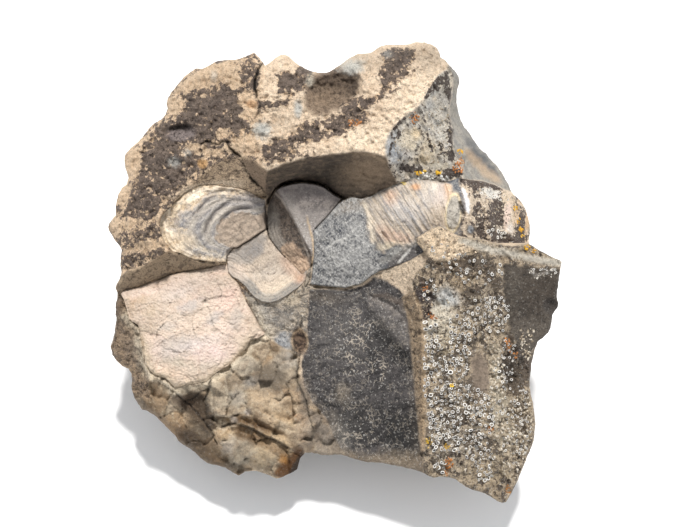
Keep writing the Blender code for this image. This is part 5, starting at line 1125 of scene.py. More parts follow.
    # painted highlight on the lit lower-left wall of the bowl
    p.tint(blob(x, y, 298, 109, 3.4, 8, 0, soft=0.5, wobble=0.5, size=4) * 0.7, lin(168, 170, 168))
    m = blob(x, y, 299.5, 341, 8, 14, -6, soft=0.3, wobble=0.1)
    p.lay(m, lin(112, 92, 76), lin(62, 50, 42), cov=0.5, speck=0.0)
    p.tint(stroke(x, y, [(299,352),(294,349),(291.5,341),(294,333),(300,329),(306,334),(308,343),(305,352)], 0.9) * 0.6,
           lin(176, 152, 122))

    # pale lichen spots and two orange-tan spots; the pale spot at (298,108) is a painted highlight on the bowl's lit
    # lower-left wall
    for cx, cy, rx, ry, amt in [(262,130,9,8,0.9),(174,162,6,5,0.6),(187,153,4,4,0.5),(214,76,3,6,0.4),
                                (354,68,9,5,0.5),(387,54,5,4,0.4),(298,108,4,8,0.5)]:
        p.tint(blob(x, y, cx, cy, rx, ry, 0, soft=0.6, wobble=0.8, size=3) * amt, lin(186, 186, 180))
    p.tint(blob(x, y, 202.5, 163.5, 5.2, 4.6, 0, soft=0.25, wobble=0.3, size=5) * 0.85, lin(196, 154, 104))
    p.tint(blob(x, y, 252, 104, 5, 4, 0, soft=0.4, wobble=0.4) * 0.6, lin(190, 142, 96))

    # painted shade in the cracks, darker where they are deeper, and a painted shadow at the foot of the first step
    for half, depth, power, pts in CRACKS:
        p.shade(stroke(x, y, pts, half * 1.25, soft=0.5) * min(0.85, 0.45 + depth * 0.2))
    for drop, reach, pts in STEPS[:1]:
        p.shade(stroke(x, y, [(a, b + 1.2) for a, b in pts], 1.4) * 0.7)


# ---------------------------------------------------------------- relief
PATCH = {name: outline for name, _, outline, _ in PATCHES}


def wander(pts, amount=1.0, step=1.6):
    """A run of points made irregular."""
    p = np.asarray(pts, dtype=float)
    seg = np.hypot(*np.diff(p, axis=0).T)
    arc = np.concatenate([[0.0], np.cumsum(seg)])
    t = np.linspace(0, arc[-1], max(3, int(arc[-1] / step) + 1))
    q = np.stack([np.interp(t, arc, p[:, 0]), np.interp(t, arc, p[:, 1])], 1)
    q[:, 0] += amount * 1.6 * fbm(2, q[:, 0] / 6.0, q[:, 1] / 6.0, octaves=3)
    q[:, 1] += amount * 1.6 * fbm(5, q[:, 0] / 6.0, q[:, 1] / 6.0, octaves=3)
    return [(float(a), float(b)) for a, b in q]


# the cracks as they run close to
CRACKS[0] = (1.2, 2.4, 1.2, [(263,63),(258.5,69),(255.8,76),(254.6,84),(254.6,90),(257,98)])
CRACKS[1] = (0.7, 0.8, 1.5, [(257,98),(260,104),(259,112),(255,120)])
CRACKS[4] = (0.55, 1.3, 1.2, CRACKS[4][3])
CRACKS[3] = (1.3, 2.2, 1.2, CRACKS[3][3])
CRACKS.append((1.2, 1.8, 1.2, [(249,176),(253,181),(257,185)]))
CRACKS[6] = (0.8, 1.2, 1.3, CRACKS[6][3])
CRACKS[7] = (0.8, 1.0, 1.2, CRACKS[7][3])
CRACKS[8] = (0.7, 0.8, 1.2, CRACKS[8][3])
CRACKS = [(h, d, k, wander(pts, 0.9)) for h, d, k, pts in CRACKS]


def zones(x, y, wobble=1.3):
    """How much each patch of the face shows at each point."""
    wx = x + wobble * fbm(1, x / 7, y / 7, octaves=3)
    wy = y + wobble * fbm(4, x / 7, y / 7, octaves=3)
    out = {"rind": np.ones(x.shape)}
    for name, soft, outline, _ in PATCHES[1:]:
        f = np.zeros(x.shape)
        i = near_box(wx, wy, outline, 4.0)
        if len(i):
            f[i] = smooth(0.5 + inset(wx[i], wy[i], outline) / (2.0 * max(soft, 1.0)))
        for k in out:
            out[k] = out[k] * (1.0 - f)
        out[name] = f
    return out


# how rough each patch is: (bumps ~2.5 mm, knobs ~1 mm, grit ~0.5 mm, pits), mm
ROUGH = {"rind": (1.5, 1.3, 0.60, 0.5), "bed": (0.7, 0.6, 0.3, 0.1), "farbulge": (0.7, 0.2, 0.1, 0.0),
         "rightface": (1.0, 0.7, 0.45, 0.15), "slope": (0.6, 0.5, 0.3, 0.05), "overhang": (0.9, 0.4, 0.2, 0.0),
         "gap": (0.2, 0.2, 0.1, 0.0), "leftside": (1.4, 0.7, 0.3, 0.0), "lumps": (0.25, 0.10, 0.12, 0.0),
         "midzone": (1.0, 0.7, 0.3, 0.0), "darkface": (0.6, 0.25, 0.12, 0.0), "rightblock": (1.5, 0.9, 0.5, 0.15),
         "tanslope": (0.5, 0.6, 0.3, 0.05), "band": (1.0, 0.9, 0.4, 0.05), "wedge": (0.5, 0.4, 0.2, 0.0)}


SMOOTH_FACET = [(503,264),(515,264),(535,268),(560,268),(560,318),(545,340),(530,352),(518,346),(510,330),(504,300)]


def ground(x, y, z):
    """Fine relief of the broken rock, mm."""
    bumps = fbm(2, x / 10.0, y / 10.0, octaves=2)
    knobs = fbm(5, x / 4.2, y / 4.2, octaves=2)
    grit = fbm(3, x / 2.7, y / 2.7, octaves=2)
    d1, d2, val = cells(3, x + 2 * knobs, y + 2 * grit, 6.0)
    pits = -np.clip(1.0 - d1 / (1.1 + 1.2 * val), 0, 1) * (val > 0.45)
    tot = [np.zeros(x.shape) for _ in range(4)]
    for name, r in ROUGH.items():
        for i in range(4):
            tot[i] += z[name] * r[i]
    # the freshly broken facets are calmer
    calm = np.ones(x.shape)
    for m in (zone(x, y, SMOOTH_FACET, 3.0, 2.0), blob(x, y, 480, 374, 9, 24, -6, soft=0.5)):
        calm = calm * (1 - 0.75 * m)
    w = (tot[0] * bumps + tot[1] * knobs + tot[2] * grit + tot[3] * pits) * calm
    # broken shelly lumps: tilted facets of two sizes with open joints
    q = z["lumps"] + 0.55 * z["leftside"]
    wx = x + 7 * fbm(4, x / 15, y / 15, octaves=3)
    wy = y + 7 * fbm(6, x / 13, y / 13, octaves=3)
    for seed, size, tilt, high, gap, amt in ((5, 21.0, 0.13, 1.9, 1.0, 1.0), (8, 9.0, 0.05, 0.22, 0.10, 0.7)):
        e, v, dx, dy = plates(seed, wx, wy, size)
        t = v * 61.0
        w += q * amt * (high * (v - 0.5) * smooth(e / 1.2) + tilt * (dx * np.cos(t) + dy * np.sin(t)) * smooth(e / 0.8)
                        - gap * (1.0 - smooth(e / 1.4)) * smooth(0.5 + 3.0 * fbm(seed % 8, x / 16, y / 16, octaves=2)))
    w += z["midzone"] * (0.7 * (v - 0.5) * smooth(e / 1.5) + 0.06 * (dx * np.cos(t) + dy * np.sin(t)))
    for cx, cy, rx, ry, turn, high in LUMPS:
        a = math.radians(turn)
        dx, dy = x - cx, y - cy
        e = np.hypot((dx * math.cos(a) + dy * math.sin(a)) / rx, (-dx * math.sin(a) + dy * math.cos(a)) / ry)
        e = e * (1.0 + 0.35 * fbm(4, x / 9, y / 9, octaves=2))
        w += high * np.where(e < 1, np.sqrt(np.clip(1 - e * e, 0, 1)), 0)
    # arcs scraped under the overhang
    q = z["overhang"] + z["gap"]
    arc = y - 0.11 * np.abs(x - 345) ** 1.15 + 2.0 * bumps
    w += q * 0.14 * np.sin(arc * 0.95) + q * 0.30 * fbm(2, x / 13.0, arc / 1.9, octaves=2)
    # streaky columns of the grey fracture face
    w += z["rightface"] * (1.1 * fbm(3, (x - 0.37 * y) / 4.2, y / 24.0, octaves=3) + 0.9 * fbm(6, (x - 0.3 * y) / 11, y / 20, octaves=2))
    # a valley and a bright facet on the dark face
    d, side, arc = seg_distance(x, y, [(372,316),(381,332),(393,347),(405,360)])
    w -= z["darkface"] * 1.5 * np.exp(-(d / np.where(side > 0, 14.0, 5.0)) ** 2)
    # low shell-like breaks on the dark face
    r = np.hypot(x - 300, (y - 270) * 1.1) + 10 * fbm(7, x / 26, y / 26, octaves=2)
    saw = (r / 17.0) % 1.0
    w += z["darkface"] * 0.5 * (saw - 0.5) * smooth((1 - saw) / 0.12)
    for pts, drop, reach in [([(412,350),(411,328),(404,314),(392,303),(380,297),(368,293)], 0.9, 16),
                             ([(388,420),(398,414),(410,412),(421,416)], 0.9, 10),
                             ([(392,462),(386,446),(386,430),(389,418)], 0.6, 8),
                             ([(360,330),(366,350),(370,372),(369,392)], 0.5, 12)]:
        d, side, arc = seg_distance(x, y, pts)
        ends = smooth(arc / 6.0) * smooth((arc.max() - arc) / 6.0)
        w -= z["darkface"] * np.where(side < 0, drop * smooth(d / 1.4) * (1 - smooth(d / reach)), 0) * ends
    # platy steps on the lichened block
    r = (x * 0.35 + y) + 9 * fbm(6, x / 22, y / 22, octaves=3)
    saw = (r / 13.0) % 1.0
    w += z["rightblock"] * calm * 0.35 * (saw - 0.5) * smooth((1 - saw) / 0.2)
    up = fbm(5, (x + 0.12 * y) / 6.5, y / 30.0, octaves=3)
    w += z["rightblock"] * calm * (1.5 * up + 0.7 * fbm(1, (x + 0.1 * y) / 14.0, y / 34.0, octaves=2))
    d, side, arc = seg_distance(x, y, [(500,262),(502,280),(503,300),(506,330),(510,352),(506,380),(500,410),(498,440)])
    w -= z["rightblock"] * np.where(side < 0, 1.3 * smooth(d / 3.0) * (1 - smooth(d / 14.0)), 0)
    return w


# single lumps and hollows of the broken corner: (x, y, rx, ry, turn, height mm)
LUMPS = [(230,391,19,21,0,1.3),(268,411,25,13,25,1.3),(227,437,12,8,-10,1.2),(233,450,6,9,20,1.1),(250,458,12,12,0,0.9),
         (274,448,14,15,-20,1.3),(290,463,11,10,0,0.9),(150,388,14,9,30,1.0),(172,416,26,8,45,1.5),(258,382,8,10,0,0.8),
         (279,373,17,14,0,0.5),(296,402,13,11,0,0.6),(302,426,11,18,0,0.5),(194,406,17,12,20,-1.7),(210,424,6,10,-40,-1.0),
         (262,427,26,4.5,24,-1.9),(205,446,18,8,38,-1.2),(286,352,10,8,0,0.8),(262,350,14,6,-30,0.9),(140,352,8,18,0,0.9),
         (132,330,6,16,0,-0.8),(246,370,12,8,-20,0.6)]


def seam_cuts(x, y):
    """Open joints between the pieces of shell and the rock, mm."""
    w = np.zeros(x.shape)
    for half, depth, pts in SEAMS:
        i = near_box(x, y, pts, half + 1)
        if len(i):
            d, _, arc = seg_distance(x[i], y[i], pts)
            h = half * (0.75 + 0.5 * fbm(3, x[i] / 5, y[i] / 5, octaves=2))
            w[i] -= depth * np.clip(1.0 - d / h, 0, 1) ** 0.7
    return w


# (half width in grid units, depth mm, points)
SEAMS = [
    (1.0, 1.5, [(230,252),(233,248),(238,247.5),(243,244),(250,240),(257,235),(263,231),(267,229)]),
    (0.6, 0.5, [(227,263),(227,256),(230,252)]),
    (1.6, 2.4, [(267,229),(266,222),(266,214),(266,206),(268,199)]),
    (1.0, 1.2, [(267,229),(269,238),(275,246),(280,252),(285,257)]),
    (0.6, 0.4, [(285,257),(291,263),(296,268),(302,274)]),
    (0.9, 1.2, [(342,199),(337,205),(332,211),(326,218),(320,224),(315,229)]),
    (1.5, 1.8, [(312,264),(311,270),(310.5,276),(309,281),(306,286)]),
    (1.0, 1.4, [(308,284.5),(320,286.5),(333,287.5),(345,288.5),(352,287)]),
    (0.9, 1.0, [(124,290),(141,286),(150,282),(158,280),(165,277),(172,274),(182,272),(200,269),(210,267),(220,265),(227,264)]),
    (0.8, 0.8, [(227,264),(215,262.5),(205,261.5),(196,260)]),
    (1.0, 0.9, [(246,301),(250,308),(255,316),(260,326),(264,333)]),
    (0.8, 0.5, [(232,277),(238,281),(242,287),(244,293)]),
    (1.6, 2.6, [(275,189),(280,186),(290,183),(305,181.5),(316,183),(325,187),(332,192),(342,198)]),
    (1.0, 0.9, [(352,196),(361,198),(372,195),(380,190),(390,186)]),
    (0.8, 0.7, [(417,243),(424,252)]),
]

# ---------------------------------------------------------------- fossil relief
GROOVES = [
    (2.0,0.50,[(205,196),(210,193.5),(220,191),(230,190.5),(238,191)]),
    (1.8,0.40,[(196,215),(200,208),(205,202),(212,197),(222,194.5)]),
    (2.2,0.55,[(204,240),(205,233),(207,225),(212,217),(216,211),(222,207),(228,203),(236,200)]),
    (2.2,0.60,[(218,235),(219,228),(222,221),(227,215),(233,211),(240,208.5),(250,208),(258,209)]),
]
RIB_C = (266.0, 238.0)


def rib_share(x, y):
    """0 at the hub of the ribbed flank, 1 at its outer edge."""
    o = np.asarray(RIBBED[3:25], dtype=float) - np.array(RIB_C)
    a0 = np.degrees(np.arctan2(-o[:, 1], o[:, 0])) % 360.0
    r0 = np.hypot(o[:, 0], o[:, 1])
    order = np.argsort(a0)
    fine = np.arange(0.0, 360.0, 1.0)
    rad = np.interp(fine, a0[order], r0[order])
    ker = np.exp(-(np.arange(-12, 13) / 5.0) ** 2)
    rad = np.convolve(np.concatenate([rad[-12:], rad, rad[:12]]), ker / ker.sum(), "valid")
    a = np.degrees(np.arctan2(RIB_C[1] - y, x - RIB_C[0])) % 360.0
    return np.hypot(x - RIB_C[0], y - RIB_C[1]) / np.interp(a, fine, rad), a


def ribbed_relief(x, y):
    s, a = rib_share(x, y)
    wv = 1.5 * fbm(2, x / 10, y / 10, octaves=3)
    w = np.zeros(x.shape)
    for half, depth, pts in GROOVES:
        d, side, arc = seg_distance(x + 0.6 * wv, y + 0.4 * wv, pts)
        t = arc / arc.max()
        ends = smooth(t / 0.2) * smooth((1 - t) / 0.2)
        w -= 1.15 * depth * np.exp(-(d / half) ** 2) * ends
        w += 0.30 * np.exp(-((d - 3.6) / 2.2) ** 2) * ends
    # weaker folds beyond the grooves, dying out towards the lower edge
    folds = np.sin((s - 0.04 * wv) * 2 * math.pi * 6.4 + 0.8)
    w += 0.16 * folds * smooth((s - 0.5) / 0.1) * smooth((208 - a) / 22)
    lines = np.sin(s * 2 * math.pi * 21 + wv)
    w += 0.09 * lines * smooth((s - 0.4) / 0.08)
    w += 0.06 * np.sin(s * 2 * math.pi * 47 + 1.4 * wv) * smooth((s - 0.4) / 0.1)
    inner = smooth((0.50 - s) / 0.04)
    w += inner * (0.55 * fbm(5, x / 6, y / 6, octaves=3) - 0.1)
    w += 0.22 * fbm(3, x / 3, y / 3, octaves=3) + 0.35 * fbm(1, x / 12, y / 12, octaves=2)
    # crumbly, chipped outer margin
    edge = smooth((s - 0.80 + 0.06 * wv) / 0.06)
    c1, c2, cv = cells(21, x + wv, y, 5.0)
    w += edge * (0.5 * (cv - 0.5) * smooth((c2 - c1) / 1.2) - 0.15)
    return w


SPOON_RIM = [(228,272),(232,277),(238,280),(245,286),(250,293),(255,298),(262,302),(270,303),(278,301),(285,297),
             (292,292),(298,288),(303,283),(305,280),(307,270)]


def spoon_rings(x, y):
    d, _, _ = seg_distance(x, y, SPOON_RIM)
    return d + 1.6 * fbm(2, x / 13, y / 13, octaves=2)


def spoon_relief(x, y):
    d = spoon_rings(x, y)
    fade = 1.0 - 0.65 * smooth((d - 14) / 18)
    w = 0.085 * np.sin(d * 2 * math.pi / 2.9) * fade + 0.10 * np.sin(d * 2 * math.pi / 7.3 + 1) * fade
    w += 0.22 * np.exp(-((d - 3.0) / 2.0) ** 2)
    w += 0.16 * fbm(4, x / 8, y / 8, octaves=3) + 0.05 * fbm(5, x / 2, y / 2, octaves=2)
    # a thin scale lifts along a curved edge
    for pts, drop in [([(234,268),(242,270),(250,272),(258,272),(264,268)], 0.22),
                      ([(286,262),(291,270),(297,277),(303,281)], 0.22)]:
        dd, side, arc = seg_distance(x, y, pts)
        w -= drop * np.where(side > 0, smooth(dd / 0.8) * (1 - smooth(dd / 7.0)), 0)
    return w


def lobe_relief(x, y):
    w = 0.18 * fbm(5, x / 12, y / 12, octaves=3) + 0.06 * fbm(3, x / 2.4, y / 2.4, octaves=3)
    # growth lines of the small inner whorl
    d, _, arc = seg_distance(x, y, [(268,212),(268.5,229),(270,238),(275,246),(280,252),(285,257),(291,263),(298,270)])
    m = smooth((x - 266) / 2) * smooth((15 - d) / 6) * smooth((arc - 4) / 8)
    wv = fbm(2, x / 8, y / 8, octaves=2)
    w += 0.11 * m * np.sin((d + 2.5 * wv) * 2 * math.pi / 3.1) + 0.08 * m * np.sin((arc * 0.9 + d) * 2 * math.pi / 4.3)
    q = smooth((y - 244) / 6) * smooth((x - 281) / 5)
    w += q * (0.55 * fbm(2, x / 5, y / 5, octaves=3) + 0.04 * np.sin((x * 0.8 - y * 0.9 + 6 * wv) * 1.1))
    # the calcite vein stands proud
    d, _, arc = seg_distance(x, y, VEIN)
    w += 0.35 * np.exp(-(d / 1.2) ** 2) * (0.7 + 0.8 * fbm(3, x / 3, y / 3, octaves=2))
    return w


VEIN = [(307,216),(308,222),(310,229),(312,237),(313.6,247),(313.4,256),(312.6,263),(311.5,272),(309.5,280)]
NACRE = [(366,200),(372,197),(380,192),(390,188),(397,185),(405,182),(415,181),(430,181),(445,184),(452,186),
         (456,195),(450,203),(447,215),(449,228),(446,229),(440,226),(432,228),(424,233),(416,238),(417,243),
         (405,247),(396,243),(388,249),(381,252),(374,247),(371,240),(370,232),(367,215),(363,205)]


def slant(x, y):
    """Coordinate across the slanting growth lines of the outer shell."""
    x0 = x.copy()
    for _ in range(4):
        m = 0.66 - 0.42 * smooth((x0 - 395) / 45.0)
        x0 = x - (y - 180) * m
    return x0


def growth_streaks(x, y, x0):
    """Long uneven streaks along the growth lines."""
    return fbm(3, x0 / 2.6, y / 30.0, octaves=3) + 0.6 * fbm(7, x0 / 6.5 + 4.0, y / 40.0, octaves=2)


def nacre_mask(x, y):
    wx = x + 4.5 * fbm(6, x / 11, y / 11, octaves=4) + 1.2 * fbm(3, x / 2.5, y / 2.5)
    wy = y + 3.0 * fbm(4, x / 9, y / 9, octaves=4)
    return zone(wx, wy, NACRE, 1.0)


def whorl_relief(x, y):
    x0 = slant(x, y)
    nac = nacre_mask(x, y)
    wav = x0 + 2.0 * fbm(2, x / 18, y / 18, octaves=3)
    amp = 0.5 + 0.9 * np.clip(fbm(5, x / 14, y / 14, octaves=2) + 0.35, 0, 1)
    w = nac * amp * (0.10 * np.sin(wav * 2 * math.pi / 2.9) + 0.16 * np.sin(wav * 2 * math.pi / 7.3 + 1.0))
    w += nac * 0.42 * growth_streaks(x, y, x0)
    w += nac * 0.12
    w += nac * (0.30 * smooth((fbm(6, x0 / 9, y / 24, octaves=3) + 0.04) / 0.05) + 0.14 * fbm(3, x / 2.6, y / 2.6, octaves=2))
    # a chipped flake of shell near the lower edge
    d, side, arc = seg_distance(x, y, [(383,236),(390,240),(397,244),(406,243)])
    w -= nac * np.where(side < 0, 0.35 * smooth(d / 0.8) * (1 - smooth(d / 7)), 0)
    cast = (1 - nac)
    w += cast * (0.6 * fbm(1, x / 13, y / 13, octaves=3) + 0.40 * fbm(4, x / 4, y / 4, octaves=3)
                 + 0.16 * fbm(3, x / 2.2, y / 2.2, octaves=2))
    q = cast * smooth((374 - x) / 8)
    w -= q * 0.2 * np.clip(ridged(5, (x + y) / 14, (x - y) / 4.0, octaves=2) - 0.55, 0, 1) * 2
    # far end: stout ribs under a crust
    q = smooth((x - 472 + 3 * fbm(2, x / 6, y / 6)) / 5)
    rib = np.cos((x - 0.14 * (y - 205) - 466.5) * 2 * math.pi / 20.7)
    w += q * (0.85 * rib + 0.5 * fbm(2, x / 9, y / 9, octaves=2) + 0.55 * fbm(5, x / 4, y / 6, octaves=2)
              + 0.35 * fbm(3, x / 2.4, y / 2.4, octaves=2))
    # oval scale with a raised pale lip, the slit beside it and the white ridge
    e = np.hypot((x - 453.5) * 1.0 + (y - 212) * 0.08, (y - 213) * 0.40) / 7.6
    e = e + 0.08 * fbm(2, x / 5, y / 5, octaves=2)
    w += 0.45 * smooth((1.0 - e) / 0.2) + 0.30 * np.exp(-((e - 1.0) / 0.12) ** 2)
    d, _, _ = seg_distance(x, y, [(460,203),(461.5,208),(463.5,214)])
    w -= 1.5 * np.clip(1.0 - d / 2.4, 0, 1) ** 0.7
    d, _, _ = seg_distance(x, y, [(462,187),(465,195),(468,204),(470,213)])
    w += 0.5 * np.exp(-(d / 2.6) ** 2)
    # rolled lower edge
    d, _, arc = seg_distance(x, y, [(310,284),(320,286),(333,287),(345,288),(355,286),(362,284),(367,280),(373,275)])
    w += 0.35 * np.exp(-((d - 1.6) / 1.2) ** 2)
    return w


PLATE_CRACKS = [
    (0.8,[(180,313),(188,314),(198,312),(204,308)]),(0.7,[(216,315),(224,312),(232,308)]),
    (0.9,[(208,306),(212,320),(214,328),(224,334),(236,340)]),(0.7,[(192,322),(194,332),(198,340)]),
    (0.8,[(154,348),(166,340),(180,334),(190,330)]),(0.9,[(238,356),(244,350),(252,340),(258,334)]),
    (0.8,[(146,360),(156,372),(166,378),(184,380)]),(0.6,[(152,300),(166,304),(178,302)]),
    (0.6,[(228,284),(236,296),(240,306)]),(0.6,[(170,352),(186,356),(204,352),(216,356)]),
    (0.6,[(166,322),(158,330),(156,338)]),(0.6,[(216,280),(222,292),(221,302)]),
]


def flakes(x, y):
    """Cells of the flaking shell plate: big and small, with edge distances."""
    wx = x + 9 * fbm(4, x / 16, y / 16, octaves=4)
    wy = y * 1.3 + 9 * fbm(6, x / 15, y / 15, octaves=4)
    big = cells(13, wx + 0.35 * wy, wy, 24.0)
    small = cells(14, wx * 0.8 + 4 * fbm(1, x / 5, y / 5), wy * 1.1, 9.5)
    return big, small


def plate_relief(x, y):
    (b1, b2, bv), (s1, s2, sv) = flakes(x, y)
    w = 0.8 * fbm(1, x / 24, y / 24, octaves=3)
    w += 0.55 * (bv - 0.5) * smooth((b2 - b1) / 1.2)
    crack = smooth((fbm(2, x / 12, y / 12, octaves=2) - 0.05) / 0.15)
    w -= 0.25 * (1 - smooth((b2 - b1) / 0.9)) * crack
    w += 0.30 * (sv - 0.5) * smooth((s2 - s1) / 1.0) * smooth((fbm(3, x / 10, y / 10, octaves=2) + 0.1) / 0.15)
    # stacked thin layers, broken back in scalloped terraces
    for k, amp, per in ((4, 0.34, 5.0), (7, 0.22, 9.0)):
        step = (fbm(k, x / 22 + 3.1, y / 15, octaves=5, gain=0.55) + 0.5) * per
        f = step % 1.0
        w += amp * (f - 0.5) - amp * smooth((f - 0.93) / 0.07) + amp * 0.5
    w += 0.20 * fbm(5, x / 3.5, y / 3.5, octaves=3) + 0.10 * fbm(3, x / 2.1, y / 2.1, octaves=2)
    for half, pts in PLATE_CRACKS:
        i = near_box(x, y, pts, 4)
        if len(i):
            wx = x[i] + 1.3 * fbm(3, x[i] / 4, y[i] / 4, octaves=2)
            wy = y[i] + 1.3 * fbm(5, x[i] / 4, y[i] / 4, octaves=2)
            d, side, _ = seg_distance(wx, wy, pts)
            w[i] -= 0.35 * np.clip(1.0 - d / half, 0, 1)
            w[i] += 0.18 * np.where(side > 0, np.exp(-d / 4.0), 0)
    e = inset(x, y, PLATE) + 1.5 * fbm(2, x / 5, y / 5, octaves=2)
    w -= 0.7 * smooth((3.0 - e) / 3.0)
    return w


# ---------------------------------------------------------------- fossil finish
def paint_ribbed(p):
    x, y = p.x, p.y
    s, a = rib_share(x, y)
    n = fbm(2, x / 9, y / 9, octaves=3)
    f = fbm(5, x / 3.5, y / 3.5, octaves=3)
    p.a[:] = lin(190, 174, 156)
    p.b[:] = lin(146, 138, 130)
    p.cov[:] = 0.42 + 0.4 * n
    p.grain[:] = 0.45
    p.speck[:] = 0.15
    p.rough[:] = 0.55
    p.bump[:] = 0.4
    mid = smooth((s - 0.44) / 0.06) * smooth((0.84 - s - 0.2 * n) / 0.10)
    p.lay(mid * 0.85, lin(158, 154, 150), lin(116, 114, 116), cov=0.5)
    p.tint(mid * smooth(0.4 + 1.6 * n) * 0.24, lin(182, 178, 176))
    p.tint(mid * (0.5 + 0.5 * np.sin(s * 2 * math.pi * 21 + 1.5 * n)) * 0.30, lin(104, 98, 96))
    p.tint(mid * (0.5 + 0.5 * np.sin(s * 2 * math.pi * 6.4 + 4.0)) * smooth((208 - a) / 22) * 0.28, lin(204, 188, 164))
    rim = smooth((s - 0.82 + 0.25 * n) / 0.08)
    p.lay(rim, lin(198, 176, 146), lin(150, 130, 108), cov=0.45, speck=0.3)
    p.tint(rim * smooth(0.3 + 2.2 * f) * 0.35, lin(168, 158, 146))
    c1, c2, cv = cells(21, x + 1.5 * n, y, 5.0)
    p.tint(rim * np.clip(cv - 0.55, 0, 1) * 1.3, lin(232, 216, 192))
    p.tint(rim * np.clip(0.35 - cv, 0, 1) * 1.2, lin(140, 120, 98))
    p.tint(smooth((a - 176) / 12) * smooth((s - 0.6) / 0.1) * smooth(0.4 + 1.6 * f) * 0.5, lin(216, 198, 172))
    # painted shade in each groove and a painted highlight on the rib beside it
    for half, depth, pts in GROOVES:
        d, side, arc = seg_distance(x, y, pts)
        t = arc / arc.max()
        ends = smooth(t / 0.2) * smooth((1 - t) / 0.2)
        p.tint(np.exp(-(d / (half * 0.9)) ** 2) * ends * 0.7, lin(92, 86, 84))
        p.tint(np.exp(-((d - 3.4) / 1.6) ** 2) * ends * 0.3, lin(196, 186, 172))
    inner = smooth((0.50 - s + 0.1 * n) / 0.04)
    p.lay(inner, lin(155, 139, 123), lin(130, 118, 105), cov=0.4, speck=0.04, grain=0.4)
    p.tint(inner * smooth(0.4 + 1.6 * fbm(1, x / 6, y / 6, octaves=3)) * 0.35, lin(182, 162, 144))
    p.tint(inner * smooth((y - 236) / 10) * 0.3, lin(182, 164, 146))
    p.tint(blob(x, y, 246, 196, 18, 5, -12, soft=0.9) * 0.45, lin(122, 116, 114))
    p.tint(blob(x, y, 252, 203, 14, 6, -20, soft=0.9) * 0.45, lin(126, 120, 120))
    for cx, cy, rx, ry, amt in [(197,194,8,3.4,0.9),(190,199,5,3,0.6),(166,224,3,8,0.5),(174,234,6,5,0.4),(168,212,3,4,0.5),
                                (180,246,8,3,0.4),(215,188,8,1.6,0.5),(228,190,8,2,0.4)]:
        p.tint(blob(x, y, cx, cy, rx, ry, -30, soft=0.8, wobble=0.8, size=3) * amt, lin(244, 230, 208))
    p.tint(blob(x, y, 186, 240, 9, 7, 20, soft=0.9, wobble=0.6, size=4) * 0.5, lin(214, 192, 162))
    for cx, cy, rx, ry in [(192,252,8,3),(178,222,4,8)]:
        p.tint(blob(x, y, cx, cy, rx, ry, 20, soft=0.9, wobble=0.6, size=4) * 0.45, lin(146, 146, 148))
    # painted shade in the deep crack along the shell's right edge
    p.tint(smooth((5 - np.hypot(x - 266, (y - 212) * 0.25)) / 4) * 0.7, lin(92, 80, 70))
    for pts in ([(232,220),(238,226),(244,231),(249,235)],[(243,226),(240,231),(243,236)],[(251,212),(256,220),(260,226)],
                [(230,234),(236,238),(240,243)]):
        p.shade(stroke(x + f, y + f, pts, 0.6) * 0.35)


def paint_spoon(p):
    x, y = p.x, p.y
    d = spoon_rings(x, y)
    n = fbm(2, x / 10, y / 10, octaves=3)
    f = fbm(5, x / 4, y / 4, octaves=3)
    p.a[:] = lin(186, 170, 152)
    p.b[:] = lin(152, 138, 124)
    p.cov[:] = 0.42 + 0.4 * n
    p.grain[:] = 0.4
    p.speck[:] = 0.06
    p.rough[:] = 0.55
    p.bump[:] = 0.32
    lines = 0.5 + 0.5 * np.sin(d * 2 * math.pi / 2.9 + 0.7)
    p.tint(lines * (0.2 + 0.2 * n), lin(140, 130, 120))
    low = smooth((11 - d) / 5)
    p.lay(low, lin(156, 148, 138), lin(122, 118, 114), cov=0.45)
    p.tint(low * smooth(0.5 + 0.8 * np.sin(d * 2 * math.pi / 3.6)) * 0.4, lin(186, 180, 170))
    p.shade(low * 0.32)
    grey = zone(x, y, [(228,262),(228,252),(238,249),(250,241),(263,233),(267,240),(262,254),(252,262),(240,266)], 3.0, 3.0, 7)
    p.tint(grey * 0.8, lin(146, 138, 130))
    p.tint(grey * blob(x, y, 256, 250, 12, 9, -20, soft=0.9, wobble=0.5) * 0.5, lin(124, 122, 122))
    p.tint(blob(x, y, 276, 262, 12, 12, -35, soft=0.9, wobble=0.4) * 0.35, lin(158, 146, 134))
    p.tint(blob(x, y, 290, 266, 6, 12, -35, soft=0.9, wobble=0.4) * 0.45, lin(188, 150, 126))
    p.tint(blob(x, y, 300, 278, 5, 5, 0, soft=0.9, wobble=0.3) * 0.5, lin(206, 162, 130))
    p.tint(blob(x, y, 238, 271, 12, 7, 20, soft=0.9, wobble=0.4) * 0.5, lin(216, 194, 176))
    p.tint(blob(x, y, 262, 274, 18, 6, -10, soft=0.9, wobble=0.5) * 0.35, lin(168, 160, 150))
    p.tint(blob(x, y, 279, 286, 14, 5, -32, soft=0.9, wobble=0.5) * 0.35, lin(216, 200, 176))
    p.tint(smooth((f - 0.08) / 0.15) * 0.25, lin(150, 134, 118))
    # painted shade along the edges of the lifted scales
    for pts in ([(236,270),(243,272),(250,272),(256,270)],[(284,266),(290,274),(297,279)]):
        p.shade(stroke(x + 2 * f, y + f, pts, 0.5) * 0.25)


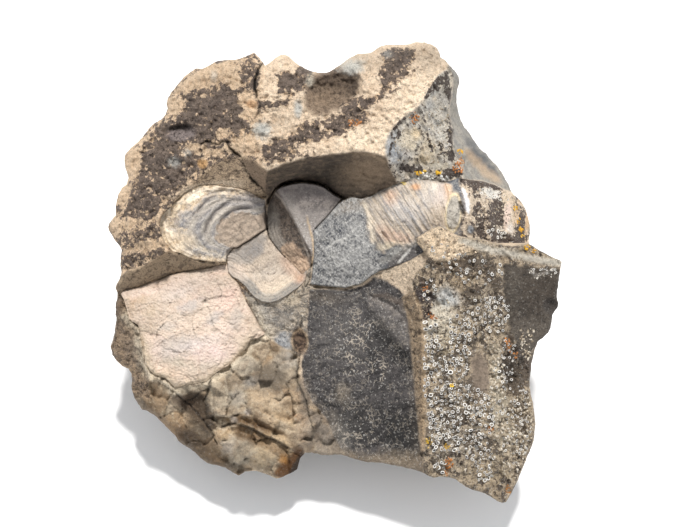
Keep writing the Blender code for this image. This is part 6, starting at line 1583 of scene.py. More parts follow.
def paint_lobe(p):
    x, y = p.x, p.y
    n = fbm(2, x / 12, y / 12, octaves=3)
    f = fbm(5, x / 4, y / 4, octaves=3)
    p.a[:] = lin(122, 114, 108)
    p.b[:] = lin(90, 84, 81)
    p.cov[:] = 0.45 + 0.4 * n
    p.grain[:] = 0.4
    p.speck[:] = 0.10
    p.rough[:] = 0.62
    p.bump[:] = 0.35
    # painted shadow of the overhang across the top of the lobe
    q = smooth((206 - y) / 10)
    p.tint(q * 0.5, lin(100, 92, 90))
    p.lay(smooth((y - 212) / 14) * smooth((x - 290) / 6), speck=0.6)
    p.tint(smooth((y - 204) / 14) * smooth((x - 290) / 8) * 0.7, lin(158, 150, 144))
    p.tint(blob(x, y, 292, 206, 6, 10, -30, soft=0.9, wobble=0.4) * 0.5, lin(152, 144, 138))
    c = PATCH["crescent"]
    m = zone(x, y, c, 1.2)
    p.lay(m, lin(96, 84, 74), lin(62, 54, 48), cov=0.5, grain=0.4, speck=0.10)
    d, _, arc = seg_distance(x, y, [(268,212),(268.5,229),(270,238),(275,246),(280,252),(285,257),(291,263),(298,270)])
    strip = smooth((x - 266) / 1.5) * smooth((13 - d + 3 * n) / 5) * smooth((arc + 4) / 8)
    p.tint(strip * 0.75, lin(136, 128, 118))
    p.tint(strip * smooth(0.5 + 0.9 * np.sin((d + 2.5 * n) * 2 * math.pi / 3.1 + 3.0)) * 0.32, lin(92, 86, 80))
    q = zone(x + 4 * f, y + 4 * n, [(281,246),(292,242),(300,250),(306,258),(310,268),(306,278),(300,276),(292,267),(284,258)], 2.0)
    p.lay(q, lin(166, 142, 120), lin(132, 110, 92), cov=0.4, grain=0.45, speck=0.05)
    p.tint(q * smooth((f - 0.05) / 0.1) * 0.4, lin(196, 166, 140))
    p.tint(q * blob(x, y, 290, 252, 9, 5, 30, soft=0.7, wobble=0.6) * 0.6, lin(104, 90, 76))
    for pts in ([(283,250),(289,258),(296,268),(303,276)],[(294,246),(300,254),(306,262)]):
        p.tint(stroke(x + 1.5 * f, y, pts, 0.6) * 0.5, lin(92, 74, 60))
    # painted highlight along the ridge between the crescent and the outer face
    p.tint(stroke(x, y, [(274,192),(281,199),(287,209),(294,220),(300,233),(305,246),(309,256)], 0.9, wobble=1.0, taper=False)
           * 0.5, lin(164, 154, 144))
    p.tint(stroke(x, y, [(280,196),(288,203),(294,210),(300,222),(305,236),(309,250)], 4.0, soft=1.0, wobble=0.6, taper=False)
           * smooth((x - 283 - 0.55 * (y - 200)) / 3.0) * 0.45, lin(160, 152, 144))
    d, _, arc = seg_distance(x + 0.8 * f, y, VEIN)
    p.tint(np.exp(-(d / 1.1) ** 2) * (0.75 + 0.6 * fbm(3, x / 3, y / 3)) * smooth((arc + 2) / 6), lin(196, 170, 136))
    p.tint(stroke(x, y, [(280,187),(288,185.5),(305,183),(316,185),(326,189),(334,195),(340,199)], 1.1, wobble=1.0) * 0.4,
           lin(150, 140, 132))


def paint_whorl(p):
    x, y = p.x, p.y
    x0 = slant(x, y)
    nac = nacre_mask(x, y)
    n = fbm(2, x / 10, y / 10, octaves=3)
    f = fbm(5, x / 3.2, y / 3.2, octaves=3)
    sw = fbm(4, x / 7, y / 7, octaves=4)
    # mottled cast of the body chamber
    p.a[:] = lin(84, 86, 92)
    p.b[:] = lin(126, 126, 125)
    p.cov[:] = 0.40 + 0.6 * sw + 0.3 * f
    p.grain[:] = 0.55
    p.speck[:] = 0.36
    p.rough[:] = 0.6
    p.bump[:] = 0.45
    cast = 1 - nac
    p.shade(cast * 0.14)
    p.lay(cast, speck=0.30)
    p.shade(nac * smooth((404 - x) / 20) * 0.12)
    p.tint(nac * blob(x, y, 444, 196, 12, 16, 0, soft=1.0) * 0.35, lin(206, 194, 182))
    p.lay(zone(x, y, [(344,199),(362,198),(366,204),(366,212),(352,212),(340,214),(333,218),(334,212)], 2.5, 2) * 0.8,
          lin(138, 126, 112), lin(112, 105, 98), speck=0.12)
    for cx, cy, rx, ry, t, amt, c in [(343,229,15,7,-35,0.85,(62,66,76)),(330,222,7,10,20,0.5,(74,78,86)),(362,222,8,14,0,0.4,(84,85,90)),
                                      (322,272,10,14,0,0.5,(76,78,82)),(372,262,12,10,0,0.45,(84,83,84)),(340,280,20,6,0,0.4,(92,92,94)),
                                      (356,262,10,8,0,0.35,(84,85,88)),(320,250,6,14,0,0.35,(80,80,84)),(345,260,13,13,0,0.3,(84,84,88)),(364,236,6,8,0,0.4,(88,88,92))]:
        p.tint(cast * blob(x, y, cx, cy, rx, ry, t, soft=0.8, wobble=0.8, size=5) * amt, lin(*c))
    for cx, cy, rx, ry, t, amt in [(322,216,5,7,30,0.6),(331,210,8,4,-30,0.5),(318,232,3,6,10,0.5),(356,228,6,7,-40,0.55),
                                   (352,252,14,8,-45,0.3),(345,262,10,10,0,0.3),(366,246,5,7,0,0.5),(372,268,6,5,-40,0.3)]:
        p.tint(cast * blob(x, y, cx, cy, rx, ry, t, soft=0.9, wobble=1.4, size=3) * amt, lin(196, 194, 190))
    # pale scratches
    for half, amt, pts in [(1.3,0.8,[(326,248),(334,243),(343,239),(350,235),(355,229)]),(1.0,0.7,[(317,228),(321,220),(326,214),(335,211)]),
                           (0.7,0.7,[(330,247),(332,254),(334,261),(338,266)]),(0.9,0.6,[(318,243),(324,250),(330,256)]),
                           (0.7,0.6,[(340,262),(348,256),(356,250),(364,243)]),(0.7,0.5,[(334,268),(344,262),(352,260)]),
                           (0.6,0.6,[(350,240),(356,238),(362,232)]),(0.6,0.5,[(322,262),(326,270),(328,276)]),
                           (0.8,0.6,[(356,268),(362,262),(370,258)]),(0.6,0.5,[(344,224),(350,220),(356,216)]),
                           (0.7,0.5,[(312,256),(318,258),(324,258)]),(0.6,0.5,[(338,274),(346,272),(354,274)])]:
        p.tint(cast * stroke(x + 2.5 * f, y + 2.5 * n, pts, half, soft=0.7, wobble=1.4) * amt, lin(214, 211, 205))
    for k, u, v, c0 in ((5, (x + y) / 15, (x - y) / 3.6, 0.52), (2, (x - y) / 15, (x + y) / 3.6, 0.60), (7, x / 3.4, y / 14, 0.62)):
        rd = ridged(k, u, v, octaves=2)
        p.tint(cast * smooth((384 - x) / 8) * np.clip((rd - c0) / 0.22, 0, 1) * 0.42, lin(204, 201, 196))
    p.tint(stroke(x, y, [(308,285),(320,287),(333,288),(345,289),(356,286.5),(364,283),(372,276)], 1.3, wobble=0.8) * 0.6,
           lin(176, 158, 124))
    p.tint(stroke(x, y, [(312,262),(310,270),(308,280),(309,285)], 1.0, wobble=0.6, taper=False) * 0.6, lin(150, 138, 118))
    # pearly shell
    soft = zone(x + 11 * fbm(6, x / 12, y / 12, octaves=4), y + 6 * fbm(4, x / 7, y / 7, octaves=4), NACRE, 4.0)
    streaks = growth_streaks(x, y, x0)
    fine = np.sin((x0 + 2.0 * fbm(2, x / 18, y / 18, octaves=3)) * 2 * math.pi / 2.9 + 0.6)
    p.lay(soft, lin(196, 180, 160), lin(170, 156, 141), cov=0.45, grain=0.45, speck=0.22, rough=0.42, bump=0.3)
    p.tint(soft * smooth(0.35 + 2.4 * streaks) * 0.55, lin(146, 145, 146))
    p.tint(soft * smooth((streaks - 0.12) / 0.1) * 0.35, lin(110, 103, 98))
    p.tint(soft * smooth((-streaks - 0.10) / 0.12) * 0.45, lin(206, 190, 170))
    p.tint(soft * (0.5 + 0.5 * fine) * (0.12 + 0.3 * np.clip(f + 0.2, 0, 1)), lin(134, 122, 112))
    p.tint(soft * smooth((fbm(6, x0 / 9, y / 24, octaves=3) - 0.06) / 0.06) * 0.35, lin(224, 208, 188))
    nac = np.maximum(nac, 0.3 * soft)
    p.shade(soft * (0.20 + 0.16 * smooth((400 - x) / 24) - 0.05 * smooth((x - 436) / 12)))
    p.shade((1 - soft) * smooth((420 - x) / 20) * 0.34)
    for cx, cy, rx, ry, t, amt, c in [(391,197,6,7,0,0.5,(186,146,118)),(388,234,13,6,35,0.5,(186,152,130)),(402,238,8,5,10,0.4,(196,160,138)),
                                      (416,187,4,3,0,0.6,(206,146,88)),(405,212,20,10,20,0.3,(158,162,170)),
                                      (374,212,5,14,0,0.3,(150,140,128)),(428,200,8,14,-20,0.3,(164,164,168)),
                                      (372,226,4,10,0,0.4,(206,190,168)),(440,190,5,10,-10,0.45,(190,176,168)),
                                      (448,190,3.5,9,-8,0.6,(206,166,128)),(434,187,3,6,0,0.5,(214,206,192)),
                                      (438,214,10,12,0,0.35,(196,172,142)),(440,198,8,9,0,0.45,(180,168,162)),(390,246,12,4,-14,0.5,(204,190,164))]:
        p.tint(nac * blob(x, y, cx, cy, rx, ry, t, soft=0.8, wobble=0.7, size=4) * amt, lin(*c))
    p.tint(stroke(x, y, [(364,202),(368,214),(371,230),(373,243)], 1.8, wobble=1.2, taper=False) * 0.35, lin(226, 212, 190))
    # painted shade on the underside beside the step
    p.tint(zone(x, y, [(388,262),(398,252),(408,248),(416,246),(424,252),(414,259),(400,265),(388,269)], 2.0, 3.0, 5) * 0.7, lin(84, 78, 74))
    p.tint(stroke(x + f, y + f, [(398,263),(402,258),(406,254),(411,248)], 1.4, wobble=1.2) * 0.7, lin(196, 193, 187))
    p.tint(zone(x, y, [(378,262),(390,250),(402,246),(412,243),(417,240),(418,244),(408,250),(394,258),(384,266)], 2.0, 2.0) * 0.35,
           lin(170, 166, 158))
    # far end: pale ribs and dark crust
    q = smooth((x - 457 + 4 * n) / 6)
    p.lay(q, lin(206, 188, 166), lin(84, 73, 66), cov=0.42, grain=0.7, speck=0.35, rough=0.85, bump=0.7)
    rib = np.cos((x - 0.14 * (y - 205) - 466.5) * 2 * math.pi / 20.7)
    col = fbm(7, (x - 0.14 * (y - 205)) / 3.0, y / 14.0, octaves=3)
    p.lay(q * smooth(0.5 + 2.5 * n) * 0.5, a=lin(168, 150, 130))
    p.cov += q * (-0.22 * rib + 0.45 * f + 0.25 * n + 0.5 * col)
    for cx, cy, rx, ry, t, amt in [
            (494.5,216,7.5,12,6,1.0),(496,206,5,8,0,0.8),(477,212,5,10,4,0.25),(520.5,224,4,12,6,0.97),(524,236,4,6,0,0.8),(514,238,13,5,8,0.95),(499,236,10,6,0,0.85),
            (480,184,14,4,10,0.8),(466,181,10,3.2,6,0.9),(500,191,7,2.6,20,0.5),(480,232,7,5,0,0.6),(490,231,7,4,0,0.5),(486,198,4,4,0,0.4),
            (516,214,2.4,8,8,0.5)]:
        d = q * blob(x, y, cx, cy, rx, ry, t, soft=0.6, wobble=0.9, size=4) * amt
        p.cov += (np.maximum(p.cov, 0.90 - 0.35 * np.clip(col, -0.1, 0.6)) - p.cov) * d
        p.lay(d, speck=0.25)
    for cx, cy, rx, ry, t, amt, c in [
            (507.5,213,3.4,15,8,0.9,(222,198,184)),(510.5,228,3.4,6,0,0.8,(214,206,198)),(491,193,10,4.5,12,0.8,(212,210,204)),
            (517,212,3,15,12,0.6,(206,176,142)),(527.6,220,2.0,18,8,0.75,(200,164,122)),(509,199,7,5,30,0.6,(200,180,152)),
            (500,229,4,2.6,0,0.5,(192,188,180)),(472,202,3.4,9,4,0.4,(176,162,144)),(481,197,5,4,0,0.4,(190,180,166)),
            (486,207,2.0,7,4,0.3,(170,156,138))]:
        d = q * blob(x, y, cx, cy, rx, ry, t, soft=0.6, wobble=0.8, size=4) * amt
        p.lay(d, a=lin(*c))
        p.cov += (np.minimum(p.cov, 0.15) - p.cov) * d
    # a little painted shade where the far end rolls away to the right
    p.shade(q * smooth((x - 510) / 14) * 0.10)
    e = np.hypot((x - 453.5) + (y - 212) * 0.08, (y - 213) * 0.40) / 7.6 + 0.08 * fbm(2, x / 5, y / 5, octaves=2)
    m = smooth((1.02 - e) / 0.12)
    p.lay(m, lin(158, 151, 140), lin(130, 124, 116), cov=0.4, grain=0.6, speck=0.15, rough=0.6, bump=0.35)
    p.tint(np.exp(-((e - 1.0) / 0.11) ** 2) * 0.7, lin(216, 196, 158))
    # white nacre streak with a painted highlight on it
    p.lay(stroke(x, y, [(462.5,188),(465,194),(467.4,203),(468.6,213)], 2.1, soft=0.5, wobble=0.8, size=3), lin(206, 206, 207), lin(168, 169, 172), cov=0.3, grain=0.4, speck=0.0, rough=0.45, bump=0.3)
    p.tint(stroke(x, y, [(459.5,188),(461.5,195),(463.5,203),(465.5,211)], 1.7) * 0.75, lin(96, 101, 112))
    # painted shade in the slit
    p.tint(stroke(x, y, [(460,203),(461.5,208),(463.5,214)], 2.0) * 0.95, lin(52, 50, 52))
    p.tint(blob(x, y, 470.5, 229.5, 5, 5.6, 0, soft=0.4, wobble=0.4) * 0.8, lin(58, 53, 52))
    p.tint(blob(x, y, 470.5, 229, 2.6, 3.4, 0, soft=0.5, wobble=0.3) * 0.9, lin(168, 172, 176))
    p.tint(blob(x, y, 471.4, 230.6, 1.2, 1.6, 0, soft=0.6) * 0.8, lin(70, 70, 76))


def paint_plate(p):
    x, y = p.x, p.y
    n = fbm(2, x / 16, y / 16, octaves=3)
    m = fbm(5, x / 6, y / 6, octaves=4)
    p.a[:] = lin(236, 214, 194)
    p.b[:] = lin(214, 188, 168)
    p.cov[:] = 0.38 + 0.4 * n
    p.grain[:] = 0.28
    p.speck[:] = 0.12
    p.rough[:] = 0.5
    p.bump[:] = 0.3
    p.tint(smooth((m - 0.05) / 0.2) * 0.35, lin(196, 180, 164))
    p.tint(smooth((n - 0.05) / 0.3) * 0.35, lin(244, 216, 202))
    (b1, b2, bv), (s1, s2, sv) = flakes(x, y)
    p.tint(np.clip(bv - 0.55, 0, 1) * 0.9, lin(198, 178, 160))
    p.tint(np.clip(0.4 - bv, 0, 1) * 0.9, lin(246, 218, 206))
    p.tint(np.clip(sv - 0.6, 0, 1) * 0.8, lin(190, 176, 160))
    p.tint((1 - smooth((b2 - b1) / 0.9)) * smooth((fbm(2, x / 12, y / 12, octaves=2) - 0.05) / 0.15) * 0.4, lin(150, 126, 104))
    p.tint((1 - smooth((s2 - s1) / 0.6)) * smooth((fbm(3, x / 10, y / 10, octaves=2) - 0.1) / 0.15) * 0.3, lin(166, 144, 124))
    p.net[:] = 0.25
    for cx, cy, rx, ry, t, amt, c in [
            (212,352,20,6,-8,0.5,(248,216,208)),(230,298,8,14,30,0.5,(246,206,190)),(178,284,24,6,-12,0.5,(246,222,206)),
            (150,330,9,18,0,0.3,(206,176,148)),(196,324,18,10,0,0.3,(222,200,180)),(160,300,16,6,-10,0.3,(212,190,168)),
            (240,344,12,8,-40,0.4,(206,184,158)),(252,324,7,10,-30,0.4,(194,170,144)),(170,372,16,6,18,0.45,(222,190,160)),
            (200,372,16,5,-16,0.4,(206,182,158)),(226,332,12,10,0,0.35,(240,214,200)),(132,306,7,10,-20,0.5,(198,170,140)),
            (196,290,16,6,0,0.3,(232,206,188)),(221,274,10,5,0,0.35,(226,196,172)),(182,340,14,6,-10,0.3,(206,188,170))]:
        p.tint(blob(x, y, cx, cy, rx, ry, t, soft=0.9, wobble=0.5, size=7) * amt, lin(*c))
    for cx, cy, rx, ry, t, amt, c in [
            (190,306,12,5,-24,0.5,(186,182,182)),(214,318,10,5,-40,0.5,(190,186,184)),(168,326,10,4,-20,0.45,(190,184,178)),
            (236,318,6,10,20,0.45,(186,180,174)),(176,362,16,5,12,0.5,(192,180,160)),(206,366,14,4,-14,0.45,(188,178,162)),
            (150,312,8,5,-20,0.5,(204,180,150)),(140,300,10,4,-16,0.5,(190,160,128)),(146,350,6,12,0,0.4,(206,188,160)),
            (160,284,14,3,-14,0.4,(206,176,150)),(200,342,20,5,-14,0.5,(244,226,218)),(178,294,16,5,-20,0.4,(244,230,222))]:
        p.tint(blob(x, y, cx, cy, rx, ry, t, soft=0.7, wobble=0.9, size=5) * amt, lin(*c))
    for cx, cy in [(192,283),(204,301),(176,296),(214,330),(160,312),(186,352),(228,318),(150,356),(202,340),(238,330)]:
        p.tint(blob(x, y, cx, cy, 3.4, 1.6, 15, soft=0.6, wobble=0.6, size=3) * 0.5, lin(150, 136, 120))
    # painted shade along the cracks
    for half, pts in PLATE_CRACKS:
        wx = x + 1.3 * fbm(3, x / 4, y / 4, octaves=2)
        wy = y + 1.3 * fbm(5, x / 4, y / 4, octaves=2)
        p.shade(stroke(wx, wy, pts, half) * 0.35)
    p.shade(blob(x, y, 190, 285, 30, 12, -12, soft=1.0) * 0.12)
    p.tint(blob(x, y, 150, 318, 12, 14, 0, soft=1.0, wobble=0.4) * 0.25, lin(198, 184, 162))
    p.tint(blob(x, y, 212, 352, 18, 12, 0, soft=1.0, wobble=0.4) * 0.3, lin(236, 214, 210))
    e = inset(x, y, PLATE) + 3.0 * fbm(2, x / 6, y / 6, octaves=3)
    low = smooth((y - (300 + 0.1 * x)) / 30)
    p.tint(smooth((9.0 - e) / 9.0) * (0.25 + 0.55 * low), lin(204, 184, 156))
    p.tint(low * smooth((n + 0.1) / 0.3) * 0.3, lin(206, 188, 166))
    p.tint(blob(x, y, 178, 346, 20, 9, -10, soft=0.9, wobble=0.6) * 0.4, lin(186, 184, 186))
    p.shade(np.full(x.shape, 0.33))
    p.shade(smooth((300 - 0.1 * x - y + 20) / 40) * 0.10)
    # painted shade in the pin-hole
    p.shade(np.exp(-((x - 205) ** 2 + (y - 301) ** 2) / 2.2) * 0.7)


# ---------------------------------------------------------------- meshes
LO = np.array(CAD_BOX[0]) * 1000.0 + 0.02
HI = np.array(CAD_BOX[1]) * 1000.0 - 0.02


def resample(pts, step):
    """Closed outline with points every step or so."""
    p = np.asarray(pts, dtype=float)
    q = np.roll(p, -1, axis=0)
    out = []
    for a, b in zip(p, q):
        n = max(1, int(round(np.hypot(*(b - a)) / step)))
        for i in range(n):
            out.append(a + (b - a) * i / n)
    return np.array(out)


def grid_points(outline, cell, clear):
    p = np.asarray(outline, dtype=float)
    lo, hi = p.min(axis=0), p.max(axis=0)
    rows = []
    for j, y in enumerate(np.arange(lo[1] + cell * 0.5, hi[1], cell * 0.87)):
        xs = np.arange(lo[0] + cell * (0.25 + 0.5 * (j % 2)), hi[0], cell)
        rows.append(np.stack([xs, np.full(xs.shape, y)], 1))
    g = np.concatenate(rows)
    return g[inset(g[:, 0], g[:, 1], outline) > clear]


def triangulate(outline, inner):
    n = len(outline)
    verts = [Vector((float(a), float(b))) for a, b in outline] + [Vector((float(a), float(b))) for a, b in inner]
    edges = [(i, (i + 1) % n) for i in range(n)]
    co, _, faces, _, _, _ = delaunay_2d_cdt(verts, edges, [list(range(n))], 1, 0.001)
    return np.array([(q.x, q.y) for q in co]), [tuple(f) for f in faces]


def volume(v, tris):
    a, b, c = v[tris[:, 0]], v[tris[:, 1]], v[tris[:, 2]]
    return np.einsum("ij,ij->i", a, np.cross(b, c)).sum() / 6.0


def piece(name, verts_mm, tris, paint, material, node, smooth_angle=None):
    """A closed mesh with its finish stored per vertex."""
    tris = np.asarray(tris, dtype=np.int64)
    verts = np.clip(np.asarray(verts_mm, dtype=float), LO, HI)
    if volume(verts, tris) < 0:
        tris = tris[:, ::-1]
    mesh = bpy.data.meshes.new(name)
    mesh.vertices.add(len(verts))
    mesh.vertices.foreach_set("co", (verts / 1000.0).astype(np.float32).ravel())
    mesh.loops.add(tris.size)
    mesh.loops.foreach_set("vertex_index", tris.astype(np.int32).ravel())
    mesh.polygons.add(len(tris))
    mesh.polygons.foreach_set("loop_start", np.arange(0, tris.size, 3, dtype=np.int32))
    mesh.polygons.foreach_set("loop_total", np.full(len(tris), 3, dtype=np.int32))
    mesh.update(calc_edges=True)
    mesh.validate()
    one = np.ones((len(verts), 1))
    for attr, data in (("shade_a", paint.a), ("shade_b", paint.b),
                       ("fin_1", np.stack([paint.cov, paint.grain, paint.speck], 1)),
                       ("fin_2", np.stack([paint.rough, paint.bump, paint.net], 1))):
        layer = mesh.attributes.new(attr, "FLOAT_COLOR", "POINT")
        layer.data.foreach_set("color", np.concatenate([np.clip(data, 0, 1), one], 1).astype(np.float32).ravel())
    mesh.shade_smooth()
    obj = bpy.data.objects.new(name, mesh)
    bpy.context.scene.collection.objects.link(obj)
    mesh.materials.append(material)
    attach(obj, "root")
    if node:
        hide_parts(node)
    return obj


# ---------------------------------------------------------------- materials
def stone(name, scale=1.0, speck_colour=WHITE, coat=0.0, contrast=1.0, net_colour=lin(186, 174, 158), net_size=1.35, relief=1.0):
    """Rock or shell: two stored colours in a crisp fractal mix, with grain,
    dark pits, pale specks and bump, each as strong as the mesh says."""
    mat = bpy.data.materials.new(name)
    mat.use_nodes = True
    nt = mat.node_tree
    bsdf = nt.nodes["Principled BSDF"]
    bsdf.inputs["Specular IOR Level"].default_value = 0.35
    if coat:
        bsdf.inputs["Coat Weight"].default_value = coat
        bsdf.inputs["Coat Roughness"].default_value = 0.35

    def node(kind, **props):
        n = nt.nodes.new(kind)
        for k, v in props.items():
            setattr(n, k, v)
        return n

    def link(a, b):
        nt.links.new(a, b)

    def attr(key):
        return node("ShaderNodeAttribute", attribute_name=key, attribute_type="GEOMETRY")

    def maths(op, a, b=None, c=None, clamp=False):
        n = node("ShaderNodeMath", operation=op, use_clamp=clamp)
        for i, v in enumerate((a, b, c)):
            if v is None:
                continue
            if isinstance(v, (int, float)):
                n.inputs[i].default_value = v
            else:
                link(v, n.inputs[i])
        return n.outputs[0]

    def noise(size, detail, rough=0.6, distort=0.0, offset=0.0):
        """size: feature size in mm"""
        m = node("ShaderNodeMapping")
        m.inputs["Scale"].default_value = (1000.0 / size,) * 3
        m.inputs["Location"].default_value = (offset, offset * 0.7, -offset)
        link(coords.outputs["Object"], m.inputs["Vector"])
        n = node("ShaderNodeTexNoise")
        n.inputs["Scale"].default_value = 1.0
        n.inputs["Detail"].default_value = detail
        n.inputs["Roughness"].default_value = rough
        n.inputs["Distortion"].default_value = distort
        link(m.outputs[0], n.inputs["Vector"])
        return n.outputs["Fac"]

    def step(value, lo, hi):
        n = node("ShaderNodeMapRange", interpolation_type="SMOOTHSTEP")
        link(value, n.inputs["Value"])
        for key, v in (("From Min", lo), ("From Max", hi)):
            if isinstance(v, (int, float)):
                n.inputs[key].default_value = v
            else:
                link(v, n.inputs[key])
        return n.outputs["Result"]

    def mix(fac, a, b):
        n = node("ShaderNodeMix", data_type="RGBA")
        link(fac, n.inputs["Factor"])
        for key, v in ((6, a), (7, b)):
            if isinstance(v, np.ndarray):
                n.inputs[key].default_value = (*[float(q) for q in v], 1.0)
            else:
                link(v, n.inputs[key])
        return n.outputs[2]

    def times(colour, factor):
        n = node("ShaderNodeVectorMath", operation="SCALE")
        link(colour, n.inputs[0])
        link(factor, n.inputs["Scale"])
        return n.outputs[0]

    coords = node("ShaderNodeTexCoord")
    f1 = node("ShaderNodeSeparateColor")
    link(attr("fin_1").outputs["Color"], f1.inputs[0])
    f2 = node("ShaderNodeSeparateColor")
    link(attr("fin_2").outputs["Color"], f2.inputs[0])
    cov, grain, speck = f1.outputs[0], f1.outputs[1], f1.outputs[2]
    rough, bump, net = f2.outputs[0], f2.outputs[1], f2.outputs[2]

    n1 = noise(1.5 * scale, 7.0, 0.68, 0.4)
    n2 = noise(0.42 * scale, 4.0, 0.6, 0.0, 3.1)
    n3 = noise(0.75 * scale, 3.0, 0.55, 0.6, 7.7)
    n4 = noise(0.60 * scale, 4.0, 0.6, 0.3, 12.9)
    thr = maths("MULTIPLY_ADD", cov, -0.46, 0.73)
    mask = step(n1, maths("ADD", thr, -0.045), maths("ADD", thr, 0.045))
    colour = mix(mask, attr("shade_a").outputs["Color"], attr("shade_b").outputs["Color"])
    g = maths("MULTIPLY_ADD", maths("MULTIPLY", maths("SUBTRACT", n2, 0.5), grain), 2.6 * contrast, 1.0)
    g = maths("MAXIMUM", g, 0.15)
    pit = maths("MULTIPLY", step(n3, 0.42, 0.33), grain)
    g = maths("MULTIPLY", g, maths("MULTIPLY_ADD", pit, -0.65 * contrast, 1.0))
    colour = times(colour, g)
    s = maths("MULTIPLY", step(n4, 0.585, 0.64), speck)
    colour = mix(s, colour, speck_colour)
    # a broken net of fine lines
    warp = node("ShaderNodeVectorMath", operation="MULTIPLY_ADD")
    wn = node("ShaderNodeTexNoise")
    wn.inputs["Scale"].default_value = 1000.0 / (1.6 * scale)
    wn.inputs["Detail"].default_value = 3.0
    link(coords.outputs["Object"], wn.inputs["Vector"])
    link(wn.outputs["Color"], warp.inputs[0])
    warp.inputs[1].default_value = (0.0016, 0.0016, 0.0016)
    link(coords.outputs["Object"], warp.inputs[2])
    vor = node("ShaderNodeTexVoronoi", feature="DISTANCE_TO_EDGE")
    vor.inputs["Scale"].default_value = 1000.0 / net_size
    link(warp.outputs[0], vor.inputs["Vector"])
    n5 = noise(2.6 * scale, 3.0, 0.6, 0.0, 21.3)
    line = maths("MULTIPLY", step(vor.outputs["Distance"], 0.11, 0.02), step(n5, 0.47, 0.58))
    line = maths("MULTIPLY", line, net)
    colour = mix(line, colour, net_colour)
    link(colour, bsdf.inputs["Base Color"])
    link(rough, bsdf.inputs["Roughness"])
    h = maths("ADD", maths("MULTIPLY", n1, 1.1), maths("MULTIPLY", n2, 0.45))
    h = maths("ADD", h, maths("MULTIPLY", pit, -0.35))
    b = node("ShaderNodeBump")
    b.inputs["Distance"].default_value = 0.0026 * scale * relief
    link(h, b.inputs["Height"])
    link(bump, b.inputs["Strength"])
    link(b.outputs["Normal"], bsdf.inputs["Normal"])
    return mat


def jitter(rim, amount):
    """Roughen an outline inwards a little."""
    p = np.asarray(rim)
    c = np.array(SEAT_CENTRE)
    d = p - c
    r = np.hypot(d[:, 0], d[:, 1])
    n = amount * np.clip(0.5 + 1.1 * fbm(2, p[:, 0] / 4.0, p[:, 1] / 4.0, octaves=3), 0, 1.2)
    for k in (p[:, 0].argmin(), p[:, 0].argmax(), p[:, 1].argmin(), p[:, 1].argmax()):
        n *= smooth(np.hypot(p[:, 0] - p[k, 0], p[:, 1] - p[k, 1]) / 12.0)
    return p - d / r[:, None] * n[:, None]


FINE = 1.52        # spacing of the block's face, grid units
RIM_FINE = 2.6
FLANK_LEVELS = 54
FOSSILS = (RIBBED, SPOON, LOBE, WHORL, PLATE)


def under_fossils(x, y):
    """Inset distance within whichever piece of ammonite covers a point."""
    best = np.full(x.shape, -9.0)
    for o in FOSSILS:
        i = near_box(x, y, o, 4)
        if len(i):
            best[i] = np.maximum(best[i], inset(x[i], y[i], o))
    return best


def surface(x, y, z):
    """Depth of the block's visible face, rock only."""
    w = face_depth(x, y) + ground(x, y, z) * smooth((inset(x, y, OUTLINE) - 0.2) / 3.0) + seam_cuts(x, y)
    return w - 1.7 * smooth((under_fossils(x, y) + 0.8) / 2.6)


def chips(u, v, seed):
    """Tilted broken facets of two sizes: depth in mm, closeness to a joint and
    a value for each facet."""
    wu = u + 4.0 * fbm(3, u / 13, v / 13, octaves=3)
    wv = v + 4.0 * fbm(6, u / 12, v / 12, octaves=3)
    depth, joint = np.zeros(u.shape), np.zeros(u.shape)
    for s, size, tilt, high, amt in ((seed, 17.0, 0.17, 2.0, 1.0), (seed + 3, 7.0, 0.15, 0.8, 0.9), (seed + 5, 3.4, 0.12, 0.3, 0.8)):
        e, val, du, dv = plates(s, wu, wv, size)
        a = val * 61.0
        depth += amt * (high * val + tilt * (du * np.cos(a) + dv * np.sin(a)) * smooth(e / 0.5))
        open_joint = (1.0 - smooth(e / (0.045 * size + 0.35))) * smooth(0.4 + 2.4 * fbm(s % 8, u / 11, v / 11, octaves=2))
        depth += 0.35 * amt * open_joint
        joint = np.maximum(joint, open_joint * amt)
    return depth, joint, val


def flank_facets(pos):
    """Broken facets seen on whichever side faces the point."""
    x, y, z = pos[:, 0], pos[:, 1], pos[:, 2]
    share = smooth((x * x / (x * x + y * y + 1e-6) - 0.35) / 0.3)
    d1, j1, v1 = chips(x, z * 1.25, 3)
    d2, j2, v2 = chips(y + 90.0, z * 1.25, 4)
    return d1 * (1 - share) + d2 * share, j1 * (1 - share) + j2 * share, v1 * (1 - share) + v2 * share


